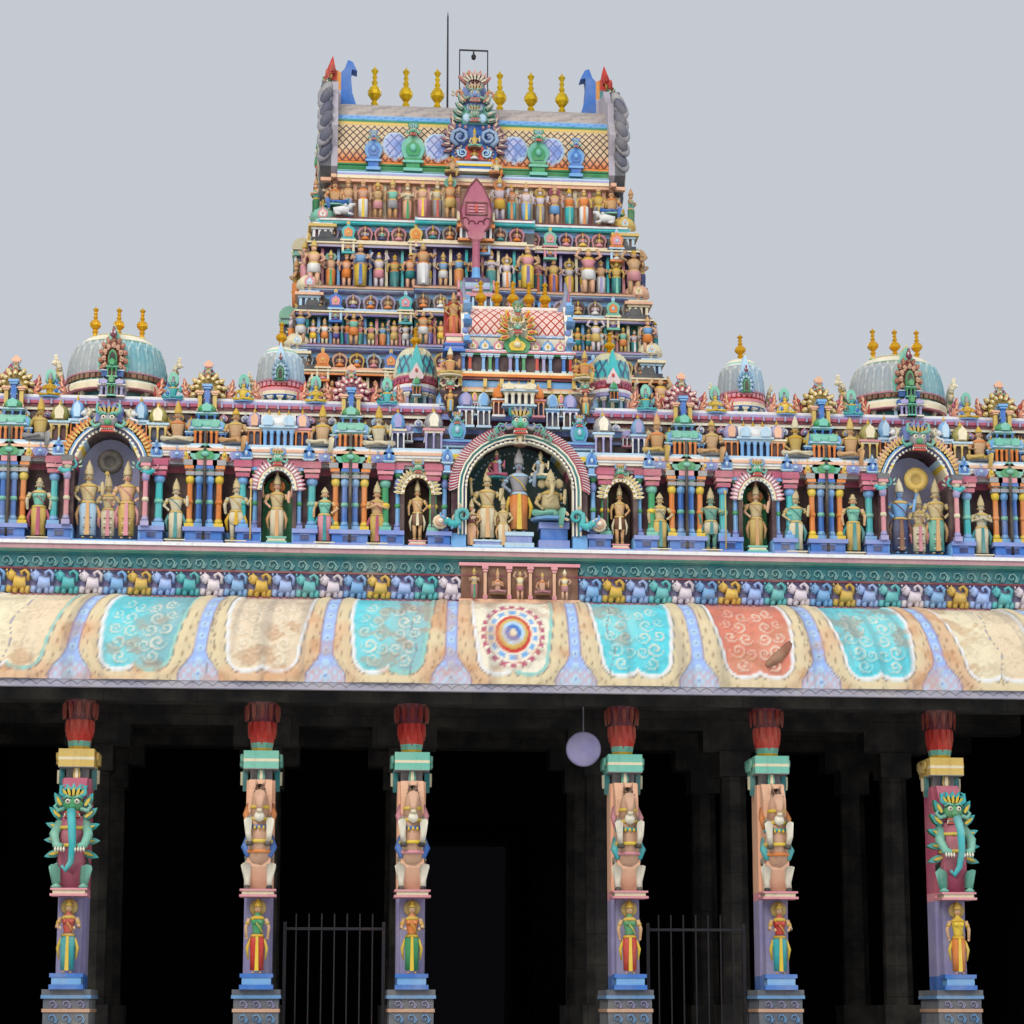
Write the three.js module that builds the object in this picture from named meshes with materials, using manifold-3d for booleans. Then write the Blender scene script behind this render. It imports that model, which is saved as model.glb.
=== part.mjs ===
// A painted temple gateway: an open pillared hall in front, with a deep curved
// cornice and a parapet of niches and domes, and the stepped gate tower behind it.
// Millimetres, +Z up. The street front faces -Y, and the gate's axis is the Y axis.

import * as THREE from 'three';
import { mergeVertices } from 'three/addons/utils/BufferGeometryUtils.js';
import Module from 'manifold-3d';

const wasm = await Module();
wasm.setup();

// Heights above the ground, hall
const FLOOR_Z = 750;
const PEDESTAL_TOP_Z = 1960;
const FIGURE_TOP_Z = 3710;
const SHAFT_TOP_Z = 5760;
const ABACUS_BOTTOM_Z = 5950;
const ABACUS_TOP_Z = 6290;
const CAPITAL_TOP_Z = 7220;
const CEILING_Z = 8500;
const ROOF_TOP_Z = 9120;
const CORNICE_LIP_TOP_Z = 7440;
const CORNICE_LIP_BOTTOM_Z = 7310;
const LION_BAND_TOP_Z = 9620;
const SCROLL_BAND_TOP_Z = 9920;
const LEDGE_TOP_Z = 10120;
const PIER_CAPITAL_Z = 11540;
const NICHE_CORNICE_Z = 11730;
const NICHE_WALL_TOP_Z = 12050;
const DECK_BOTTOM_Z = 12740;
const DECK_TOP_Z = 13000;
const REAR_PARAPET_Z = 10600;

// Plan of the hall
const HALL_HALF_X = 11250;
const ENTABLATURE_Y = -450;
const HALL_REAR_Y = 10500;
const PLINTH_FRONT_Y = -1150;
const PLINTH_MARGIN = 350;
const PLINTH_RECESS = 60;
const WALL_THICKNESS = 500;
const PILLAR_X = [-10850, -8090, -4750, -1980, 1980, 4750, 8090, 10850];
const INNER_PILLAR_X = [-8090, -4750, -1980, 1980, 4750, 8090];
const INNER_ROW_Y = [3500, 7000];
const BEAM_HALF = 300;
const DOOR_HALF_X = 1300;
const DOOR_TOP_Z = 5900;
const CORNICE_REACH = 850;
const CORNICE_BACK_Z = 8350;
const FRIEZE_DEPTH = 550;
const PARAPET_FRONT_Y = -150;
const PARAPET_BACK_Y = 550;
const DECK_REAR_Y = 1950;
const DOME_Y = 900;

// Steps
const STEP_RISE = 150;
const STEP_GOING = 320;
const STEP_COUNT = 4;
const FRONT_STEPS_HALF_X = 1900;
const REAR_STEPS_HALF_X = 1700;

// Gate tower
const TOWER_Y = 14200;
const GATE_HALF_X = 5750;
const GATE_HALF_Y = 3700;
const GATE_WALL = 1200;
const GATE_CORNICE_Z = 8600;
const GATE_PLINTH_REAR_Y = 18500;
const GATE_PLINTH_HALF_X = 6100;
const TIER_BASE_Z = [9500, 11800, 13900, 15800, 17530, 19100, 20950];
const TIER_HALF_X = [5680, 5360, 5060, 4780, 4500, 4200, 3920];
const TIER_HALF_Y = [3650, 3400, 3180, 2980, 2780, 2580, 2420];
const TIER_LEDGE = 170;
const TIER_RECESS = 350;
const TIER_BAND = 500;
const TIER_CORNICE = 130;
const TIER_WALL = 550;
const BAY_HALF_X = 1500;
const BAY_HALF_Y = 1000;
const BAY_STEP = 220;
const NECK_TOP_Z = 22300;
const EAVE_Z = 22480;
const ROOF_SPRING_Z = 22660;
const RIDGE_Z = 24860;
const ROOF_HALF_X = 3450;
const ROOF_HALF_Y = 2080;
const ROOF_SHELL = 300;
const RIDGE_HALF_Y = 330;
const GABLE_OUTER_X = 3880;
const GABLE_RADIUS = 1980;
const FINIAL_PITCH = 830;
const FINIAL_COUNT = 7;
const FINIAL_TOP_Z = 26260;
const FINIAL_RADIUS = 185;
const CREST_TOP_Z = 25240;
const CREST_HALF_X = 640;
const SPEAR_Y = 11250;
const SPEAR_BASE_Z = 19400;
const SPEAR_NECK_Z = 20430;
const SPEAR_WIDE_Z = 21200;
const SPEAR_TOP_Z = 22040;
const SPEAR_HALF_X = 420;
const ROD_X = -550;
const ROD_TOP_Z = 28000;
const LAMP_FRAME_X = 145;
const LAMP_FRAME_HALF_X = 375;
const LAMP_FRAME_TOP_Z = 26900;
const RIDGE_FITTINGS_Y = TOWER_Y + 210;

// Small laps and gaps
const LAP = 10;
const SEAT = 0.3;

const REAR_EDGE_Y = GATE_PLINTH_REAR_Y + STEP_COUNT * STEP_GOING;
const FRONT_EDGE_Y = PLINTH_FRONT_Y - STEP_COUNT * STEP_GOING;

const building = new THREE.Group();
building.position.y = -(FRONT_EDGE_Y + REAR_EDGE_Y) / 2;

// Closed solids from three.js geometry

function signedVolume(positions, triangles) {
  const a = new THREE.Vector3();
  const b = new THREE.Vector3();
  const c = new THREE.Vector3();
  let sum = 0;
  for (let i = 0; i < triangles.length; i += 3) {
    a.fromArray(positions, triangles[i] * 3);
    b.fromArray(positions, triangles[i + 1] * 3);
    c.fromArray(positions, triangles[i + 2] * 3);
    sum += a.dot(b.cross(c));
  }
  return sum;
}

function solid(geometry) {
  const bare = geometry.clone();
  bare.deleteAttribute('normal');
  bare.deleteAttribute('uv');
  const merged = mergeVertices(bare, 1e-2);
  const positions = merged.attributes.position.array;
  const triangles = [];
  for (let i = 0; i < merged.index.count; i += 3) {
    const [a, b, c] = merged.index.array.slice(i, i + 3);
    if (a !== b && b !== c && c !== a) triangles.push(a, b, c);
  }
  if (signedVolume(positions, triangles) < 0) triangles.reverse();
  return new wasm.Manifold(new wasm.Mesh({
    numProp: 3,
    vertProperties: positions,
    triVerts: new Uint32Array(triangles),
  }));
}

function join(...pieces) {
  return pieces.flat().reduce((whole, piece) => whole.add(piece));
}

function cut(body, ...tools) {
  return tools.flat().reduce((rest, tool) => rest.subtract(tool), body);
}

function addPart(name, body, color, roughness = 0.8, metalness = 0) {
  const data = body.getMesh();
  const geometry = new THREE.BufferGeometry();
  geometry.setAttribute('position', new THREE.BufferAttribute(data.vertProperties, 3));
  geometry.setIndex(new THREE.BufferAttribute(data.triVerts, 1));
  const mesh = new THREE.Mesh(geometry, new THREE.MeshStandardMaterial({ color, roughness, metalness }));
  mesh.name = name;
  building.add(mesh);
}

function block(x0, x1, y0, y1, z0, z1) {
  const geometry = new THREE.BoxGeometry(x1 - x0, y1 - y0, z1 - z0);
  geometry.translate((x0 + x1) / 2, (y0 + y1) / 2, (z0 + z1) / 2);
  return solid(geometry);
}

function centredBlock(x, y, width, depth, z0, z1) {
  return block(x - width / 2, x + width / 2, y - depth / 2, y + depth / 2, z0, z1);
}

function extrusion(points, depth, holes = []) {
  const shape = new THREE.Shape(points.map(([a, b]) => new THREE.Vector2(a, b)));
  for (const hole of holes) {
    shape.holes.push(new THREE.Path(hole.map(([a, b]) => new THREE.Vector2(a, b))));
  }
  return new THREE.ExtrudeGeometry(shape, { depth, bevelEnabled: false });
}

// An outline in plan, pulled up from z0 to z1
function raised(outline, z0, z1, holes = []) {
  const geometry = extrusion(outline, z1 - z0, holes);
  geometry.translate(0, 0, z0);
  return solid(geometry);
}

// A geometry whose corners are moved one by one
function reshaped(geometry, place) {
  const position = geometry.attributes.position;
  for (let i = 0; i < position.count; i += 1) {
    position.setXYZ(i, ...place(position.getX(i), position.getY(i), position.getZ(i)));
  }
  return solid(geometry);
}

// A section of [y, z] points that runs along X
function alongX(section, x0, x1) {
  return reshaped(extrusion(section, 1), (y, z, t) => [x0 + (x1 - x0) * t, y, z]);
}

// An elevation of [x, z] points with a thickness in Y
function facing(elevation, y0, y1) {
  return reshaped(extrusion(elevation, 1), (x, z, t) => [x, y0 + (y1 - y0) * t, z]);
}

// A turned piece from [radius, z] points, stretched in plan if asked
function turned(profile, sides, x, y, stretchX = 1, stretchY = 1) {
  const points = profile.map(([r, z]) => new THREE.Vector2(r, z));
  const geometry = new THREE.LatheGeometry(points, sides);
  geometry.rotateX(Math.PI / 2);
  geometry.rotateZ(Math.PI / sides);
  geometry.scale(stretchX, stretchY, 1);
  geometry.translate(x, y, 0);
  return solid(geometry);
}

function arc(centreA, centreB, radiusA, radiusB, from, to, steps) {
  const points = [];
  for (let i = 0; i <= steps; i += 1) {
    const angle = THREE.MathUtils.degToRad(from + ((to - from) * i) / steps);
    points.push([centreA + radiusA * Math.cos(angle), centreB + radiusB * Math.sin(angle)]);
  }
  return points;
}

// Hall plinth, its steps and the gate's plinth

function mouldedPlinth(halfX, y0, y1) {
  return join(
    block(-halfX, halfX, y0, y1, 0, 250),
    block(-halfX + PLINTH_RECESS, halfX - PLINTH_RECESS, y0 + PLINTH_RECESS, y1, 250 - LAP, 600 + LAP),
    block(-halfX, halfX, y0, y1, 600, FLOOR_Z),
  );
}

function stepProfile(startY, direction) {
  const points = [[startY, 0]];
  for (let i = 0; i < STEP_COUNT; i += 1) {
    const y = startY + direction * STEP_GOING * (STEP_COUNT - i);
    points.push([y, STEP_RISE * i], [y, STEP_RISE * (i + 1)]);
  }
  points.push([startY, STEP_RISE * STEP_COUNT]);
  return points;
}

function hallPlinth() {
  return mouldedPlinth(HALL_HALF_X + PLINTH_MARGIN, PLINTH_FRONT_Y, HALL_REAR_Y);
}

function entranceSteps() {
  return alongX(stepProfile(PLINTH_FRONT_Y, -1), -FRONT_STEPS_HALF_X, FRONT_STEPS_HALF_X);
}

function gatePlinth() {
  return join(
    block(-GATE_PLINTH_HALF_X, GATE_PLINTH_HALF_X, HALL_REAR_Y, GATE_PLINTH_REAR_Y, 0, FLOOR_Z),
    alongX(stepProfile(GATE_PLINTH_REAR_Y, 1), -REAR_STEPS_HALF_X, REAR_STEPS_HALF_X),
  );
}

// Pillars

const PEDESTAL_HALF = 400;
const PEDESTAL_FRONT_Y = -800;
const PEDESTAL_FOOT_Z = FLOOR_Z + 250;
const PEDESTAL_CAP_Z = PEDESTAL_TOP_Z - 130;
const PILLAR_SHAFT = 520;
const PILLAR_NECK = 400;
const ABACUS_HALF = 320;
const ABACUS_FRONT_Y = -460;
const STATUE_HALF_X = 210;

// Rough mass of the rearing beast and the figure under it, in front of the shaft
function statueMass(x) {
  const section = [
    [-PILLAR_SHAFT / 2 + LAP, PEDESTAL_TOP_Z - LAP],
    [-620, PEDESTAL_TOP_Z - LAP],
    [-560, 2900],
    [-600, FIGURE_TOP_Z],
    [-800, 4150],
    [-780, 4600],
    [-640, 5050],
    [-620, 5450],
    [-420, SHAFT_TOP_Z],
    [-PILLAR_SHAFT / 2 + LAP, SHAFT_TOP_Z],
  ];
  return alongX(section, x - STATUE_HALF_X, x + STATUE_HALF_X);
}

function bellCapital(x, y, zBottom, zTop) {
  const rise = zTop - zBottom;
  const profile = [
    [0, zBottom - LAP],
    [190, zBottom - LAP],
    [250, zBottom + rise * 0.35],
    [215, zBottom + rise * 0.7],
    [300, zTop],
    [0, zTop],
  ];
  return turned(profile, 8, x, y);
}

function frontPillar(x) {
  const pedestal = (grow, z0, z1) => {
    const half = PEDESTAL_HALF + grow;
    return block(x - half, x + half, PEDESTAL_FRONT_Y - grow, half, z0, z1);
  };
  return join(
    pedestal(40, FLOOR_Z, PEDESTAL_FOOT_Z),
    pedestal(0, PEDESTAL_FOOT_Z - LAP, PEDESTAL_CAP_Z + LAP),
    pedestal(30, PEDESTAL_CAP_Z, PEDESTAL_TOP_Z),
    centredBlock(x, 0, PILLAR_SHAFT, PILLAR_SHAFT, PEDESTAL_TOP_Z - LAP, SHAFT_TOP_Z),
    statueMass(x),
    centredBlock(x, 0, PILLAR_NECK, PILLAR_NECK, SHAFT_TOP_Z - LAP, ABACUS_BOTTOM_Z + LAP),
    block(x - ABACUS_HALF, x + ABACUS_HALF, ABACUS_FRONT_Y, ABACUS_HALF, ABACUS_BOTTOM_Z, ABACUS_TOP_Z),
    bellCapital(x, 0, ABACUS_TOP_Z, CAPITAL_TOP_Z),
  );
}

function innerPillar(x, y) {
  const baseTopZ = 1700;
  const shaftTopZ = 6300;
  const blockTopZ = 6800;
  const shaft = [[0, baseTopZ - LAP], [300, baseTopZ - LAP], [270, shaftTopZ], [0, shaftTopZ]];
  return join(
    centredBlock(x, y, 760, 760, FLOOR_Z, baseTopZ),
    turned(shaft, 8, x, y),
    centredBlock(x, y, 640, 640, shaftTopZ - LAP, blockTopZ),
    centredBlock(x, y, 1300, 600, blockTopZ - LAP, CAPITAL_TOP_Z + LAP),
  );
}

function beam(y) {
  const end = HALL_HALF_X - WALL_THICKNESS;
  return block(-end, end, y - BEAM_HALF, y + BEAM_HALF, CAPITAL_TOP_Z, CEILING_Z);
}

function innerPillarRow(y) {
  return join(beam(y), INNER_PILLAR_X.map((x) => innerPillar(x, y)));
}

function frontBeam() {
  return block(-HALL_HALF_X, HALL_HALF_X, -BEAM_HALF, BEAM_HALF, CAPITAL_TOP_Z, CEILING_Z);
}

// Walls of the hall

// The lower and upper of two distances from the gate's axis, on one side of it
function sideSpan(side, a, b) {
  return [Math.min(side * a, side * b), Math.max(side * a, side * b)];
}

const SIDE_WALL_FRONT_Y = 460;
const SIDE_PILASTER_Y = [1900, 4300, 6700, 9100];
const SIDE_PILASTER_HALF = 220;
const SIDE_PILASTER_REACH = 120;

function sideWall(side) {
  const wall = sideSpan(side, HALL_HALF_X - WALL_THICKNESS, HALL_HALF_X);
  const face = sideSpan(side, HALL_HALF_X - LAP, HALL_HALF_X + SIDE_PILASTER_REACH);
  const pilasters = SIDE_PILASTER_Y.map((y) => block(
    ...face, y - SIDE_PILASTER_HALF, y + SIDE_PILASTER_HALF, FLOOR_Z, CAPITAL_TOP_Z,
  ));
  return join(block(...wall, SIDE_WALL_FRONT_Y, HALL_REAR_Y, FLOOR_Z, CEILING_Z), pilasters);
}

function backWall(side) {
  const span = sideSpan(side, DOOR_HALF_X, HALL_HALF_X - WALL_THICKNESS);
  return block(...span, HALL_REAR_Y - WALL_THICKNESS, HALL_REAR_Y, FLOOR_Z, CEILING_Z);
}

function backWallLintel() {
  return block(-DOOR_HALF_X, DOOR_HALF_X, HALL_REAR_Y - WALL_THICKNESS, HALL_REAR_Y, DOOR_TOP_Z, CEILING_Z);
}

function roofSlab() {
  return block(-HALL_HALF_X, HALL_HALF_X, ENTABLATURE_Y, HALL_REAR_Y, CEILING_Z, ROOF_TOP_Z);
}

// Runs of a section of [outward, z] points round the hall's front and sides, mitred

const FRONT = 'front';
const LEFT = 'left';
const RIGHT = 'right';

function mitredRun(section, where, gap = SEAT) {
  return reshaped(extrusion(section, 1), (out, z, t) => {
    if (where === FRONT) {
      const halfX = HALL_HALF_X + out - gap;
      return [halfX * (2 * t - 1), ENTABLATURE_Y - out, z];
    }
    const side = where === LEFT ? -1 : 1;
    const frontY = ENTABLATURE_Y - out + gap;
    return [side * (HALL_HALF_X + out), frontY + (HALL_REAR_Y - frontY) * t, z];
  });
}

function corniceSection() {
  const drop = ROOF_TOP_Z - CORNICE_LIP_TOP_Z;
  const innerReach = CORNICE_REACH - 130;
  const innerDrop = CORNICE_BACK_Z - CORNICE_LIP_BOTTOM_Z;
  return [
    ...arc(0, CORNICE_LIP_TOP_Z, CORNICE_REACH, drop, 90, 0, 7),
    [CORNICE_REACH, CORNICE_LIP_BOTTOM_Z],
    ...arc(0, CORNICE_LIP_BOTTOM_Z, innerReach, innerDrop, 0, 90, 5),
  ];
}

function friezeSection() {
  return [
    [-FRIEZE_DEPTH, ROOF_TOP_Z],
    [-40, ROOF_TOP_Z],
    [-40, LION_BAND_TOP_Z - 60],
    [20, LION_BAND_TOP_Z],
    [-20, LION_BAND_TOP_Z + 40],
    [-20, SCROLL_BAND_TOP_Z],
    [150, SCROLL_BAND_TOP_Z + 60],
    [150, LEDGE_TOP_Z],
    [-FRIEZE_DEPTH, LEDGE_TOP_Z],
  ];
}

function frieze() {
  return join([FRONT, LEFT, RIGHT].map((where) => mitredRun(friezeSection(), where, 0)));
}

// Parapet

const ARCH_STEPS = 8;
const BIG_NICHE_X = 7700;
const GREEN_NICHE_X = 4550;
const SMALL_NICHE_X = 1920;
const CLUSTER_X = [3190, 5900, 9550];
const NICHES = [
  { x: 0, half: 1010, outer: 1290, spring: 11300, rise: 1000, ring: 310, depth: 550, pier: 0 },
  { x: SMALL_NICHE_X, half: 250, outer: 330, spring: 11150, rise: 330, ring: 150, depth: 300, pier: 460 },
  { x: GREEN_NICHE_X, half: 285, outer: 360, spring: 11180, rise: 380, ring: 150, depth: 320, pier: 485 },
  { x: BIG_NICHE_X, half: 600, outer: 790, spring: 11450, rise: 800, ring: 230, depth: 450, pier: 860 },
];
const NICHE_FLOOR_Z = 10180;

function archOutline(x, half, zBottom, spring, rise) {
  return [
    [x - half, zBottom],
    [x + half, zBottom],
    ...arc(x, spring, half, rise, 0, 180, ARCH_STEPS),
  ];
}

function mirrored(niche) {
  return niche.x === 0 ? [niche] : [niche, { ...niche, x: -niche.x }];
}

const PIER_PLINTH_TOP_Z = 10590;
const PIER_DEPTH = 190;
const PIER_PLINTH_DEPTH = 260;
const CORNICE_STEP_Z = 11870;
const NICHE_CORNICE_REACH = [250, 330];
const UPPER_WALL_Y = 100;
const NICHE_FRAME_REACH = 350;

function pier(x, width) {
  const part = (grow, depth, z0, z1) => block(
    x - width / 2 - grow, x + width / 2 + grow, PARAPET_FRONT_Y - depth, PARAPET_FRONT_Y + LAP, z0, z1,
  );
  return join(
    part(40, PIER_PLINTH_DEPTH, LEDGE_TOP_Z, PIER_PLINTH_TOP_Z),
    part(0, PIER_DEPTH, PIER_PLINTH_TOP_Z - LAP, PIER_CAPITAL_Z),
    part(50, PIER_PLINTH_DEPTH, PIER_CAPITAL_Z, NICHE_CORNICE_Z + LAP),
  );
}

function parapetFront() {
  const niches = NICHES.flatMap(mirrored);
  const fullWidth = (y0, y1, z0, z1) => block(-HALL_HALF_X, HALL_HALF_X, y0, y1, z0, z1);
  const wall = fullWidth(PARAPET_FRONT_Y, PARAPET_BACK_Y, LEDGE_TOP_Z, NICHE_WALL_TOP_Z);
  const corniceY = NICHE_CORNICE_REACH.map((reach) => PARAPET_FRONT_Y - reach);
  const cornice = [
    fullWidth(corniceY[0], PARAPET_FRONT_Y + LAP, NICHE_CORNICE_Z, CORNICE_STEP_Z),
    fullWidth(corniceY[1], PARAPET_FRONT_Y + LAP, CORNICE_STEP_Z - LAP, NICHE_WALL_TOP_Z),
  ];
  const upper = fullWidth(UPPER_WALL_Y, PARAPET_BACK_Y, NICHE_WALL_TOP_Z - LAP, DECK_BOTTOM_Z);
  const piers = [
    ...niches.filter((n) => n.pier > 0).flatMap((n) => [pier(n.x - n.pier, 300), pier(n.x + n.pier, 300)]),
    ...CLUSTER_X.flatMap((x) => [pier(x, 620), pier(-x, 620)]),
    pier(HALL_HALF_X - 320, 560),
    pier(-HALL_HALF_X + 320, 560),
  ];
  const frames = niches.map((n) => facing(
    archOutline(n.x, n.outer, LEDGE_TOP_Z, n.spring, n.rise + n.ring),
    PARAPET_FRONT_Y - NICHE_FRAME_REACH,
    PARAPET_FRONT_Y + 200,
  ));
  const recesses = niches.map((n) => facing(
    archOutline(n.x, n.half, NICHE_FLOOR_Z, n.spring, n.rise),
    PARAPET_FRONT_Y - NICHE_FRAME_REACH - 50,
    PARAPET_FRONT_Y + n.depth,
  ));
  const clearance = niches.map((n) => facing(
    archOutline(n.x, n.outer - LAP, LEDGE_TOP_Z, n.spring, n.rise + n.ring - LAP),
    PARAPET_FRONT_Y - NICHE_FRAME_REACH - LAP,
    PARAPET_FRONT_Y,
  ));
  const body = cut(join(wall, cornice, upper, piers), clearance);
  return cut(join(body, frames), recesses);
}

const SIDE_PARAPET_PIER_Y = [1500, 3300, 5100, 6900, 8700];

function parapetSide(side) {
  const outer = HALL_HALF_X + 60;
  const inner = outer - 520;
  const startY = PARAPET_BACK_Y + SEAT;
  const rearWallY = HALL_REAR_Y - 450;
  const friezeInner = HALL_HALF_X - FRIEZE_DEPTH;
  const x = (a, b) => sideSpan(side, a, b);
  const rearX = x(TIER_HALF_X[0] + 600, friezeInner - SEAT);
  const piers = SIDE_PARAPET_PIER_Y.map((y) => block(
    ...x(outer - LAP, outer + 120), y - 300, y + 300, LEDGE_TOP_Z, NICHE_CORNICE_Z + LAP,
  ));
  return join(
    block(...x(inner, outer), startY, HALL_REAR_Y, LEDGE_TOP_Z, NICHE_WALL_TOP_Z),
    block(...x(outer - LAP, outer + 220), startY, HALL_REAR_Y, NICHE_CORNICE_Z, NICHE_WALL_TOP_Z),
    piers,
    block(...rearX, rearWallY, HALL_REAR_Y, ROOF_TOP_Z, REAR_PARAPET_Z),
    block(...x(friezeInner - LAP, inner + LAP), rearWallY, HALL_REAR_Y, LEDGE_TOP_Z, REAR_PARAPET_Z),
  );
}

function parapetDeck() {
  const string = block(-HALL_HALF_X, HALL_HALF_X, -60, DECK_REAR_Y, DECK_BOTTOM_Z, DECK_TOP_Z);
  const rearHalfX = HALL_HALF_X - FRIEZE_DEPTH - SEAT;
  const rearFaceY = DECK_REAR_Y - 350;
  const rear = block(-rearHalfX, rearHalfX, rearFaceY, DECK_REAR_Y, ROOF_TOP_Z, DECK_BOTTOM_Z + LAP);
  const ends = [-1, 1].map((side) => centredBlock(
    side * (HALL_HALF_X - 230),
    (PARAPET_BACK_Y + DECK_REAR_Y) / 2,
    460,
    DECK_REAR_Y - PARAPET_BACK_Y - 2 * SEAT,
    NICHE_WALL_TOP_Z,
    DECK_BOTTOM_Z + LAP,
  ));
  const gables = CLUSTER_X.flatMap((x) => [x, -x]).map((x) => facing([
    [x - 330, DECK_TOP_Z - LAP],
    [x + 330, DECK_TOP_Z - LAP],
    [x + 360, DECK_TOP_Z + 260],
    [x + 170, DECK_TOP_Z + 500],
    [x, DECK_TOP_Z + 740],
    [x - 170, DECK_TOP_Z + 500],
    [x - 360, DECK_TOP_Z + 260],
  ], 20, 220));
  return join(string, rear, ends, gables);
}

// Domes and the small shrine on the parapet's deck

// Pot finial as shares of its radius and height, foot first
const FINIAL_SHAPE = [
  [0.76, 0], [0.43, 0.09], [0.32, 0.13], [0.54, 0.2], [0.32, 0.265], [0.6, 0.306], [0.97, 0.38],
  [1, 0.45], [0.65, 0.545], [0.27, 0.58], [0.46, 0.646], [0.24, 0.7], [0.38, 0.76], [0.22, 0.806],
  [0.54, 0.888], [0.16, 0.948], [0, 1],
];

function finial(x, y, zBottom, height, radius, sides) {
  const profile = FINIAL_SHAPE.map(([r, z]) => [radius * r, zBottom + height * z]);
  return turned([[0, zBottom - LAP], [profile[0][0], zBottom - LAP], ...profile], sides, x, y);
}

const DOME_ANGLES = [14, 30, 45, 58, 69, 79];

function dome({ x, radius, base, neck, lip, top, tip, sides, stretchY, finials }) {
  const bowl = DOME_ANGLES.map((degrees) => {
    const angle = THREE.MathUtils.degToRad(degrees);
    return [radius * Math.cos(angle) ** 0.6, lip + (top - lip) * Math.sin(angle)];
  });
  const profile = [
    [0, base],
    [radius * 0.98, base],
    [radius * 0.98, base + 70],
    [radius * 0.86, base + 90],
    [radius * 0.86, neck],
    [radius * 1.06, neck + 50],
    [radius * 1.06, neck + 200],
    [radius * 0.97, neck + 240],
    [radius, lip],
    ...bowl,
    [0, top],
  ];
  const kudu = [[-260, lip - 60], [260, lip - 60], [300, lip + 230], [0, top + 20], [-300, lip + 230]];
  const half = Math.min(1, radius / BIG_DOME.radius);
  const front = kudu.map(([a, z]) => [x + a * half, z]);
  return join(
    turned(profile, sides, x, DOME_Y, 1, stretchY),
    facing(front, DOME_Y - radius * stretchY - 30, DOME_Y - radius * stretchY * 0.4),
    finials.map((offset) => finial(x + offset, DOME_Y, top - 30, tip - top + 30, 115, 8)),
  );
}

const BIG_DOME = {
  x: 7700, radius: 940, base: 13000, neck: 13200, lip: 13550, top: 14490, tip: 15110,
  sides: 20, stretchY: 0.9, finials: [-450, 0, 450],
};
const SMALL_DOME = {
  x: 4550, radius: 450, base: 13000, neck: 13250, lip: 13580, top: 14360, tip: 14910,
  sides: 16, stretchY: 1, finials: [0],
};
const LATTICE_DOME = {
  x: 1925, radius: 410, base: 13000, neck: 13400, lip: 13720, top: 14400, tip: 14880,
  sides: 16, stretchY: 1, finials: [0],
};

const SHRINE_HALF_X = 1150;
const SHRINE_FRONT_Y = 150;
const SHRINE_REAR_Y = 1700;
const SHRINE_LEDGE_Z = 13730;
const SHRINE_EAVE_Z = 14160;
const SHRINE_RIDGE_Z = 15250;

const SHRINE_OPENING_X = [-750, -250, 250, 750];

function centreShrine() {
  const tier = (grow, z0, z1) => {
    const half = SHRINE_HALF_X + grow;
    return block(-half, half, SHRINE_FRONT_Y - grow, SHRINE_REAR_Y + Math.min(0, grow), z0, z1);
  };
  const openings = SHRINE_OPENING_X.map((x) => facing(
    archOutline(x, 150, SHRINE_LEDGE_Z + 60, SHRINE_EAVE_Z - 260, 120),
    SHRINE_FRONT_Y - LAP,
    SHRINE_FRONT_Y + 260,
  ));
  return cut(join(
    tier(0, DECK_TOP_Z, SHRINE_LEDGE_Z - 150),
    tier(120, SHRINE_LEDGE_Z - 160, SHRINE_LEDGE_Z),
    tier(-60, SHRINE_LEDGE_Z - LAP, SHRINE_EAVE_Z),
  ), openings);
}

function barrelSection(centreY, halfY, zBottom, zTop, steps) {
  return [
    [centreY - halfY * 0.94, zBottom],
    [centreY + halfY * 0.94, zBottom],
    ...arc(centreY, zBottom + (zTop - zBottom) * 0.25, halfY, (zTop - zBottom) * 0.75, 0, 180, steps),
  ];
}

function centreShrineRoof() {
  const centreY = (SHRINE_FRONT_Y + SHRINE_REAR_Y) / 2;
  const roofHalfX = 950;
  const gableOuterX = 1080;
  const roof = alongX(barrelSection(centreY, 760, SHRINE_EAVE_Z, SHRINE_RIDGE_Z, 8), -roofHalfX, roofHalfX);
  const gables = [-1, 1].map((side) => alongX(
    barrelSection(centreY, 860, SHRINE_EAVE_Z, SHRINE_RIDGE_Z + 160, 8),
    ...sideSpan(side, roofHalfX - LAP, gableOuterX),
  ));
  const crest = facing([
    [-280, SHRINE_EAVE_Z], [280, SHRINE_EAVE_Z], [300, SHRINE_EAVE_Z + 350], [0, SHRINE_EAVE_Z + 980],
    [-300, SHRINE_EAVE_Z + 350],
  ], centreY - 860, centreY - 560);
  const finialX = [-640, -320, 0, 320, 640];
  const finials = finialX.map((x) => finial(x, centreY, SHRINE_RIDGE_Z - 20, 660, 120, 8));
  return join(roof, gables, crest, finials);
}

// Stone base of the gate, in two hollow halves with the passage between them

const GATE_PILASTER_Y = [11700, 13400, 15100, 16800];
const GATE_PILASTER_X = [2300, 3700, 5100];
const GATE_BASE_Z = [1500, 2200];
const GATE_TOP_MOULD_Z = 8950;

function gateJamb(side) {
  const hx = GATE_HALF_X;
  const span = (a, b) => sideSpan(side, a, b);
  const y0 = HALL_REAR_Y + SEAT;
  const y1 = TOWER_Y + GATE_HALF_Y;
  const tier = (grow, z0, z1) => block(...span(DOOR_HALF_X, hx + grow), y0, y1 + grow, z0, z1);
  const pilasterZ = [GATE_BASE_Z[1] - LAP, GATE_CORNICE_Z + LAP];
  const body = join(
    tier(250, FLOOR_Z, GATE_BASE_Z[0]),
    tier(120, GATE_BASE_Z[0] - LAP, GATE_BASE_Z[1]),
    tier(-60, GATE_BASE_Z[1] - LAP, GATE_CORNICE_Z + LAP),
    tier(260, GATE_CORNICE_Z, GATE_TOP_MOULD_Z),
    tier(80, GATE_TOP_MOULD_Z - LAP, TIER_BASE_Z[0]),
    GATE_PILASTER_Y.map((y) => block(...span(hx - 70, hx + 60), y - 260, y + 260, ...pilasterZ)),
    GATE_PILASTER_X.map((x) => block(...span(x - 250, x + 250), y1 - 70, y1 + 60, ...pilasterZ)),
  );
  const inner = span(DOOR_HALF_X + GATE_WALL, hx - GATE_WALL);
  return cut(body, block(...inner, y0 + GATE_WALL, y1 - GATE_WALL, 0, TIER_BASE_Z[0] + 100));
}

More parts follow.
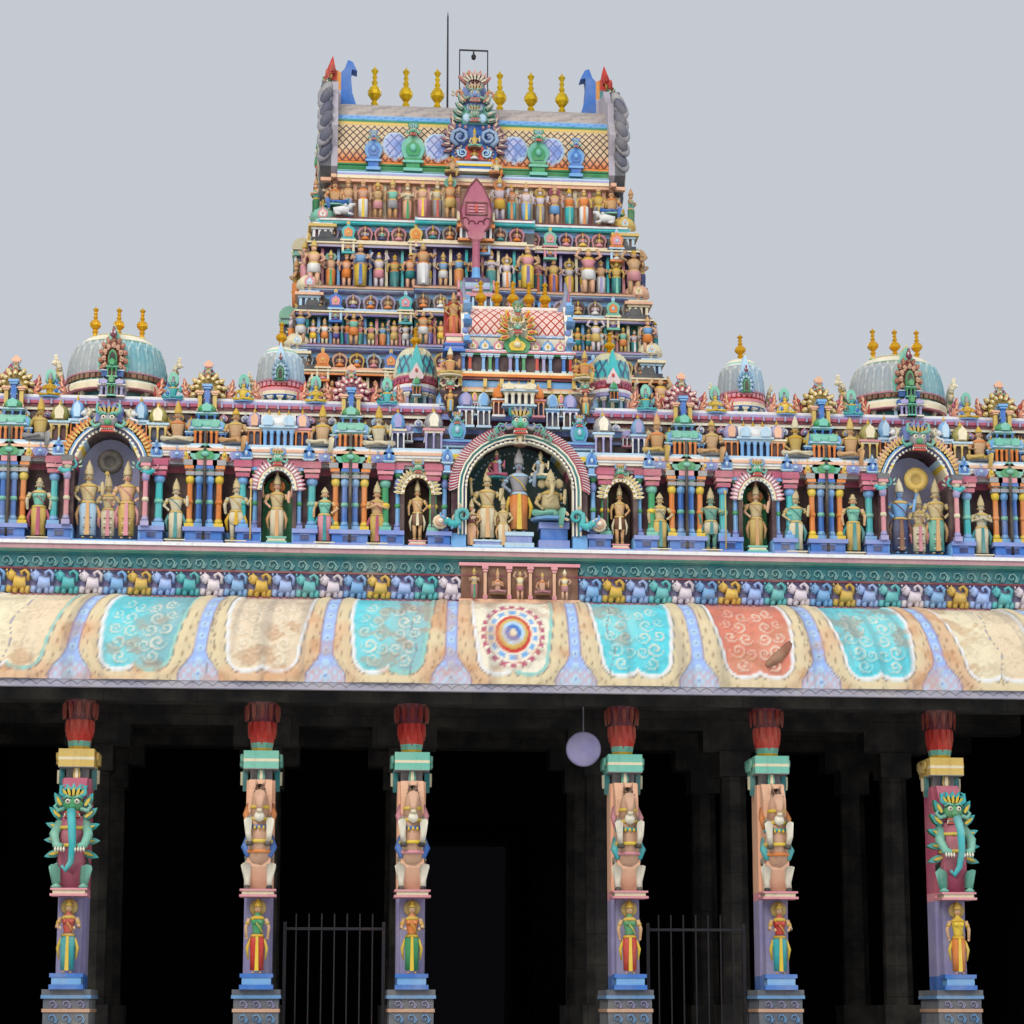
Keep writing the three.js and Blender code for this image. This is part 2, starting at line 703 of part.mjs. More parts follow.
function gateLintel() {
  const half = DOOR_HALF_X - SEAT;
  return block(-half, half, HALL_REAR_Y + SEAT, TOWER_Y + GATE_HALF_Y, DOOR_TOP_Z, TIER_BASE_Z[0]);
}

// Storeys of the tower

function storeyOutline(halfX, halfY) {
  const bayX = BAY_HALF_X;
  const bayY = BAY_HALF_Y;
  const quarter = [
    [halfX + BAY_STEP, bayY],
    [halfX, bayY],
    [halfX, halfY],
    [bayX, halfY],
    [bayX, halfY + BAY_STEP],
  ];
  const flipX = quarter.map(([x, y]) => [-x, y]).reverse();
  const upper = [...quarter, ...flipX];
  const lower = upper.map(([x, y]) => [-x, -y]);
  return [...upper, ...lower].map(([x, y]) => [x, TOWER_Y + y]);
}

function rectangle(halfX, halfY) {
  const corners = [[-halfX, -halfY], [halfX, -halfY], [halfX, halfY], [-halfX, halfY]];
  return corners.map(([x, y]) => [x, TOWER_Y + y]);
}

function cornerKuta(x, y, zBottom, size) {
  const half = size / 2;
  return join(
    centredBlock(x, y, size, size, zBottom - 60, zBottom + 130),
    turned([
      [0, zBottom + 120],
      [half * 1.1, zBottom + 120],
      [half * 0.95, zBottom + 400],
      [half * 0.35, zBottom + 560],
      [0, zBottom + 700],
    ], 8, x, y),
  );
}

function storey(index) {
  const z0 = TIER_BASE_Z[index];
  const z1 = TIER_BASE_Z[index + 1];
  const halfX = TIER_HALF_X[index];
  const halfY = TIER_HALF_Y[index];
  const hole = rectangle(halfX - TIER_RECESS - TIER_WALL, halfY - TIER_RECESS - TIER_WALL);
  const ring = (inset, from, to) => raised(storeyOutline(halfX - inset, halfY - inset), from, to, [hole]);
  const bandZ = z1 - TIER_BAND;
  const kutaSize = 720;
  const cornerX = halfX - 120 - kutaSize / 2;
  const cornerY = halfY - 120 - kutaSize / 2;
  const kutas = [[1, 1], [-1, 1], [-1, -1], [1, -1]].map(([sx, sy]) => cornerKuta(
    sx * cornerX, TOWER_Y + sy * cornerY, bandZ, kutaSize,
  ));
  const nextHole = rectangle(
    TIER_HALF_X[index + 1] - TIER_RECESS - TIER_WALL,
    TIER_HALF_Y[index + 1] - TIER_RECESS - TIER_WALL,
  );
  const band = raised(storeyOutline(halfX - 320, halfY - 320), bandZ - LAP, z1, [nextHole]);
  return cut(
    join(
      ring(0, z0, z0 + TIER_LEDGE),
      ring(TIER_RECESS, z0 + TIER_LEDGE - LAP, bandZ),
      ring(90, bandZ - TIER_CORNICE, bandZ),
      band,
      kutas,
    ),
    block(-halfX, halfX, TOWER_Y - halfY - BAY_STEP, TOWER_Y + halfY + BAY_STEP, z1, z1 + 1000),
  );
}

function neck() {
  const z0 = TIER_BASE_Z[TIER_BASE_Z.length - 1];
  const halfX = TIER_HALF_X[TIER_HALF_X.length - 1];
  const halfY = TIER_HALF_Y[TIER_HALF_Y.length - 1];
  const hole = rectangle(ROOF_HALF_X - 700, ROOF_HALF_Y - 700);
  const ring = (hx, hy, from, to) => raised(rectangle(hx, hy), from, to, [hole]);
  const corbelHalfY = 1550;
  return join(
    raised(storeyOutline(halfX, halfY), z0, z0 + TIER_LEDGE, [hole]),
    ring(halfX - 520, halfY - 520, z0 + TIER_LEDGE - LAP, NECK_TOP_Z - LAP),
    ring(GABLE_OUTER_X - 60, corbelHalfY, NECK_TOP_Z - 170, NECK_TOP_Z),
    ring(ROOF_HALF_X, ROOF_HALF_Y + 60, NECK_TOP_Z - 2 * LAP, EAVE_Z),
    ring(ROOF_HALF_X, ROOF_HALF_Y - 40, EAVE_Z - LAP, ROOF_SPRING_Z),
  );
}

// Barrel roof, its gables, crests and finials

function roofArc(inset) {
  const halfY = ROOF_HALF_Y - inset;
  const rise = RIDGE_Z - ROOF_SPRING_Z - inset;
  const steps = 9;
  const points = [];
  for (let i = 0; i <= 2 * steps; i += 1) {
    const angle = (Math.PI * i) / (2 * steps);
    const y = halfY * Math.sign(Math.cos(angle)) * Math.abs(Math.cos(angle)) ** 0.8;
    points.push([TOWER_Y + y, ROOF_SPRING_Z + rise * Math.sin(angle) ** 0.92]);
  }
  return points;
}

function barrelRoof() {
  const shell = alongX([...roofArc(0), ...roofArc(ROOF_SHELL).reverse()], -ROOF_HALF_X, ROOF_HALF_X);
  const ridge = alongX([
    [TOWER_Y - RIDGE_HALF_Y, RIDGE_Z - 320],
    [TOWER_Y + RIDGE_HALF_Y, RIDGE_Z - 320],
    [TOWER_Y + RIDGE_HALF_Y, RIDGE_Z],
    [TOWER_Y - RIDGE_HALF_Y, RIDGE_Z],
  ], -ROOF_HALF_X, ROOF_HALF_X);
  const lowRidge = cut(ridge, alongX(roofArc(ROOF_SHELL - LAP), -ROOF_HALF_X - LAP, ROOF_HALF_X + LAP));
  return join(shell, lowRidge);
}

function gableRim(radius, lobes) {
  const points = [];
  const footAngle = 42;
  const centreZ = NECK_TOP_Z + SEAT + radius * 0.92 * Math.sin(THREE.MathUtils.degToRad(footAngle));
  for (let i = 0; i <= lobes * 2; i += 1) {
    const angle = THREE.MathUtils.degToRad(-footAngle + ((180 + 2 * footAngle) * i) / (lobes * 2));
    const reach = i % 2 === 0 ? radius : radius * 1.1;
    points.push([TOWER_Y + reach * 1.08 * Math.cos(angle), centreZ + reach * 0.92 * Math.sin(angle)]);
  }
  return points;
}

function roofGable(side) {
  const innerX = ROOF_HALF_X + SEAT;
  const seatZ = RIDGE_Z + SEAT;
  const horn = [
    [innerX, seatZ - 200], [3860, seatZ - 200], [3900, 25350], [3830, 25750], [3730, 26080],
    [3600, 26420], [3520, 26020], [3380, 25960], [3290, 26060], [3200, 26310], [3080, 26260],
    [2960, 26010], [3100, 26050], [3120, 25850], [3080, 25400], [2980, 25080], [2900, seatZ],
    [innerX, seatZ],
  ].map(([a, z]) => [side * a, z]);
  return join(
    alongX(gableRim(GABLE_RADIUS, 9), ...sideSpan(side, innerX, GABLE_OUTER_X)),
    facing(horn, TOWER_Y - 190, TOWER_Y + 190),
  );
}

function ridgeFinials() {
  const railHalfX = 2750;
  const railTopZ = RIDGE_Z + 60;
  const rail = block(-railHalfX, railHalfX, TOWER_Y - 170, TOWER_Y + 170, RIDGE_Z, railTopZ);
  const finials = [];
  for (let i = 0; i < FINIAL_COUNT; i += 1) {
    const x = (i - (FINIAL_COUNT - 1) / 2) * FINIAL_PITCH;
    finials.push(finial(x, TOWER_Y, railTopZ, FINIAL_TOP_Z - railTopZ, FINIAL_RADIUS, 10));
  }
  return join(rail, finials);
}

// Tall niche in the middle of the roof's front, with the fanned crest above it
function roofCrest(side) {
  const hx = CREST_HALF_X;
  const outline = [
    [-520, EAVE_Z + 10],
    [520, EAVE_Z + 10],
    [520, 22900],
    [hx, 23100],
    [hx, 23800],
    [420, 24300],
    [330, 24650],
    [240, 24950],
    [0, CREST_TOP_Z],
    [-240, 24950],
    [-330, 24650],
    [-420, 24300],
    [-hx, 23800],
    [-hx, 23100],
    [-520, 22900],
  ];
  const nearY = TOWER_Y + side * (ROOF_HALF_Y + 80);
  const backY = nearY - side * 400;
  const farY = TOWER_Y + side * RIDGE_HALF_Y;
  const plate = facing(outline, Math.min(nearY, backY), Math.max(nearY, backY));
  const backing = facing([
    [-300, EAVE_Z + 10], [300, EAVE_Z + 10], [300, 24500], [0, 24780], [-300, 24500],
  ], Math.min(backY + side * LAP, farY), Math.max(backY + side * LAP, farY));
  const clearHalfX = 2000;
  const ridgeY = [TOWER_Y - RIDGE_HALF_Y - SEAT, TOWER_Y + RIDGE_HALF_Y + SEAT];
  const clear = join(
    alongX([
      [TOWER_Y - ROOF_HALF_Y - SEAT, EAVE_Z],
      [TOWER_Y + ROOF_HALF_Y + SEAT, EAVE_Z],
      ...roofArc(-SEAT),
    ], -clearHalfX, clearHalfX),
    block(-clearHalfX, clearHalfX, ...ridgeY, EAVE_Z, RIDGE_Z + SEAT),
  );
  return cut(join(plate, backing), clear);
}

function spear() {
  const right = [
    [60, SPEAR_NECK_Z - LAP], [190, SPEAR_NECK_Z + 60], [230, SPEAR_NECK_Z + 250],
    [350, SPEAR_WIDE_Z - 420], [SPEAR_HALF_X, SPEAR_WIDE_Z], [SPEAR_HALF_X - 90, 21500], [180, 21830],
  ];
  const left = right.map(([x, z]) => [-x, z]).reverse();
  const blade = facing([...right, [0, SPEAR_TOP_Z], ...left], SPEAR_Y - 75, SPEAR_Y + 75);
  const shaft = turned([
    [0, SPEAR_BASE_Z], [150, SPEAR_BASE_Z], [105, SPEAR_BASE_Z + 120], [95, SPEAR_NECK_Z - 60],
    [130, SPEAR_NECK_Z], [0, SPEAR_NECK_Z + 30],
  ], 8, 0, SPEAR_Y);
  return join(blade, shaft);
}

// Bracket that carries the spear, built out from the sixth storey's ledge
function spearBracket() {
  const z0 = TIER_BASE_Z[5];
  return block(-330, 330, SPEAR_Y - 220, TOWER_Y - TIER_HALF_Y[5], z0 + LAP, SPEAR_BASE_Z);
}

function lampFrame() {
  const y = RIDGE_FITTINGS_Y;
  const bar = 30;
  const top = LAMP_FRAME_TOP_Z;
  const leg = (x) => centredBlock(x, y, bar, bar, RIDGE_Z, top);
  const x0 = LAMP_FRAME_X - LAMP_FRAME_HALF_X;
  const x1 = LAMP_FRAME_X + LAMP_FRAME_HALF_X;
  return join(
    leg(x0),
    leg(x1),
    block(x0 - bar / 2, x1 + bar / 2, y - bar / 2, y + bar / 2, top - bar, top + LAP),
    turned([
      [0, top - 290], [60, top - 250], [70, top - 170], [25, top - 110], [15, top], [0, top],
    ], 8, LAMP_FRAME_X, y),
  );
}

function lightningRod() {
  const profile = [[0, RIDGE_Z], [45, RIDGE_Z], [28, RIDGE_Z + 200], [22, ROD_TOP_Z - 200], [0, ROD_TOP_Z]];
  return turned(profile, 6, ROD_X, RIDGE_FITTINGS_Y);
}

// Spear-topped railing between two front pillars
function fence(x0, x1) {
  const railY = 150;
  const bars = 8;
  const pieces = [
    block(x0, x1, railY - 20, railY + 20, FLOOR_Z + 200, FLOOR_Z + 250),
    block(x0, x1, railY - 20, railY + 20, 3050, 3100),
    block(x0, x0 + 60, railY - 30, railY + 30, FLOOR_Z, 3200),
    block(x1 - 60, x1, railY - 30, railY + 30, FLOOR_Z, 3200),
  ];
  for (let i = 1; i < bars; i += 1) {
    const x = x0 + ((x1 - x0) * i) / bars;
    pieces.push(centredBlock(x, railY, 24, 24, FLOOR_Z + 60, 3350));
  }
  return join(pieces);
}

// Assembly

const STONE = 0x8b8a86;
const LIME = 0xcfc3a8;

addPart('hall_plinth', hallPlinth(), 0x8d8f94);
addPart('entrance_steps', entranceSteps(), 0x97928a);
addPart('gate_plinth', gatePlinth(), 0x85827c);

PILLAR_X.forEach((x, i) => addPart(`front_pillar_${i + 1}`, frontPillar(x), 0x9fb0b4));
INNER_ROW_Y.forEach((y, i) => addPart(`inner_pillar_row_${i + 1}`, innerPillarRow(y), STONE));
addPart('front_beam', frontBeam(), 0x6f4a3e);

addPart('side_wall_left', sideWall(-1), STONE);
addPart('side_wall_right', sideWall(1), STONE);
addPart('back_wall_left', backWall(-1), STONE);
addPart('back_wall_right', backWall(1), STONE);
addPart('back_wall_lintel', backWallLintel(), STONE);
addPart('roof_slab', roofSlab(), 0x9a948a);

addPart('cornice_front', mitredRun(corniceSection(), FRONT), 0x6fa9a6);
addPart('cornice_left', mitredRun(corniceSection(), LEFT), 0x6fa9a6);
addPart('cornice_right', mitredRun(corniceSection(), RIGHT), 0x6fa9a6);
addPart('frieze', frieze(), 0x9c8aa5);

addPart('parapet_front', parapetFront(), 0x7fb3bf);
addPart('parapet_left', parapetSide(-1), 0x8fb0b8);
addPart('parapet_right', parapetSide(1), 0x8fb0b8);
addPart('parapet_deck', parapetDeck(), 0x5a6fae);

addPart('big_dome_left', dome({ ...BIG_DOME, x: -BIG_DOME.x }), 0x8fb4be);
addPart('big_dome_right', dome(BIG_DOME), 0x8fb4be);
addPart('small_dome_left', dome({ ...SMALL_DOME, x: -SMALL_DOME.x }), 0x9fb7be);
addPart('small_dome_right', dome(SMALL_DOME), 0x9fb7be);
addPart('lattice_dome_left', dome({ ...LATTICE_DOME, x: -LATTICE_DOME.x }), 0x3fc0bd);
addPart('lattice_dome_right', dome(LATTICE_DOME), 0x3fc0bd);
addPart('centre_shrine', centreShrine(), 0x6f8fc0);
addPart('centre_shrine_roof', centreShrineRoof(), 0xe3b9a5);

addPart('gate_base_left', gateJamb(-1), 0x8c857a);
addPart('gate_base_right', gateJamb(1), 0x8c857a);
addPart('gate_lintel', gateLintel(), 0x8c857a);
for (let i = 0; i < TIER_BASE_Z.length - 1; i += 1) {
  const body = i === 5 ? join(storey(i), spearBracket()) : storey(i);
  addPart(`tower_storey_${i + 1}`, body, i % 2 === 0 ? LIME : 0xc9b08c);
}
addPart('tower_neck', neck(), 0x6aa0a8);
addPart('barrel_roof', barrelRoof(), 0xd6a98e);
addPart('roof_gable_left', roofGable(-1), 0xb9b3b4);
addPart('roof_gable_right', roofGable(1), 0xb9b3b4);
addPart('ridge_finials', ridgeFinials(), 0xd8b21a, 0.35, 0.8);
addPart('roof_crest_front', roofCrest(-1), 0x6f9a8a);
addPart('roof_crest_back', roofCrest(1), 0x6f9a8a);
addPart('spear', spear(), 0xb4516b, 0.6, 0);
addPart('lamp_frame', lampFrame(), 0x3a3e48, 0.5, 0.6);
addPart('lightning_rod', lightningRod(), 0x4a4e58, 0.5, 0.8);
addPart('fence_left', fence(-4300, -2430), 0x222326, 0.6, 0.6);
addPart('fence_right', fence(2430, 4300), 0x222326, 0.6, 0.6);

export default building;
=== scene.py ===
# Looks for the temple gateway: painted plaster figures, shrines, domes, friezes and pillars
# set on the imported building. Metres. Shapes are made with y = 0 at the row of front pillars.
import math
import random

import bpy
import numpy as np
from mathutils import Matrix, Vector


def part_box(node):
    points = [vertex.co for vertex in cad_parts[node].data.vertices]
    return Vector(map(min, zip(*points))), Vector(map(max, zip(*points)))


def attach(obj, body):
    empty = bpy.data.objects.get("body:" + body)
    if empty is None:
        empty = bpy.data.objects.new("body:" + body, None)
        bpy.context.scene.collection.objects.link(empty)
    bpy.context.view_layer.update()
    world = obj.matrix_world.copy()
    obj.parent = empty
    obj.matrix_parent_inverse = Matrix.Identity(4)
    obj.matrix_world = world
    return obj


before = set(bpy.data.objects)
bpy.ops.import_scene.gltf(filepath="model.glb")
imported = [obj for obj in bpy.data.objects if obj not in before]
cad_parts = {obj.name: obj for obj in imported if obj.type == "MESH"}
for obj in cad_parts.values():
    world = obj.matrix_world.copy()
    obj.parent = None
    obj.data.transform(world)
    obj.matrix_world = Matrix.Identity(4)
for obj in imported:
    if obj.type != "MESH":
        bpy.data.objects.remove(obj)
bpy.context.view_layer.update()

BODY = "root"
beam_low, beam_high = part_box("front_beam")
Y_SHIFT = (beam_low[1] + beam_high[1]) / 2
TAU = 2 * math.pi


# Colours

def linear(hex_text):
    channels = [int(hex_text[i:i + 2], 16) / 255 for i in (0, 2, 4)]
    return tuple(c / 12.92 if c <= 0.04045 else ((c + 0.055) / 1.055) ** 2.4 for c in channels)


COLOURS = {name: np.array(linear(code)) for name, code in {
    "cream": "eadcb8", "ivory": "efe6cf", "white": "e9e8e6", "grey": "9c9a9c", "slate": "5c6068",
    "dark": "2b2427", "brown": "7b4c34", "tan": "d8a56d", "skin": "e2b483",
    "peach": "e9b492", "straw": "d9b65e", "gold": "dcae1c", "yellow": "ecc83c", "orange": "e58435",
    "red": "cf3a2c", "maroon": "76303c", "pink": "dd909a", "rose": "b65470", "lilac": "a79fcb",
    "violet": "665aa0", "navy": "27396f", "blue": "3a74c4", "sky": "74acdf", "ice": "b4d3e6",
    "turquoise": "37b7ba", "teal": "2b8a8c", "sea": "77c3ac", "green": "3f9d63",
    "leaf": "2f7d4b", "olive": "9c9440", "peri": "7f92cf", "wine": "4c2a35", "steel": "3f8288",
    "cyan": "58d2de",
    "periwinkle": "9db9ee", "blush": "e2d3da", "stone": "b9aba2", "fog": "a9b4ba", "dusk": "b26478",
    "lagoon": "7cb9c4",
}.items()}

def hue(**shares):
    """A mixed colour: so much of each named one."""
    return sum(COLOURS[name] * share for name, share in shares.items())


CLOTHS = ["turquoise", "yellow", "pink", "blue", "orange", "sea", "white", "violet", "green", "teal",
          "red", "sky", "straw", "lilac"]
SKINS = ["tan", "skin", "peach", "cream", "skin", "tan", "straw"]
SHRINES = ["sky", "turquoise", "cream", "pink", "lilac", "sea", "orange", "peach", "blue", "straw"]


def paint_of(*tones):
    """A function that takes colours in this order of tones."""
    return lambda *colours: dict(zip(tones, colours))


kudu_paint = paint_of("rim", "trim", "face")
leaf_paint = paint_of("leaf", "edge", "vein")
base_paint = paint_of("base", "mid")
pilaster_paint = paint_of("base", "cap")


# Shapes: corners, faces, one tone for each face. A tone is a name that a palette turns to a colour

TONES = []


def tone_number(name):
    if name not in TONES:
        TONES.append(name)
    return TONES.index(name)


class Shape:
    def __init__(self, corners, loops, sizes, tones, smooth):
        self.corners = corners
        self.loops = loops
        self.sizes = sizes
        self.tones = tones
        self.smooth = smooth
        self.depths = None

    def recess(self):
        """How far back each face lies, from 0 at the front of the shape to 1 at its back."""
        if self.depths is None:
            starts = np.cumsum(self.sizes) - self.sizes
            middle = np.add.reduceat(self.corners[self.loops, 1], starts) / self.sizes
            low, high = self.corners[:, 1].min(), self.corners[:, 1].max()
            self.depths = (middle - low) / max(high - low, 1e-6)
        return self.depths

    def moved(self, x=0.0, y=0.0, z=0.0):
        return Shape(self.corners + (x, y, z), self.loops, self.sizes, self.tones, self.smooth)

    def scaled(self, x, y=None, z=None):
        factors = (x, x if y is None else y, x if z is None else z)
        loops = self.loops
        if factors[0] * factors[1] * factors[2] < 0:
            loops = turned_over(self.loops, self.sizes)
        return Shape(self.corners * factors, loops, self.sizes, self.tones, self.smooth)

    def spun(self, angle):
        """Turned about Z."""
        return self.rotated(rotation_z(angle))

    def rotated(self, matrix):
        return Shape(self.corners @ matrix.T, self.loops, self.sizes, self.tones, self.smooth)

    def toned(self, name):
        tones = np.full(len(self.sizes), tone_number(name))
        return Shape(self.corners, self.loops, self.sizes, tones, self.smooth)


def turned_over(loops, sizes):
    ends = np.cumsum(sizes)
    return np.concatenate([loops[end - size:end][::-1] for end, size in zip(ends, sizes)])


def rotation_z(angle):
    c, s = math.cos(angle), math.sin(angle)
    return np.array([[c, -s, 0], [s, c, 0], [0, 0, 1]])


def rotation_x(angle):
    c, s = math.cos(angle), math.sin(angle)
    return np.array([[1, 0, 0], [0, c, -s], [0, s, c]])


def rotation_y(angle):
    c, s = math.cos(angle), math.sin(angle)
    return np.array([[c, 0, s], [0, 1, 0], [-s, 0, c]])


def shape(corners, faces, tone, smooth=False):
    sizes = np.array([len(face) for face in faces], dtype=np.int32)
    loops = np.array([i for face in faces for i in face], dtype=np.int32)
    if isinstance(tone, str):
        tones = np.full(len(faces), tone_number(tone))
    else:
        tones = np.array([tone_number(name) for name in tone])
    return Shape(np.asarray(corners, dtype=float), loops, sizes, tones, np.full(len(faces), smooth))


def merged(*parts):
    flat = []
    for part in parts:
        flat.extend(part if isinstance(part, (list, tuple)) else [part])
    offsets = np.cumsum([0] + [len(part.corners) for part in flat[:-1]])
    return Shape(
        np.concatenate([part.corners for part in flat]),
        np.concatenate([part.loops + offset for part, offset in zip(flat, offsets)]),
        np.concatenate([part.sizes for part in flat]),
        np.concatenate([part.tones for part in flat]),
        np.concatenate([part.smooth for part in flat]),
    )


def box(x0, x1, y0, y1, z0, z1, tone="base"):
    corners = [(x, y, z) for z in (z0, z1) for y in (y0, y1) for x in (x0, x1)]
    faces = [(0, 2, 3, 1), (4, 5, 7, 6), (0, 1, 5, 4), (2, 6, 7, 3), (0, 4, 6, 2), (1, 3, 7, 5)]
    return shape(corners, faces, tone)


def block(x, y, width, depth, z0, z1, tone="base"):
    return box(x - width / 2, x + width / 2, y - depth / 2, y + depth / 2, z0, z1, tone)


def loft(rings, tone, smooth=True):
    """Rings of equal length, each anticlockwise seen from the next one's side."""
    rings = np.asarray(rings, dtype=float)
    count, sides = rings.shape[:2]
    faces = []
    tones = []
    for i in range(count - 1):
        for j in range(sides):
            k = (j + 1) % sides
            faces.append((i * sides + j, i * sides + k, (i + 1) * sides + k, (i + 1) * sides + j))
            tones.append(tone if isinstance(tone, str) else tone[i])
    faces += [tuple(range(sides))[::-1], tuple((count - 1) * sides + j for j in range(sides))]
    tones += [tones[0], tones[-1]]
    return shape(rings.reshape(-1, 3), faces, tones, smooth)


def upright(sections, sides, tone="base", smooth=True, spin=0.0):
    """Sections of (z, radius x, radius y, centre x, centre y), bottom first."""
    angles = np.arange(sides) * TAU / sides + spin
    rings = []
    for section in sections:
        z, rx, ry, cx, cy = (list(section) + [section[1], 0.0, 0.0][len(section) - 2:])[:5]
        ring = np.stack([
            cx + max(rx, 1e-3) * np.cos(angles),
            cy + max(ry, 1e-3) * np.sin(angles),
            np.full(sides, z),
        ], axis=1)
        rings.append(ring)
    return loft(rings, tone, smooth)


def turned(profile, sides, tone="base", smooth=True):
    """A turned piece from (radius, z) points, bottom first."""
    return upright([(z, r, r) for r, z in profile], sides, tone, smooth)


def ball(centre, radii, sides=8, rings=5, tone="base"):
    cx, cy, cz = centre
    rx, ry, rz = radii
    sections = []
    for i in range(rings):
        angle = math.radians(-78 + 156 * i / (rings - 1))
        sections.append((cz + rz * math.sin(angle), rx * math.cos(angle), ry * math.cos(angle), cx, cy))
    return upright(sections, sides, tone)


def limb(points, radii, sides=6, tone="base"):
    """A bent round bar through points, with a radius at each."""
    points = np.asarray(points, dtype=float)
    rings = []
    for i, point in enumerate(points):
        ahead = points[min(i + 1, len(points) - 1)] - points[max(i - 1, 0)]
        ahead = ahead / np.linalg.norm(ahead)
        guide = np.array([0.0, 1.0, 0.0]) if abs(ahead[1]) < 0.8 else np.array([0.0, 0.0, 1.0])
        across = np.cross(guide, ahead)
        across /= np.linalg.norm(across)
        other = np.cross(ahead, across)
        angles = np.arange(sides) * TAU / sides
        rings.append(point + radii[i] * (np.outer(np.cos(angles), across) + np.outer(np.sin(angles), other)))
    return loft(rings, tone)


def plate(outline, y0, y1, tone="base", rim=None):
    """An outline of (x, z) points, anticlockwise from the front, thickened from y0 back to y1."""
    count = len(outline)
    corners = [(x, y0, z) for x, z in outline] + [(x, y1, z) for x, z in outline]
    faces = [tuple(range(count)), tuple(range(count, 2 * count))[::-1]]
    tones = [tone, tone]
    for i in range(count):
        k = (i + 1) % count
        faces.append((k, i, count + i, count + k))
        tones.append(rim or tone)
    return shape(corners, faces, tones)


def arch_points(half, spring, rise, start=0.0, stop=180.0, steps=12):
    points = []
    for i in range(steps + 1):
        angle = math.radians(start + (stop - start) * i / steps)
        points.append((half * math.cos(angle), spring + rise * math.sin(angle)))
    return points


def arch_band(inner, outer, y0, y1):
    """A band between two lists of (x, z) points of equal length, running right to left."""
    rings = [[(xi, y1, zi), (xo, y1, zo), (xo, y0, zo), (xi, y0, zi)] for (xi, zi),
             (xo, zo) in zip(inner, outer)]
    return loft(rings, "base", smooth=False)


# Batches: many coloured copies of shapes in one piece

class Batch:
    def __init__(self, name):
        self.name = name
        self.parts = []
        self.draw = random.Random(name)

    def add(self, part, at=(0, 0, 0), turn=0.0, size=1.0, paint=None, vary=0.06, recess_shade=0.5):
        corners = part.corners * size
        if turn:
            corners = corners @ rotation_z(turn).T
        table = np.full((len(TONES), 3), 0.4)
        for tone, colour in (paint if isinstance(paint, dict) else {"base": paint}).items():
            if tone in TONES:
                table[TONES.index(tone)] = COLOURS[colour] if isinstance(colour, str) else colour
        table = table * (1 + self.draw.uniform(-vary, vary))
        # Faces lying further back in each shape are darkened by recess_shade: painted shade in the recesses.
        colours = table[part.tones] * (1 - recess_shade * np.clip(part.recess(), 0, 1) ** 1.4)[:, None]
        self.parts.append((corners + at, part.loops, part.sizes, colours, part.smooth))

    def piece(self, material, slot):
        corners = np.concatenate([part[0] for part in self.parts])
        corners[:, 1] += Y_SHIFT
        offsets = np.cumsum([0] + [len(part[0]) for part in self.parts[:-1]])
        loops = np.concatenate([part[1] + offset for part, offset in zip(self.parts, offsets)])
        sizes = np.concatenate([part[2] for part in self.parts])
        colours = np.concatenate([part[3] for part in self.parts])
        smooth = np.concatenate([part[4] for part in self.parts])
        return mesh_piece(self.name, corners, loops, sizes, colours, smooth, material)


def mesh_piece(name, corners, loops, sizes, colours, smooth, material, by_corner=False):
    mesh = bpy.data.meshes.new(name)
    mesh.vertices.add(len(corners))
    mesh.vertices.foreach_set("co", np.ascontiguousarray(corners, dtype=np.float32).ravel())
    mesh.loops.add(len(loops))
    mesh.loops.foreach_set("vertex_index", loops.astype(np.int32))
    mesh.polygons.add(len(sizes))
    mesh.polygons.foreach_set("loop_start", (np.cumsum(sizes) - sizes).astype(np.int32))
    mesh.polygons.foreach_set("use_smooth", np.broadcast_to(smooth, len(sizes)).astype(bool))
    mesh.update(calc_edges=True)
    paint = mesh.color_attributes.new("Paint", "FLOAT_COLOR", "POINT" if by_corner else "CORNER")
    rows = colours if by_corner else np.repeat(colours, sizes, axis=0)
    if rows.shape[1] == 3:
        rows = np.concatenate([np.clip(rows, 0, 1), np.ones((len(rows), 1))], axis=1)
    paint.data.foreach_set("color", rows.astype(np.float32).ravel())
    mesh.materials.append(material)
    piece = bpy.data.objects.new(name, mesh)
    bpy.context.scene.collection.objects.link(piece)
    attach(piece, BODY)
    return piece


def sheet(name, grid, colours, material):
    """A smooth grid of points, rows by columns, with a colour at each point."""
    grid = np.array(grid)
    grid[..., 1] += Y_SHIFT
    rows, columns = grid.shape[:2]
    index = np.arange(rows * columns).reshape(rows, columns)
    quads = np.stack([index[:-1, :-1], index[:-1, 1:], index[1:, 1:], index[1:, :-1]], axis=-1)
    loops = quads.reshape(-1)
    sizes = np.full(len(loops) // 4, 4)
    return mesh_piece(
        name, grid.reshape(-1, 3), loops, sizes, colours.reshape(len(index.ravel()), -1), True, material,
        True,
    )


# Materials

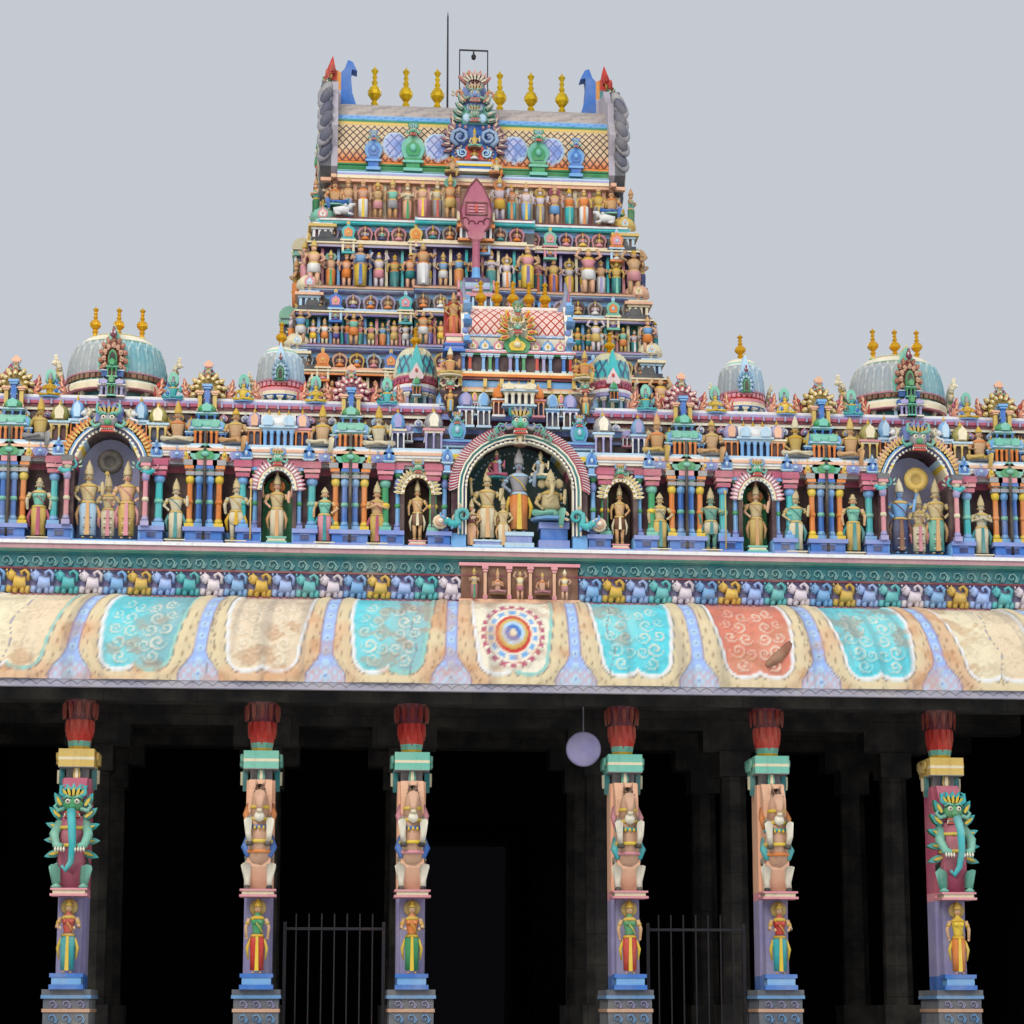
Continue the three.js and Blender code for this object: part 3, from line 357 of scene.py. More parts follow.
class Nodes:
    """Short calls for building one node material."""

    def __init__(self, name):
        self.material = bpy.data.materials.new(name)
        self.material.use_nodes = True
        self.tree = self.material.node_tree
        self.shader = self.tree.nodes["Principled BSDF"]
        self.place = self.add("ShaderNodeTexCoord").outputs["Object"]

    def add(self, kind, inputs=None, **settings):
        node = self.tree.nodes.new(kind)
        for key, value in settings.items():
            setattr(node, key, value)
        for key, value in (inputs or {}).items():
            if isinstance(value, bpy.types.NodeSocket):
                self.tree.links.new(value, node.inputs[key])
            else:
                node.inputs[key].default_value = value
        return node

    def math(self, operation, a, b=0.0, clamp=False):
        return self.add("ShaderNodeMath", {0: a, 1: b}, operation=operation, use_clamp=clamp).outputs[0]

    def noise(self, scale, detail=4.0, stretch=None):
        place = self.place
        if stretch:
            place = self.add("ShaderNodeMapping", {"Vector": place, "Scale": stretch}).outputs[0]
        node = self.add("ShaderNodeTexNoise", {
            "Vector": place, "Scale": scale, "Detail": detail, "Roughness": 0.6,
        })
        return node.outputs["Fac"]

    def ramp(self, value, low, high):
        node = self.add("ShaderNodeMapRange", {
            "Value": value, "From Min": low, "From Max": high, "To Min": 0.0, "To Max": 1.0,
        }, clamp=True)
        return node.outputs[0]

    def mix(self, amount, a, b, blend="MIX"):
        node = self.add("ShaderNodeMix", data_type="RGBA", blend_type=blend)
        for index, value in ((0, amount), (6, a), (7, b)):
            if isinstance(value, bpy.types.NodeSocket):
                self.tree.links.new(value, node.inputs[index])
            elif index:
                node.inputs[index].default_value = (*value, 1.0)
            else:
                node.inputs[index].default_value = value
        return node.outputs[2]

    def finish(self, colour, roughness, bump=None, bump_distance=0.01, bump_strength=0.5, metallic=0.0):
        links = self.tree.links
        links.new(colour, self.shader.inputs["Base Color"])
        if isinstance(roughness, bpy.types.NodeSocket):
            links.new(roughness, self.shader.inputs["Roughness"])
        else:
            self.shader.inputs["Roughness"].default_value = roughness
        if not self.shader.inputs["Metallic"].is_linked:
            self.shader.inputs["Metallic"].default_value = metallic
        if bump is not None:
            node = self.add("ShaderNodeBump", {
                "Height": bump, "Distance": bump_distance, "Strength": bump_strength,
            })
            links.new(node.outputs[0], self.shader.inputs["Normal"])
        return self.material


def weathered(nodes, colour, grime, grime_colour="brown", fade=0.35):
    """Faded patches, dark runs down the faces and dust on what faces up."""
    patch = nodes.ramp(nodes.noise(1.7, 5.0), 0.42, 0.72)
    pale = nodes.mix(0.6, colour, tuple(COLOURS["cream"]))
    colour = nodes.mix(nodes.math("MULTIPLY", patch, fade), colour, pale)
    runs = nodes.ramp(nodes.noise(3.2, 6.0, stretch=(2.4, 2.4, 0.22)), 0.52, 0.78)
    fine = nodes.ramp(nodes.noise(17.0, 3.0), 0.35, 0.75)
    amount = nodes.math("MULTIPLY", nodes.math("MULTIPLY", runs, fine), grime)
    colour = nodes.mix(amount, colour, tuple(COLOURS[grime_colour] * 0.45))
    normal = nodes.add("ShaderNodeNewGeometry").outputs["Normal"]
    up = nodes.add("ShaderNodeSeparateXYZ", {0: normal}).outputs[2]
    dust = nodes.math("MULTIPLY", nodes.ramp(up, 0.45, 0.95), nodes.ramp(nodes.noise(5.0, 4.0), 0.3, 0.7))
    return nodes.mix(nodes.math("MULTIPLY", dust, 0.45), colour, tuple(hue(grey=0.55)))


HALL_INSIDE = {"half_x": 10.77, "rear": 10.03}
DOORWAY = {"half_x": 2.3, "rear": 10.55}
PASSAGE_HALF = 1.33
# How strongly the painted interior shade is laid on, and its near-black colour.
INTERIOR_SHADE_SHARE = 0.99
INTERIOR_SHADE = (0.004, 0.004, 0.004)


def painted_interior_shade(nodes, colour):
    """Painted shade: near-black on every face inside the hall and the passage behind it, below the middle of
    the roof slab.
    """
    x, y, z = nodes.add("ShaderNodeSeparateXYZ", {0: nodes.place}).outputs
    aside = nodes.math("ABSOLUTE", x)
    slab_low, slab_high = (corner[2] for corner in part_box("roof_slab"))
    under_roof = nodes.math("LESS_THAN", z, float(0.3 * slab_low + 0.7 * slab_high))
    nodes.shader.inputs["Specular IOR Level"].default_value = 0.0

    def inside(room):
        """1 where a point lies between the room's side walls and in front of its rear."""
        across = nodes.math("LESS_THAN", aside, room["half_x"])
        return nodes.math("MULTIPLY", across, nodes.math("LESS_THAN", y, room["rear"] + Y_SHIFT))

    hall, doorway = inside(HALL_INSIDE), inside(DOORWAY)
    passage = nodes.math("MAXIMUM", doorway, nodes.math("LESS_THAN", aside, PASSAGE_HALF))
    shaded_part = nodes.math("MULTIPLY", nodes.math("MAXIMUM", hall, passage), under_roof)
    return nodes.mix(nodes.math("MULTIPLY", shaded_part, INTERIOR_SHADE_SHARE), colour, INTERIOR_SHADE)


def old_paint(name, grime=0.5, roughness=0.6, fade=0.3, bump_distance=0.012):
    """Oil paint on lime plaster, its colour held by the mesh."""
    nodes = Nodes(name)
    colour = nodes.add("ShaderNodeAttribute", attribute_name="Paint").outputs["Color"]
    tint = nodes.ramp(nodes.noise(9.0, 5.0), 0.25, 0.8)
    colour = nodes.mix(nodes.math("MULTIPLY", tint, 0.25), colour,
                       nodes.mix(0.5, colour, (0.02, 0.015, 0.02)))
    colour = weathered(nodes, colour, grime, fade=fade)
    grain = nodes.noise(42.0, 6.0)
    rough = nodes.math("ADD", nodes.math("MULTIPLY", grain, 0.25), roughness - 0.12)
    return nodes.finish(colour, rough, grain, bump_distance, 0.45)


def granite(name, base, dark, scale=1.0, grime=0.6, interior_shade=False):
    nodes = Nodes(name)
    speck = nodes.ramp(nodes.noise(60.0 * scale, 2.0), 0.45, 0.62)
    cloud = nodes.ramp(nodes.noise(0.9 * scale, 5.0), 0.3, 0.7)
    colour = nodes.mix(speck, tuple(base), tuple(dark))
    colour = nodes.mix(nodes.math("MULTIPLY", cloud, 0.5), colour, tuple(np.array(base) * 0.55))
    colour = weathered(nodes, colour, grime, "dark", fade=0.12)
    courses = nodes.add("ShaderNodeTexBrick", {
        "Vector": nodes.add("ShaderNodeMapping", {
            "Vector": nodes.place, "Rotation": (math.pi / 2, 0, 0),
        }).outputs[0],
        "Scale": 1.0, "Mortar Size": 0.012, "Mortar Smooth": 0.3,
        "Brick Width": 1.7, "Row Height": 0.62,
        "Color1": (1, 1, 1, 1), "Color2": (0.86, 0.86, 0.86, 1), "Mortar": (0.35, 0.33, 0.32, 1),
    })
    colour = nodes.mix(0.75, colour, courses.outputs["Color"], "MULTIPLY")
    # Painted shade inside the hall and the passage.
    if interior_shade:
        colour = painted_interior_shade(nodes, colour)
    height = nodes.math("SUBTRACT", nodes.noise(26.0, 6.0),
                        nodes.math("MULTIPLY", courses.outputs["Fac"], 0.9))
    return nodes.finish(colour, 0.78, height, 0.02, 0.5)


def interior_shaded_plaster(name, base):
    nodes = Nodes(name)
    cloud = nodes.ramp(nodes.noise(1.3, 6.0), 0.3, 0.75)
    colour = nodes.mix(cloud, base, tuple(np.array(base) * 0.72))
    # Painted shade inside the hall and the passage.
    colour = painted_interior_shade(nodes, weathered(nodes, colour, 0.7, fade=0.3))
    return nodes.finish(colour, 0.8, nodes.noise(38.0, 6.0), 0.012, 0.5)


def tone_colour(tone):
    """A named colour, or one given with how light it is, as in (name, 0.5)."""
    return COLOURS[tone] if isinstance(tone, str) else COLOURS[tone[0]] * tone[1]


def banded(name, stops, gilt_above=None):
    """Plaster painted in level bands: stops are (z where a colour starts, colour)."""
    nodes = Nodes(name)
    z = nodes.add("ShaderNodeSeparateXYZ", {0: nodes.place}).outputs[2]
    low, high = stops[0][0], stops[-1][0] + 0.01
    ramp = nodes.add("ShaderNodeValToRGB", {"Fac": nodes.ramp(z, low, high)})
    ramp.color_ramp.interpolation = "CONSTANT"
    points = ramp.color_ramp.elements
    points[0].position = 0.0
    points[0].color = (*tone_colour(stops[0][1]), 1)
    points[1].position = min(1.0, (stops[1][0] - low) / (high - low))
    points[1].color = (*tone_colour(stops[1][1]), 1)
    for level, colour in stops[2:]:
        point = points.new((level - low) / (high - low))
        point.color = (*tone_colour(colour), 1)
    colour = weathered(nodes, ramp.outputs["Color"], 0.5, fade=0.25)
    grain = nodes.noise(38.0, 6.0)
    rough = 0.72
    if gilt_above:
        gilt = nodes.ramp(z, gilt_above - 0.001, gilt_above + 0.001)
        colour = nodes.mix(gilt, colour, linear("d9a31c"))
        rough = nodes.math("SUBTRACT", 0.72, nodes.math("MULTIPLY", gilt, 0.4))
        nodes.tree.links.new(nodes.math("MULTIPLY", gilt, 0.6), nodes.shader.inputs["Metallic"])
    nodes.finish(colour, rough, grain, 0.012, 0.5)
    return nodes.material


def gilding(name):
    nodes = Nodes(name)
    cloud = nodes.ramp(nodes.noise(6.0, 4.0), 0.35, 0.7)
    colour = nodes.mix(cloud, linear("e8c31c"), linear("b8920f"))
    spots = nodes.ramp(nodes.noise(22.0, 5.0), 0.58, 0.75)
    colour = nodes.mix(nodes.math("MULTIPLY", spots, 0.4), colour, linear("5a4420"))
    rough = nodes.math("ADD", nodes.math("MULTIPLY", cloud, 0.18), 0.26)
    return nodes.finish(colour, rough, nodes.noise(30.0, 3.0), 0.004, 0.3, metallic=0.55)


def ironwork(name):
    nodes = Nodes(name)
    rust = nodes.ramp(nodes.noise(14.0, 6.0), 0.55, 0.72)
    colour = nodes.mix(nodes.math("MULTIPLY", rust, 0.6), linear("26262b"), linear("5b3524"))
    rough = nodes.math("ADD", nodes.math("MULTIPLY", rust, 0.3), 0.45)
    return nodes.finish(colour, rough, nodes.noise(60.0, 4.0), 0.003, 0.4, metallic=0.4)


SCALLOP = {"width": 0.24, "height": 0.07, "foot": 7.35}


def lip_paint():
    """Grey scallops along the edge of the cornice."""
    nodes = Nodes("cornice_lip_paint")
    x, y, z = nodes.add("ShaderNodeSeparateXYZ", {0: nodes.place}).outputs
    run = nodes.math("MULTIPLY", nodes.math("ADD", x, y), math.pi / SCALLOP["width"])
    wave = nodes.math("ABSOLUTE", nodes.math("SINE", run))
    edge = nodes.math("ADD", nodes.math("MULTIPLY", wave, SCALLOP["height"]), SCALLOP["foot"])
    scallop = nodes.ramp(nodes.math("ABSOLUTE", nodes.math("SUBTRACT", z, edge)), 0.006, 0.014)
    colour = nodes.mix(scallop, tuple(COLOURS["slate"]), tuple(hue(lilac=0.3, grey=0.7)))
    return nodes.finish(weathered(nodes, colour, 0.6), 0.8, nodes.noise(38.0, 6.0), 0.012, 0.5)


PAINT = old_paint("old_paint")
GILDING = gilding("gilding")
IRON = ironwork("ironwork")
# The walls and the roof slab get painted shade inside the hall and the passage.
GRANITE = granite("granite", linear("8a847b"), linear("5c5751"), interior_shade=True)
# Near-black granite for the inner pillars and the front beam: painted shade of the dark hall.
SHADE_DARK_GRANITE = granite("shade_dark_granite", linear("2a2725"), linear("1c1a19"), 1.0, 0.8)
FLOOR_STONE = granite("floor_stone", linear("77716b"), linear("56514c"), 0.8, 0.7)
INTERIOR_SHADED_LIME = interior_shaded_plaster("interior_shaded_lime_plaster", linear("b8b0a2"))


def give(material, *nodes):
    """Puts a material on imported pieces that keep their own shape."""
    for node in nodes:
        slots = bpy.data.objects[node].material_slots
        for material_slot in slots:
            material_slot.material = material


# People in plaster. A figure is one unit from its feet to the top of its head and faces -Y

WAIST = 0.56
CROWNED = 1.19  # height with a tall crown
SMALL_CROWNED = 1.15
POSES = {
    "pray": (((0.145, -0.02, 0.665), (0.028, -0.11, 0.705)), None),
    "rest": (((0.165, 0.0, 0.66), (0.15, -0.03, 0.51)), None),
    "bless": (((0.17, -0.03, 0.665), (0.17, -0.1, 0.81)), ((0.175, 0.0, 0.66), (0.105, -0.06, 0.57))),
    "hip": (((0.19, 0.0, 0.665), (0.11, -0.05, 0.575)), ((0.165, 0.0, 0.66), (0.16, -0.03, 0.51))),
    "carry": (((0.2, -0.01, 0.87), (0.13, -0.02, 1.03)), None),
    "staff": (((0.17, -0.03, 0.67), (0.2, -0.11, 0.76)), ((0.165, 0.0, 0.66), (0.15, -0.03, 0.51))),
    "offer": (((0.16, -0.05, 0.655), (0.1, -0.17, 0.64)), None),
}


def arm(side, joints, sides, thick=1.0):
    elbow, hand = joints
    shoulder = (0.118, 0.0, 0.785)
    path = [shoulder, elbow, hand]
    path = [(side * x, y, z) for x, y, z in path]
    radii = [0.033 * thick, 0.026 * thick, 0.019 * thick]
    armlet = [tuple(np.array(path[0]) * (1 - t) + np.array(path[1]) * t) for t in (0.42, 0.62)]
    return [
        limb(path, radii, sides, "skin"),
        ball(path[2], (0.023, 0.023, 0.028), max(5, sides - 1), 3, "skin"),
        limb(armlet, [0.036 * thick, 0.035 * thick], sides, "gold"),
    ]


def head(sides, crown, detail):
    z = 0.925
    parts = [ball((0, -0.004, z), (0.046, 0.052, 0.064), sides, 6 if detail else 5, "skin")]
    hat = {
        "tall": [(0.05, 0.955), (0.06, 0.968), (0.052, 0.985), (0.056, 1.02), (0.042, 1.06), (0.044, 1.08),
                 (0.026, 1.12), (0.014, 1.16), (0.002, 1.19)],
        "low": [(0.05, 0.955), (0.058, 0.968), (0.052, 0.99), (0.035, 1.03), (0.02, 1.06), (0.002, 1.085)],
        "bun": [(0.05, 0.95), (0.054, 0.975), (0.03, 1.0), (0.032, 1.02), (0.02, 1.045), (0.002, 1.055)],
    }[crown]
    parts.append(turned(hat, sides, "crown"))
    parts += [ball((side * 0.053, 0.0, 0.905), (0.012, 0.014, 0.02), 5, 3, "gold") for side in (-1, 1)]
    if detail:
        parts.append(limb([(0, -0.05, 0.945), (0, -0.062, 0.915)], [0.006, 0.011], 4, "skin"))
        parts.append(box(-0.017, 0.017, -0.057, -0.05, 0.888, 0.895, "lips"))
        for side in (-1, 1):
            parts.append(ball((side * 0.02, -0.047, 0.935), (0.011, 0.008, 0.006), 6, 3, "white"))
            parts.append(ball((side * 0.02, -0.053, 0.935), (0.004, 0.004, 0.005), 5, 3, "dark"))
            parts.append(box(side * 0.02 - 0.014, side * 0.02 + 0.014, -0.053, -0.046, 0.95, 0.954, "dark"))
    return parts


def upper_body(sides, pose, crown, detail, woman=False, belly=0.0):
    wide = 0.9 if woman else 1.0
    torso = upright([
        (0.545, 0.078 * wide, 0.056), (0.6, (0.074 + belly) * wide, 0.056 + belly),
        (0.66, (0.084 + belly * 0.6) * wide, 0.06 + belly * 0.8), (0.74, 0.106 * wide, 0.066),
        (0.795, 0.118 * wide, 0.058), (0.83, 0.062, 0.045), (0.845, 0.034, 0.034), (0.885, 0.032, 0.032),
    ], sides + 2, "chest")
    right, left = POSES[pose]
    parts = [torso, *arm(1, right, sides), *arm(-1, left or right, sides)]
    parts.append(upright([(0.775, 0.122 * wide, 0.066), (0.8, 0.112 * wide, 0.062), (0.825, 0.07, 0.052)],
                         sides + 2, "gold"))
    if woman:
        parts += [ball((s * 0.045, -0.055, 0.735), (0.036, 0.036, 0.036), sides, 4, "chest") for s in (-1, 1)]
    return parts + head(sides, crown, detail)


def standing(sides, pose, crown, dress, detail=False, woman=False, four_arms=False, halo=False):
    parts = upper_body(sides, pose, crown, detail, woman)
    hem = 0.05 if dress == "long" else 0.3
    parts.append(upright([
        (hem, 0.098, 0.06), (0.3, 0.1, 0.062), (0.44, 0.112, 0.075), (0.52, 0.1, 0.068), (0.565, 0.08, 0.058),
    ], sides + 2, "cloth"))
    parts.append(plate([(-0.028, hem - 0.01), (0.028, hem - 0.01), (0.018, 0.53), (-0.018, 0.53)],
                       -0.09, -0.05, "sash"))
    parts.append(upright([(0.525, 0.106, 0.076), (0.56, 0.09, 0.068)], sides + 2, "gold"))
    for side in (-1, 1):
        if dress != "long":
            parts.append(limb([(side * 0.055, 0, 0.34), (side * 0.052, -0.005, 0.2), (side * 0.05, 0, 0.03)],
                              [0.045, 0.036, 0.026], sides, "skin"))
            parts.append(limb([(side * 0.05, 0, 0.06), (side * 0.05, 0, 0.035)], [0.034, 0.034], sides,
                              "gold"))
        parts.append(ball((side * 0.05, -0.03, 0.014), (0.026, 0.05, 0.018), 6, 3, "skin"))
    if detail:
        parts.append(limb([(-0.1, 0.0, 0.5), (-0.14, -0.01, 0.36), (-0.12, 0, 0.2)], [0.02, 0.026, 0.012], 5,
                          "sash"))
        parts.append(limb([(0.1, 0.0, 0.5), (0.14, -0.01, 0.36), (0.12, 0, 0.2)], [0.02, 0.026, 0.012], 5,
                          "sash"))
        parts.append(limb([(-0.09, -0.05, 0.8), (0.02, -0.078, 0.68), (0.08, -0.06, 0.58)], [0.007] * 3, 4,
                          "sash"))
    if pose == "staff":
        parts.append(limb([(0.2, -0.12, 0.02), (0.2, -0.12, 1.05)], [0.012, 0.009], 5, "gold"))
        parts.append(ball((0.2, -0.12, 1.07), (0.03, 0.02, 0.045), 5, 3, "gold"))
    if pose == "carry":
        parts.append(block(0, 0, 0.34, 0.18, 1.04, 1.12, "sash"))
    if four_arms:
        rear = ((0.2, 0.02, 0.74), (0.215, -0.01, 0.93))
        parts += [*arm(1, rear, sides, 0.85), *arm(-1, rear, sides, 0.85)]
        parts += [ball((s * 0.215, -0.01, 0.985), (0.035, 0.014, 0.04), 6, 3, "gold") for s in (-1, 1)]
    if halo:
        disc = turned([(0.11, 0.0), (0.125, 0.008), (0.11, 0.02)], 12, "halo")
        parts.append(disc.rotated(rotation_x(math.pi / 2)).moved(0, 0.06, 0.945))
    return merged(parts)


def seated(sides, pose, crown, detail=False, belly=0.0, one_leg=False):
    drop = WAIST - 0.12
    parts = [part.moved(0, 0, -drop) for part in upper_body(sides, pose, crown, detail, False, belly)]
    parts.append(upright([(0.0, 0.16, 0.13), (0.06, 0.15, 0.12), (0.13, 0.085, 0.065)], sides + 2, "cloth"))
    for side in (-1, 1):
        if one_leg and side > 0:
            parts.append(limb([(0.06, -0.03, 0.08), (0.13, -0.17, 0.09), (0.11, -0.17, -0.14)],
                              [0.052, 0.045, 0.028], sides, "cloth"))
            parts.append(ball((0.11, -0.2, -0.15), (0.026, 0.05, 0.018), 6, 3, "skin"))
            continue
        parts.append(limb([(side * 0.06, -0.02, 0.07), (side * 0.2, -0.12, 0.06),
                           (-side * 0.02, -0.19, 0.04)],
                          [0.055, 0.048, 0.026], sides, "cloth"))
    parts.append(upright([(-0.03, 0.24, 0.2), (0.0, 0.25, 0.21), (0.012, 0.22, 0.18)], 10, "base",
                         smooth=False))
    return merged(parts)


def elephant_head():
    """Head with trunk and wide ears, for the pot-bellied figure."""
    return merged(
        ball((0, -0.01, 0.93), (0.075, 0.075, 0.075), 8, 6, "skin"),
        limb([(0, -0.07, 0.92), (0.01, -0.11, 0.85), (0.0, -0.12, 0.75), (-0.05, -0.13, 0.69),
              (-0.075, -0.14, 0.71)],
             [0.036, 0.03, 0.024, 0.018, 0.012], 7, "skin"),
        *[ball((s * 0.105, 0.015, 0.93), (0.06, 0.014, 0.07), 8, 4, "skin") for s in (-1, 1)],
        *[ball((s * 0.035, -0.072, 0.95), (0.011, 0.008, 0.009), 6, 3, "dark") for s in (-1, 1)],
        turned([(0.06, 0.975), (0.066, 0.99), (0.05, 1.02), (0.04, 1.06), (0.018, 1.1), (0.002, 1.13)], 8,
               "crown"),
    )


def figure_paint(draw, skin=None):
    return {
        "skin": skin or draw.choice(SKINS), "chest": draw.choice(SKINS), "cloth": draw.choice(CLOTHS),
        "sash": draw.choice(CLOTHS), "gold": draw.choice(["gold", "straw", "orange"]),
        "crown": draw.choice(["gold", "straw", "tan", "gold", "cream"]),
        "halo": draw.choice(["straw", "orange"]),
        "lips": "red", "white": "ivory", "dark": "dark", "base": "brown",
    }


def small_person(pose, dress, crown, sides, halo=False):
    """Standing figure for the rows on the tower, with few faces and broad shapes."""
    waist = [(0.52, 0.11, 0.085), (0.57, 0.088, 0.068)]
    if dress == "long":
        skirt = upright([(0.0, 0.1, 0.075), (0.28, 0.104, 0.08), *waist], sides, ["cloth", "cloth", "gold"])
    else:
        skirt = upright([(0.3, 0.118, 0.085), *waist], sides, ["cloth", "gold"])
    chest = upright([(0.565, 0.08, 0.062), (0.66, 0.088, 0.066), (0.76, 0.122, 0.072), (0.83, 0.07, 0.05)],
                    sides, ["chest", "chest", "gold"])
    hat = {
        "tall": [(0.052, 0.955), (0.066, 0.985), (0.042, 1.07), (0.004, 1.17)],
        "low": [(0.054, 0.955), (0.062, 0.98), (0.004, 1.075)],
        "bun": [(0.054, 0.95), (0.034, 1.0), (0.03, 1.035)],
    }[crown]
    right, left = POSES[pose]
    parts = [skirt, chest, ball((0, -0.004, 0.915), (0.052, 0.056, 0.066), sides, 4, "skin"),
             turned(hat, sides, "crown")]
    for side, (elbow, hand) in ((1, right), (-1, left or right)):
        path = [(0.118, 0.0, 0.79), elbow, hand]
        parts.append(limb([(side * x, y, z) for x, y, z in path], [0.036, 0.03, 0.027], 4, "skin"))
        if dress != "long":
            parts.append(limb([(side * 0.058, -0.01, 0.34), (side * 0.06, -0.03, 0.0)], [0.048, 0.034], 4,
                              "skin"))
    if dress == "long" and sides > 5:
        parts.append(plate([(-0.03, 0.01), (0.03, 0.01), (0.02, 0.52), (-0.02, 0.52)], -0.098, -0.06, "sash"))
    if halo:
        ring = [(0.13 * math.cos(a), 0.96 + 0.14 * math.sin(a)) for a in np.linspace(0, TAU, 9)[:-1]]
        parts.append(plate(ring, 0.03, 0.05, "halo"))
    return merged(parts).scaled(1.25, 1.25, 1)


def small_sitter(sides=5, crown=True):
    """Seated figure for the bands of little arches, about 0.62 high and 0.42 wide."""
    parts = [
        upright([(0.0, 0.2, 0.13), (0.07, 0.19, 0.13), (0.15, 0.09, 0.07)], sides + 1, "cloth"),
        upright([(0.12, 0.08, 0.06), (0.28, 0.115, 0.065), (0.35, 0.05, 0.045)], sides, ["chest", "gold"]),
        ball((0, -0.01, 0.43), (0.055, 0.055, 0.065), sides, 3, "skin"),
    ]
    for side in (-1, 1):
        parts.append(limb([(side * 0.11, 0, 0.31), (side * 0.17, -0.03, 0.2), (side * 0.1, -0.12, 0.17)],
                          [0.034, 0.03, 0.026], 3, "skin"))
    if crown:
        parts.append(turned([(0.055, 0.46), (0.06, 0.49), (0.004, 0.62)], sides, "crown"))
    return merged(parts)


SMALL_PEOPLE = [small_person(pose, dress, crown, 6, halo) for pose, dress, crown, halo in (
    ("pray", "long", "tall", False), ("rest", "short", "low", False), ("bless", "long", "tall", True),
    ("hip", "short", "tall", False), ("staff", "long", "bun", False), ("offer", "long", "low", False),
    ("carry", "short", "bun", False), ("bless", "short", "tall", False), ("hip", "long", "low", False),
    ("rest", "long", "tall", True),
)]
BIG_PEOPLE = [small_person(pose, dress, crown, 8, halo) for pose, dress, crown, halo in (
    ("pray", "long", "tall", False), ("rest", "long", "low", False), ("bless", "long", "tall", True),
    ("hip", "short", "tall", False), ("offer", "long", "low", False), ("carry", "long", "bun", False),
    ("rest", "long", "tall", False), ("bless", "short", "tall", True),
)]
FAR_PEOPLE = [small_person(pose, dress, crown, 5) for pose, dress, crown in (
    ("pray", "long", "tall"), ("rest", "short", "low"), ("bless", "long", "tall"), ("hip", "long", "low"),
)]
SITTER = small_sitter()
SITTER_FAR = small_sitter(4, False)
SEATED_SMALL = [seated(6, "bless", "low"), seated(6, "pray", "tall"), seated(6, "hip", "low", belly=0.015)]
SEATED_LARGE = [seated(8, "bless", "tall", True), seated(8, "hip", "tall", True, 0.01, one_leg=True),
                seated(8, "offer", "low", True, one_leg=True)]


# Small shrines and arched gables

def kuta():
    """Square domed shrine, one unit wide at its eave and about 1.9 high."""
    parts = [
        block(0, 0, 0.86, 0.86, 0.0, 0.1, "wall"),
        block(0, 0, 0.6, 0.6, 0.1, 0.62, "dark"),
        block(0, 0, 0.8, 0.8, 0.62, 0.7, "trim"),
        block(0, 0, 1.0, 1.0, 0.7, 0.8, "wall"),
        block(0, 0, 0.72, 0.72, 0.8, 0.9, "trim"),
    ]
    for x in (-0.3, -0.1, 0.1, 0.3):
        parts.append(block(x, -0.32, 0.09, 0.09, 0.1, 0.62, "trim"))
    for y in (-0.1, 0.1, 0.3):
        parts += [block(s * 0.32, y, 0.09, 0.09, 0.1, 0.62, "trim") for s in (-1, 1)]
    parts.append(turned([
        (0.36, 0.9), (0.3, 1.0), (0.46, 1.08), (0.47, 1.2), (0.42, 1.36), (0.28, 1.5), (0.12, 1.56),
    ], 8, "dome"))
    parts.append(turned([
        (0.1, 1.56), (0.06, 1.6), (0.1, 1.66), (0.04, 1.74), (0.06, 1.8), (0.0, 1.92),
    ], 6, "gold"))
    parts.append(kudu().scaled(0.36).moved(0, -0.45, 1.06))
    return merged(parts)


def kudu():
    """Horseshoe gable, one unit wide and about 1.25 high, with its face at y = 0."""
    outer = [(0.36, 0.0)] + arch_points(0.5, 0.42, 0.48, -35, 70, 6) + [(0.0, 1.25)]
    outer = outer + [(-x, z) for x, z in outer[-2::-1]]
    inner = [(x * 0.62, 0.1 + z * 0.62) for x, z in outer]
    return merged(
        plate(outer, 0.0, 0.14, "rim"),
        plate(inner, -0.03, 0.02, "trim"),
        ball((0, -0.04, 0.42), (0.15, 0.06, 0.17), 7, 4, "face"),
        ball((0, -0.02, 1.0), (0.09, 0.06, 0.12), 5, 3, "face"),
    )


def small_finial(height, radius, sides=6):
    return turned([
        (radius * 0.7, 0.0), (radius * 0.4, height * 0.12), (radius, height * 0.3),
        (radius * 0.85, height * 0.45),
        (radius * 0.25, height * 0.55), (radius * 0.45, height * 0.7), (0.0, height),
    ], sides, "gold")


def shala():
    """Oblong barrel-roofed shrine, 1.8 units long and about 1.6 high."""
    parts = [
        box(-0.8, 0.8, -0.4, 0.4, 0.0, 0.1, "wall"),
        box(-0.66, 0.66, -0.26, 0.26, 0.1, 0.6, "dark"),
        box(-0.84, 0.84, -0.42, 0.42, 0.6, 0.76, "wall"),
        box(-0.7, 0.7, -0.32, 0.32, 0.76, 0.88, "trim"),
    ]
    parts += [block(x, -0.3, 0.1, 0.1, 0.1, 0.6, "trim") for x in (-0.66, -0.4, -0.14, 0.14, 0.4, 0.66)]
    section = [(0.4, 0.88)] + arch_points(0.42, 0.98, 0.42, 0, 180, 8) + [(-0.4, 0.88)]
    roof = plate(section, -0.72, 0.72, "dome", "dome").spun(math.pi / 2)
    ends = [plate(section, s * 0.78 - 0.05, s * 0.78 + 0.05, "rim").scaled(1.12, 1, 1.1).moved(0, 0, -0.08)
            for s in (-1, 1)]
    parts += [roof, *[end.spun(math.pi / 2) for end in ends]]
    parts += [small_finial(0.3, 0.07).moved(x, 0, 1.38) for x in (-0.4, 0, 0.4)]
    parts.append(kudu().scaled(0.5).moved(0, -0.46, 0.8))
    return merged(parts)


def shrine_paint(draw, wall=None, **changes):
    wall = wall or draw.choice(SHRINES)
    return {
        "wall": wall, "dome": draw.choice([wall, wall, "cream", "sea"]),
        "trim": draw.choice(["white", "cream", "ice", "pink"]),
        # The dark tone is a deep colour at 0.6: painted shade on the recessed cores of the small shrines.
        "dark": COLOURS[draw.choice(["navy", "maroon", "wine"])] * 0.6, "gold": "gold",
        "rim": draw.choice(["cream", "pink", wall]),
        "face": draw.choice(["white", "peach", "straw"]), **changes,
    }


KUTA = kuta()
KUDU = kudu()
SHALA_SMALL = shala()


# Places along the four sides of the tower, and the rows of figures and little shrines on them

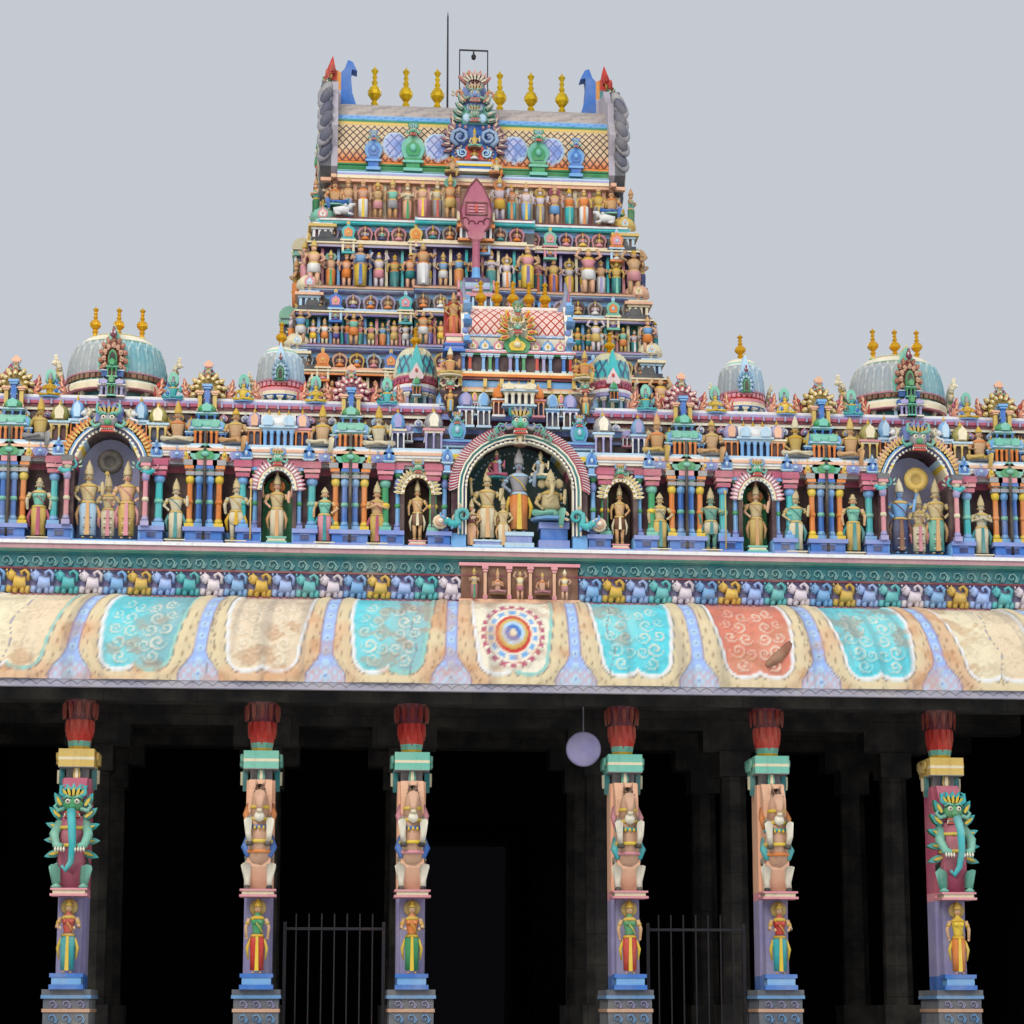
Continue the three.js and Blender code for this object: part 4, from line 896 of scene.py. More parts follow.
BAY_STEP = 0.22
BAY_HALF = {"x": 1.5, "y": 1.0}
crown_low, crown_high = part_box("ridge_finials")
TOWER_Y = (crown_low[1] + crown_high[1]) / 2 - Y_SHIFT
STOREY_STYLES = [  # cloths, lines, arches, wall, foot of the figures, ledge
    ("orange yellow red white teal", "pink cream", "pink lilac cream", "maroon", "brown", "cream"),
    ("turquoise yellow pink blue orange", "sky white", "sky pink straw", "violet", "maroon", "pink"),
    ("sea white orange violet yellow", "peach orange", "cream sea pink", "navy", "teal", "ice"),
    ("red white orange straw pink teal", "orange peach", "peach ice straw", "maroon", "brown", "rose"),
    ("orange yellow straw teal white violet", "violet ice", "slate grey lilac", "teal", "maroon", "lilac"),
    ("white yellow teal orange pink navy", "lilac cream", "grey pink lilac", "violet", "brown", "peach"),
]
PANJARA_WALLS = ["turquoise", "straw", "sky", "sea", "orange", "blue"]


class Storey:
    """Levels and half sizes of one storey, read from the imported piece."""

    def __init__(self, index):
        low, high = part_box(f"tower_storey_{index}")
        self.index = index
        self.z0, self.z1 = low[2], high[2]
        self.half_x = (high[0] - low[0]) / 2 - BAY_STEP
        rear = high[1] - Y_SHIFT
        self.half_y = rear - TOWER_Y - BAY_STEP
        self.ledge = self.z0 + 0.17
        self.band = self.z1 - 0.5
        cloths, lines, arches, self.wall, self.foot, self.edge = STOREY_STYLES[index - 1]
        self.cloths, self.lines, self.arches = cloths.split(), lines.split(), arches.split()


STOREYS = [Storey(i) for i in range(1, 7)]


def side_frames(half_x, half_y):
    """For each face: its turn, its half length, its distance from the axis and its bay's half width."""
    return [
        (0.0, half_x, half_y, BAY_HALF["x"]),
        (math.pi, half_x, half_y, BAY_HALF["x"]),
        (math.pi / 2, half_y, half_x, BAY_HALF["y"]),
        (-math.pi / 2, half_y, half_x, BAY_HALF["y"]),
    ]


def on_face(turn, along, out, z):
    """A place on a tower face: along to the right as seen from outside, out from the axis."""
    x, y = along, -out
    c, s = math.cos(turn), math.sin(turn)
    return (x * c - y * s, TOWER_Y + x * s + y * c, z)


def row_places(half, bay, pitch, margin=0.22):
    """Evenly spaced places along a face, with whether each lies on the middle bay."""
    count = max(3, int(round(2 * (half - margin) / pitch)))
    places = [-half + margin + 2 * (half - margin) * i / (count - 1) for i in range(count)]
    return [(place, abs(place) < bay - 0.1) for place in places]


def row_paint(draw, cloths):
    tone = draw.choice(["tan", "skin", "peach", "cream", "blush", "straw", "skin", "peach"])
    skin = COLOURS[tone] * draw.uniform(0.8, 1.05)
    bright = COLOURS[draw.choice(["pink", "sky", "sea", "straw", "white", "orange"])]
    chest = draw.choice([skin, skin, bright])
    return {
        "skin": skin, "chest": chest, "cloth": draw.choice(cloths), "sash": draw.choice(CLOTHS),
        "gold": draw.choice(["gold", "straw", "orange", "tan"]),
        "crown": draw.choice(["gold", "tan", "straw", "skin"]),
        "halo": draw.choice(["straw", "orange", "sea", "rose"]), "base": "brown", "dark": "dark",
    }


PLINTH_BLOCK = block(0, 0, 1, 1, 0, 1)
PILASTER = merged(
    block(0, 0, 0.8, 0.8, 0, 1), block(0, 0, 1.2, 1.2, 0, 0.12, "cap"),
    block(0, 0, 1.3, 1.3, 0.82, 0.88, "cap"), block(0, 0, 1.7, 1.5, 0.9, 1.0, "cap"),
)


def storey_figures(storey):
    """A packed row of standing figures along every face, with larger ones at the turns of the plan."""
    batch = Batch(f"storey_{storey.index}_figures")
    draw = batch.draw
    room = storey.band - 0.13 - storey.ledge
    for turn, half, out, bay in side_frames(storey.half_x, storey.half_y):
        seen = turn == 0.0 and storey.index >= 3
        people = SMALL_PEOPLE if seen else FAR_PEOPLE
        pitch = room * (0.36 if seen else 0.46)
        for along, on_bay in row_places(half, bay, pitch):
            reach = out - 0.15 + (BAY_STEP if on_bay else 0.0)
            tall = room * draw.uniform(0.86, 1.0) / SMALL_CROWNED
            batch.add(draw.choice(people), on_face(turn, along, reach, storey.ledge + 0.02), turn,
                      (tall * 1.08, tall, tall), row_paint(draw, storey.cloths), 0.12)
            if seen:
                batch.add(PLINTH_BLOCK, on_face(turn, along + pitch / 2, reach - 0.13, storey.ledge), turn,
                          (0.07, 0.1, room), draw.choice(["sky", "lilac", "turquoise", "pink", "cream"]))
        for along in (-half + 0.2, -(half + bay) / 2, -bay + 0.2, bay - 0.2, (half + bay) / 2, half - 0.2):
            reach = out + 0.02 + (BAY_STEP if abs(along) < bay else 0.0)
            tall = room * draw.uniform(1.1, 1.22) / SMALL_CROWNED
            batch.add(draw.choice(people), on_face(turn, along, reach, storey.ledge + 0.02), turn,
                      (tall * 1.15, tall * 1.1, tall), row_paint(draw, storey.cloths), 0.1)
        for middle, length, reach in ((0, 2 * half, 0.0), (0, 2 * bay, BAY_STEP)):
            batch.add(PLINTH_BLOCK, on_face(turn, middle, out + reach - 0.16, storey.ledge), turn,
                      (length, 0.3, 0.035), storey.foot)
    return batch


def arch_plate(scale=1.0):
    """Face of a little horseshoe arch, one unit wide and about 1.1 high."""
    return [(x * scale, z * scale) for x, z in
            [(0.4, 0.0)] + arch_points(0.5, 0.5, 0.46, -30, 75, 4) + [(0.0, 1.14)]
            + arch_points(0.5, 0.5, 0.46, 105, 210, 4) + [(-0.4, 0.0)]]


def flat_face(outline, y, tone="base"):
    return shape([(x, y, z) for x, z in outline], [tuple(range(len(outline)))], tone)


def little_arch(sitter):
    return merged(
        plate(arch_plate(), 0.0, 0.16, "rim"),
        # Dark sheet in the arch behind the seated figure: painted shade of the niche.
        flat_face([(x, z + 0.06) for x, z in arch_plate(0.78)], -0.012, "dark"),
        sitter.scaled(1.35, 1.1, 1.45).moved(0, -0.1, 0.06),
    )


def panjara(sitter):
    """Narrow shrine with a seated figure under an arched gable, one unit wide and about 2.4 high."""
    return merged(
        block(0, 0, 1.0, 0.5, 0.0, 0.16, "wall"), block(0, 0.08, 0.72, 0.3, 0.16, 0.98, "dark"),
        block(-0.4, -0.04, 0.17, 0.36, 0.16, 0.98, "trim"), block(0.4, -0.04, 0.17, 0.36, 0.16, 0.98, "trim"),
        sitter.scaled(1.5, 1.2, 1.4).moved(0, -0.16, 0.17),
        block(0, 0, 1.2, 0.62, 0.98, 1.1, "trim"), block(0, 0, 1.04, 0.5, 1.1, 1.26, "wall"),
        plate([(x, z + 1.22) for x, z in arch_plate()], -0.28, -0.04, "wall"),
        plate([(x, z + 1.32) for x, z in arch_plate(0.66)], -0.34, -0.26, "rim"),
        ball((0, -0.34, 1.62), (0.14, 0.07, 0.17), 6, 3, "face"),
        plate([(-0.1, 2.22), (0.1, 2.22), (0.14, 2.4), (0.0, 2.62), (-0.14, 2.4)], -0.26, -0.12, "face"),
    )


ARCH_SEAT = little_arch(SITTER)
ARCH_SEAT_FAR = little_arch(SITTER_FAR)
PANJARA = panjara(SITTER)
PANJARA_FAR = panjara(SITTER_FAR)


def storey_shrines(storey):
    """The band over a row of figures: arches with seated figures, narrow shrines, domed corner shrines."""
    batch = Batch(f"storey_{storey.index}_shrines")
    draw = batch.draw
    for turn, half, out, bay in side_frames(storey.half_x, storey.half_y):
        seen = turn == 0.0 and storey.index >= 3
        arch, shrine = (ARCH_SEAT, PANJARA) if seen else (ARCH_SEAT_FAR, PANJARA_FAR)
        places = row_places(half - 0.62, bay, 0.4 if seen else 0.62, 0.0)
        for i, (along, on_bay) in enumerate(places):
            reach = out - 0.24 + (BAY_STEP if on_bay else 0.0)
            paint = row_paint(draw, storey.cloths)
            if i % 4 == 1:
                wall = PANJARA_WALLS[(i // 4 + storey.index) % 6]
                batch.add(shrine, on_face(turn, along, reach + 0.12, storey.band - 0.3), turn, 0.33,
                          {**paint, "wall": wall, "trim": draw.choice(["cream", "ice", "pink"]),
                           "dark": "maroon", "rim": draw.choice(["pink", "cream", "orange"]),
                           "face": draw.choice(["straw", "peach", "ice"])})
            else:
                # The arch's dark sheet takes half-strength maroon as painted shade.
                batch.add(arch, on_face(turn, along, reach, storey.band + 0.1), turn, (0.39, 0.44, 0.4),
                          {**paint, "rim": draw.choice(storey.arches), "dark": hue(maroon=0.5)})
        batch.add(SHALA_SMALL, on_face(turn, 0, out + BAY_STEP - 0.1, storey.band), turn, 0.56,
                  shrine_paint(draw))
        for level, height, grow, colour in (
            (storey.band - 0.13, 0.04, 0.0, storey.lines[0]), (storey.band - 0.05, 0.04, 0.03, "cream"),
            (storey.band + 0.02, 0.08, -0.13, storey.lines[1]), (storey.z0 + 0.01, 0.05, 0.09, "navy"),
            (storey.z0 + 0.11, 0.05, 0.1, COLOURS[storey.edge] * 0.8),
        ):
            for length, reach in ((2 * half, 0.0), (2 * bay, BAY_STEP)):
                batch.add(PLINTH_BLOCK, on_face(turn, 0, out - 0.12 + grow + reach, level), turn,
                          (length - 0.14 + 2 * grow, 0.12, height), colour, recess_shade=0.2)
    for sx in (-1, 1):
        for sy in (-1, 1):
            place = (sx * (storey.half_x - 0.4), TOWER_Y + sy * (storey.half_y - 0.4), storey.band - 0.1)
            batch.add(KUTA, place, 0.0, 0.7, shrine_paint(draw,
                                                          ["straw", "cream", "peach"][storey.index % 3]))
    return batch


# Painted relief: sheets of points over a packed surface, each point with a height and a colour

def smooth(value, low, high):
    t = np.clip((value - low) / (high - low), 0.0, 1.0)
    return t * t * (3 - 2 * t)


def laid(base, colour, amount):
    """A colour painted over a field of colours by an amount from 0 to 1."""
    colour = COLOURS[colour] if isinstance(colour, str) else colour
    return base + (colour - base) * amount[..., None]


def ripple(x, y, seed):
    """Smooth blotches from 0 to 1."""
    draw = np.random.default_rng(seed)
    total = np.zeros(np.broadcast(x, y).shape)
    for octave in range(4):
        for _ in range(3):
            angle, phase = draw.uniform(0, TAU, 2)
            pace = draw.uniform(0.7, 1.4) * 2.0 ** octave
            total += np.sin(pace * (x * math.cos(angle) + y * math.sin(angle)) + phase) * 0.62 ** octave
    return 0.5 + 0.5 * np.tanh(total / 2.4)


def curl(x, y, cx, cy, radius, hand):
    """How strongly a point lies on a spiral leaf: 1 on its ridge, 0 off it."""
    dx, dy = (x - cx) * hand, y - cy
    r = np.sqrt(dx * dx + dy * dy) / radius
    wave = np.cos(np.arctan2(dy, dx) + TAU * 1.4 * r)
    return smooth(wave, 0.05, 0.75) * smooth(-r, -1.05, -0.9)


def section_points(node, across, levels, side="front"):
    """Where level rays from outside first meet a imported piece."""
    piece = bpy.data.objects[node]
    inverse = piece.matrix_world.inverted()
    starts = {"front": ((across, -60.0), (0, 1, 0)), "left": ((-60.0, across), (1, 0, 0))}
    (x, y), direction = starts[side]
    found = []
    for level in levels:
        hit, place, _, _ = piece.ray_cast(inverse @ Vector((x, y, level)),
                                          inverse.to_3x3() @ Vector(direction))
        assert hit, (node, level)
        world = piece.matrix_world @ place
        found.append(world[1] if side == "front" else world[0])
    return np.array(found)


PANEL_PITCH = 2.12
PANEL_FOOT = 0.15
PANEL_SHIFT = 0.17


def panel_paint(x, h, top, seed):
    """Colours and heights of the painted cornice. x runs along it, h up its curve from the lip."""
    number = np.round(x / PANEL_PITCH)
    dx = x - number * PANEL_PITCH
    kinds = np.abs(number).astype(int) % 5
    share = h / top
    up = (h - PANEL_FOOT) / (top - PANEL_FOOT)
    half = 0.6 + 0.13 * smooth(up, 0.0, 0.8)
    turn_z = PANEL_FOOT + 0.32
    corner = np.hypot(np.clip(np.abs(dx) - half + 0.32, 0, None), np.clip(turn_z - h, 0, None)) - 0.32
    cusp = 0.11 * np.exp(-np.abs(dx) / 0.06) - (h - PANEL_FOOT)
    edge = np.maximum(np.where(h < turn_z, corner, np.abs(dx) - half), 0.7 * cusp)
    blotch = ripple(x * 1.3, h * 1.6, seed)
    fine = ripple(x * 6.5, h * 8.0, seed + 1)
    colour = np.broadcast_to(hue(straw=0.42, ivory=0.5), (*x.shape, 3)).copy()
    colour = laid(colour, hue(peach=0.6, tan=0.3), 0.7 * smooth(blotch, 0.5, 0.85))
    height = 0.03 * smooth(-np.abs(edge - 0.12), -0.13, -0.02)
    strip_half = 0.1 + 0.24 * smooth(0.34 - share, 0.0, 0.3) ** 1.5
    strip = PANEL_PITCH / 2 - np.abs(dx)
    on_strip = smooth(strip_half - strip, 0.0, 0.02)
    warm = 0.5 * smooth(0.2 - share, 0.0, 0.1)
    strip_paint = laid(COLOURS["periwinkle"], "peach", warm)
    colour = colour * (1 - on_strip[..., None]) + strip_paint * on_strip[..., None]
    dot = np.hypot(strip, ((h % 0.24) - 0.12) * 0.8)
    colour = laid(colour, "ice", on_strip * smooth(0.066 - dot, 0.0, 0.02))
    colour = laid(colour, "peri", on_strip * smooth(0.03 - dot, 0.0, 0.015))
    flare = smooth(0.22 - share, 0.0, 0.05) * smooth(np.cos(strip * 40) * np.cos(h * 34), 0.1, 0.6)
    colour = laid(colour, "ice", on_strip * flare)
    colour = laid(colour, "violet", smooth(0.02 - np.abs(strip - strip_half), 0, 0.012) * 0.6)
    height += on_strip * (0.014 * smooth(0.08 - dot, 0, 0.03) - 0.012)
    field = smooth(-edge, 0.0, 0.02)
    left = dx < 0
    aged = 0.6 * smooth(blotch, 0.35, 0.8)
    bright = {
        0: (COLOURS["ivory"], COLOURS["ivory"]),
        1: (COLOURS["cyan"], hue(cyan=0.55, grey=0.4)),
        2: (hue(cream=0.8, pink=0.15), hue(cream=0.7, pink=0.2)),
        3: (hue(cyan=0.95), hue(cyan=0.5, grey=0.45)),
        4: (COLOURS["cream"], hue(cream=0.7, peach=0.25)),
    }
    main = np.zeros((*x.shape, 3))
    for kind, (west, east) in bright.items():
        spread = west + (east - west) * smooth(dx, -0.2, 0.2)[..., None]
        main += np.where((kinds == kind)[..., None], spread, 0)
    main = np.where((number > 0)[..., None] & (kinds == 2)[..., None], hue(red=0.6, peach=0.4), main)
    main = np.where((number > 0)[..., None] & (kinds % 2 == 1)[..., None], COLOURS["cyan"], main)
    main = laid(main, "cream", aged * np.where((kinds == 4) | (number == -2), 0.5, 0.22))
    leaf = np.zeros(x.shape)
    mirrored_x = np.abs(dx)
    for cx, cy, radius, turn in (
        (0.26, 0.28, 0.13, 1), (0.12, 0.5, 0.12, -1), (0.34, 0.56, 0.15, -1), (0.16, 0.8, 0.13, 1),
        (0.42, 0.84, 0.12, 1),
        (0.24, 1.06, 0.14, -1), (0.46, 1.14, 0.1, -1), (0.12, 1.3, 0.12, 1), (0.36, 1.4, 0.12, -1),
    ):
        leaf = np.maximum(leaf, curl(mirrored_x, h - PANEL_FOOT, cx, cy, radius, turn))
    leaf *= smooth(-edge, 0.03, 0.07) * np.where(kinds == 4, 0.35, 1.0) * (kinds != 0)
    main = laid(main, "ivory", leaf * (0.85 - 0.5 * fine))
    main = laid(main, main * 0.6, smooth(0.1 - leaf, 0.0, 0.1) * field * (fine > 0.6) * 0.35)
    colour = colour * (1 - field[..., None]) + main * field[..., None]
    height += field * (0.03 * leaf - 0.016)
    rim = smooth(0.035 - np.abs(edge + 0.035), 0.0, 0.015)
    mint = hue(sea=0.5, turquoise=0.3, white=0.2)
    rim_colour = np.where(left[..., None] | (kinds == 2)[..., None] | (number > 0)[..., None],
                          COLOURS["white"], mint)
    colour = colour * (1 - rim[..., None]) + rim_colour * rim[..., None]
    height += 0.028 * rim
    for offset, name, width in ((0.012, "slate", 0.014), (0.17, "brown", 0.01), (0.25, "slate", 0.008)):
        line = smooth(width - np.abs(edge - offset), 0, 0.01) * (1 - on_strip)
        colour = laid(colour, name, line * 0.7)
    colour, height = medallion(x, h, colour, height)
    colour = laid(colour, "slate", smooth(0.014 - np.abs(h - 0.03), 0.0, 0.008) * 0.6)
    stain = smooth(fine * blotch, 0.42, 0.62) * 0.4
    colour = laid(colour, hue(orange=0.35, tan=0.4), stain)
    runs = smooth(ripple(x * 9.0, h * 0.8, seed + 2), 0.72, 0.95)
    colour = laid(colour, "slate", 0.3 * runs)
    crack = smooth(0.012 - np.abs(((x + 0.05 * np.sin(7 * h)) % 3.41) - 1.7), 0.0, 0.01)
    colour = laid(colour, "dark", 0.6 * crack)
    return colour, height - 0.012 * crack


def medallion(x, h, colour, height):
    """Nested ovals with a rim of leaves on the middle panel."""
    oval = np.hypot(x / 0.6, (h - 0.98) / 0.74)
    for size, name in ((1.0, "ivory"), (0.94, "rose"), (0.8, "ivory"), (0.72, "sky"), (0.6, "ivory"),
                       (0.54, "red"), (0.44, "straw"), (0.34, "ice"), (0.24, "blue"), (0.12, "cream")):
        colour = laid(colour, name, smooth(size - oval, 0.0, 0.03))
    petals = smooth(np.cos(np.arctan2(h - 0.98, x) * 22), -0.1, 0.6)
    rim = smooth(0.07 - np.abs(oval - 0.87), 0.0, 0.02)
    colour = laid(colour, "ivory", petals * rim)
    spokes = smooth(np.cos(np.arctan2(h - 0.98, x) * 14), 0.0, 0.7)
    inner = spokes * smooth(0.07 - np.abs(oval - 0.66), 0.0, 0.02)
    colour = laid(colour, "ivory", inner)
    rise = 0.02 * smooth(1.0 - oval, 0.0, 0.1) + 0.03 * petals * rim + 0.04 * smooth(0.5 - oval, 0.0, 0.15)
    return colour, height + rise


def arc_heights(depths, levels):
    steps = np.hypot(np.diff(depths), np.diff(levels))
    return np.concatenate([[0], np.cumsum(steps)])


HALL_HALF = 11.25
HALL_REAR = 10.4
FRIEZE_FRONT = -0.415
ENTABLATURE_REACH = 0.45
CORNICE_LIP = 7.445
CORNICE_PAINT = old_paint("cornice_paint", grime=0.35, roughness=0.65, fade=0.12, bump_distance=0.008)


def cornice_sheet(name, node, side, columns, rows):
    """Painted relief over the curved cornice on one side of the hall."""
    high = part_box(node)[1]
    levels = CORNICE_LIP + (high[2] - 0.01 - CORNICE_LIP) * np.linspace(0, 1, rows) ** 0.8
    if side == "front":
        reach = Y_SHIFT - section_points(node, 1.0, levels, "front") - ENTABLATURE_REACH
        start, stop = -HALL_HALF, HALL_HALF
    else:
        reach = -section_points("cornice_left", 0.0, levels, "left") - HALL_HALF
        start, stop = -ENTABLATURE_REACH, high[1] - Y_SHIFT
    heights = arc_heights(reach, levels)
    share, h = np.meshgrid(np.linspace(0, 1, columns), heights)
    along = start + (stop - start) * share
    offset = PANEL_SHIFT if side == "front" else 40 * PANEL_PITCH - (start + stop) / 2
    colour, rise = panel_paint(along + offset, h, heights[-1], 5)
    lift = rise + 0.022
    r = reach[:, None] + np.gradient(levels, heights)[:, None] * lift
    z = levels[:, None] - np.gradient(reach, heights)[:, None] * lift
    if side == "front":
        grid = np.stack([along * (1 + r / HALL_HALF), -ENTABLATURE_REACH - r, z], axis=-1)
        return sheet(name, grid, colour, CORNICE_PAINT)
    first = -ENTABLATURE_REACH - r
    x, y = HALL_HALF + r, first + (stop - first) * share
    if side == "right":
        return sheet(name, np.stack([x, y, z], axis=-1), colour, CORNICE_PAINT)
    return sheet(name, np.stack([-x, y, z], axis=-1)[:, ::-1], colour[:, ::-1], CORNICE_PAINT)


def lion(sides=6, near=True):
    """Walking lion in relief, facing -X, one unit long and high, with its back on y = 0."""
    parts = [limb([(0.33, -0.12, 0.42), (0.12, -0.15, 0.4), (-0.14, -0.17, 0.44)], [0.27, 0.25, 0.3], sides,
                  "coat"),
             ball((-0.24, -0.2, 0.7), (0.22, 0.17, 0.22), 6, 4, "coat"),
             ball((-0.36, -0.27, 0.72), (0.13, 0.12, 0.11), 5, 3, "coat")]
    for x, reach, lift in ((-0.3, -0.04, 0.02), (-0.06, -0.02, 0.0), (0.2, 0.02, 0.0), (0.4, 0.02, 0.0)):
        parts.append(limb([(x, -0.15, 0.26), (x + reach, -0.17, 0.12 + lift),
                           (x + reach - 0.03, -0.17, 0.0 + lift)],
                          [0.15, 0.12, 0.11], 4, "coat"))
    tail = [(0.42, -0.12, 0.5), (0.47, -0.14, 0.78), (0.3, -0.15, 0.94), (0.14, -0.16, 0.84),
            (0.2, -0.16, 0.72)]
    parts.append(limb(tail, [0.09, 0.09, 0.085, 0.07, 0.05], 4, "coat"))
    if near:
        parts += [ball((-0.34 + s * 0.09, -0.26, 0.9), (0.05, 0.04, 0.06), 4, 3, "coat") for s in (-1, 1)]
        parts += [block(-0.39 + s * 0.05, -0.39, 0.035, 0.03, 0.74, 0.775, "eye") for s in (-1, 1)]
        parts.append(block(-0.46, -0.36, 0.07, 0.04, 0.6, 0.62, "eye"))
    return merged(parts)


def scroll():
    """Curled leaf in relief, one unit square, with its back on y = 0."""
    points = []
    for i in range(8):
        angle = math.radians(-60 + 62 * i)
        radius = 0.4 * (1 - i / 9.5)
        points.append((radius * math.cos(angle), -0.07, 0.5 + radius * math.sin(angle)))
    parts = [limb(points, [0.075 - 0.005 * i for i in range(8)], 4, "leaf")]
    parts.append(limb([(0.5, -0.05, 0.5), (0.34, -0.07, 0.2), (0.2, -0.07, 0.16)], [0.05, 0.07, 0.05], 4,
                      "leaf"))
    return merged(parts)


LION = lion()
LION_FAR = lion(4, False)
SCROLL = scroll()
LION_COATS = ["periwinkle", "turquoise", "blush", "sky", "gold"]
LION_Z = (9.14, 9.6)
SCROLL_Z = (9.64, 9.9)
LION_PITCH = 0.44
SCROLL_PITCH = 0.27


def edge_runs(half_x, front_y, rear_y):
    """Outer runs of the hall: (turn, start point, direction, length) for the front and both sides."""
    return [
        (0.0, (-half_x, front_y), (1, 0), 2 * half_x),
        (math.pi / 2, (half_x, front_y), (0, 1), rear_y - front_y),
        (-math.pi / 2, (-half_x, rear_y), (0, -1), rear_y - front_y),
    ]


def along_run(run, distance):
    _, (x, y), (dx, dy), _ = run
    return x + dx * distance, y + dy * distance


def frieze_bands():
    """Rows of lions and of scrolls, with the mouldings between them."""
    lions = Batch("frieze_lions")
    scrolls = Batch("frieze_scrolls")
    for run in edge_runs(HALL_HALF, FRIEZE_FRONT, HALL_REAR):
        turn, _, _, length = run
        count = int(length / LION_PITCH)
        for i in range(count):
            x, y = along_run(run, (i + 0.5) * length / count)
            if turn == 0 and abs(x) < 1.12:
                continue
            coat = LION_COATS[i % len(LION_COATS)]
            lions.add(LION if turn == 0 else LION_FAR, (x, y, LION_Z[0] + 0.01), turn,
                      (LION_PITCH, 0.46, 0.46), {"coat": lighter(coat, 0.08), "eye": "dark"}, 0.08, 0.35)
        count = int(length / SCROLL_PITCH)
        for i in range(count):
            x, y = along_run(run, (i + 0.5) * length / count)
            scrolls.add(SCROLL, (x, y - 0.02, SCROLL_Z[0] - 0.01), turn, (SCROLL_PITCH, 0.4, 0.27),
                        {"leaf": hue(sea=0.5, ice=0.35)}, 0.1)
        middle = along_run(run, length / 2)
        for z0, z1, depth, colour in (
            (9.12, 9.15, 0.06, "pink"), (9.6, 9.64, 0.09, "maroon"), (9.9, 9.925, 0.06, "teal"),
            (9.925, 9.965, 0.13, hue(sea=0.6)), (10.06, 10.125, 0.23, "white"),
            (9.97, 10.06, 0.2, hue(pink=0.5, grey=0.4)),
        ):
            scrolls.add(PLINTH_BLOCK, (*middle, z0), turn, (length + 2 * depth, 2 * depth, z1 - z0),
                        colour)
    return lions, scrolls


def lighter(name, amount):
    return COLOURS[name] + (COLOURS["white"] - COLOURS[name]) * amount


def small_cow():
    """Resting cow facing -X, one unit long."""
    return merged(
        limb([(0.38, 0, 0.22), (0.0, 0, 0.27), (-0.25, 0, 0.25)], [0.15, 0.19, 0.17], 7, "coat"),
        limb([(-0.24, 0, 0.3), (-0.34, 0, 0.5), (-0.5, 0, 0.52)], [0.13, 0.1, 0.055], 6, "coat"),
        ball((-0.1, 0, 0.48), (0.1, 0.08, 0.07), 6, 3, "coat"),
        limb([(-0.2, -0.12, 0.1), (-0.42, -0.12, 0.05)], [0.06, 0.04], 5, "coat"),
        limb([(0.3, -0.13, 0.1), (0.1, -0.15, 0.05)], [0.08, 0.04], 5, "coat"),
        *[limb([(-0.36, s * 0.06, 0.58), (-0.36, s * 0.12, 0.7)], [0.03, 0.01], 4, "horn") for s in (-1, 1)],
    )


SMALL_COW = small_cow()


def middle_panel():
    """Brown relief panel with five small figures over the middle of the cornice."""
    batch = Batch("frieze_middle_panel")
    draw = batch.draw
    batch.add(box(-1.1, 1.1, -0.5, -0.4, 9.12, 9.84), paint="brown")
    batch.add(box(-1.14, 1.14, -0.56, -0.4, 9.8, 9.86), paint="pink")
    batch.add(box(-1.14, 1.14, -0.56, -0.4, 9.1, 9.17), paint="peach")
    for i, x in enumerate((-0.86, -0.42, 0.0, 0.42, 0.84)):
        person = SEATED_SMALL[i % 3] if i % 2 else SMALL_PEOPLE[(3 * i) % 9]
        tall = 0.66 if i % 2 else 0.5
        lift = 0.26 if i % 2 else 0.17
        batch.add(person, (x, -0.6, 9.0 + lift), 0, tall, {**figure_paint(draw), "skin": hue(peach=0.8),
                                                           "cloth": hue(pink=0.7)})
    for x in (-0.65, -0.2, 0.2, 0.65):
        batch.add(PILASTER, (x, -0.53, 9.17), 0, (0.07, 0.07, 0.63), pilaster_paint("peach", "pink"))
    for x, turn in ((-0.98, 0.2), (-1.28, math.pi)):
        batch.add(SMALL_COW, (x, -1.17, 7.95), turn, 0.34, {"coat": "slate", "horn": "ivory"})
    body = limb([(5.15, -1.02, 8.5), (4.95, -1.15, 8.25), (4.7, -1.26, 8.0), (4.5, -1.32, 7.86)],
                [0.03, 0.1, 0.11, 0.05], 7, "coat")
    batch.add(body, paint={"coat": hue(brown=1.5)})
    return batch


# Parapet: pilasters, niche arches with their figures, shrines, and the row of beasts above

def column():
    """Painted pilaster, one unit high and 0.13 of a unit wide."""
    return merged(
        block(0, 0, 0.15, 0.15, 0.0, 0.07, "cap"),
        turned([(0.06, 0.07), (0.066, 0.11), (0.05, 0.14)], 8, "cap"),
        turned([(0.048, 0.14), (0.045, 0.66)], 8, "shaft", smooth=False),
        turned([(0.056, 0.36), (0.062, 0.39), (0.056, 0.42)], 8, "ring"),
        turned([(0.05, 0.66), (0.07, 0.7), (0.074, 0.74), (0.05, 0.79), (0.04, 0.8)], 8, "cap"),
        turned([(0.04, 0.8), (0.082, 0.85), (0.085, 0.87)], 8, "ring"),
        block(0, 0, 0.18, 0.18, 0.87, 0.92, "shaft"), block(0, 0, 0.22, 0.2, 0.92, 1.0, "flower"),
    )


COLUMN = column()
COLUMN_PAINTS = [
    {"shaft": "turquoise", "cap": "sky", "ring": "sea", "flower": "rose"},
    {"shaft": "pink", "cap": "lilac", "ring": "cream", "flower": "slate"},
    {"shaft": "green", "cap": "sea", "ring": "yellow", "flower": "rose"},
    {"shaft": "orange", "cap": "yellow", "ring": "orange", "flower": "grey"},
    {"shaft": "blue", "cap": "sky", "ring": "sea", "flower": "pink"},
    {"shaft": "sky", "cap": "peri", "ring": "green", "flower": "rose"},
]
NARROW_X, MIDDLE_X, WIDE_X = 1.92, 4.55, 7.7
NICHES = [  # place, half width, spring and rise of the arch
    (0.0, 1.01, 11.3, 1.0), (NARROW_X, 0.25, 11.15, 0.33), (MIDDLE_X, 0.285, 11.18, 0.38),
    (WIDE_X, 0.6, 11.45, 0.8),
]
NICHE_FLOOR = 10.18
CLUSTERS = [3.19, 5.9, 9.5]
LOW_FIGURES = [2.68, 3.66, 5.3, 6.42, 8.93, 10.3]
PIER_FRONT = -0.36
SHAFT_FOOT = 10.43
FLOOR_Z = 10.12


def mirrored(values):
    return [-value for value in values] + list(values)


def pipe(x, y, z0, z1, radius=0.035):
    return turned([(radius, z0), (radius, z1)], 8, "pipe").moved(x, y, 0)


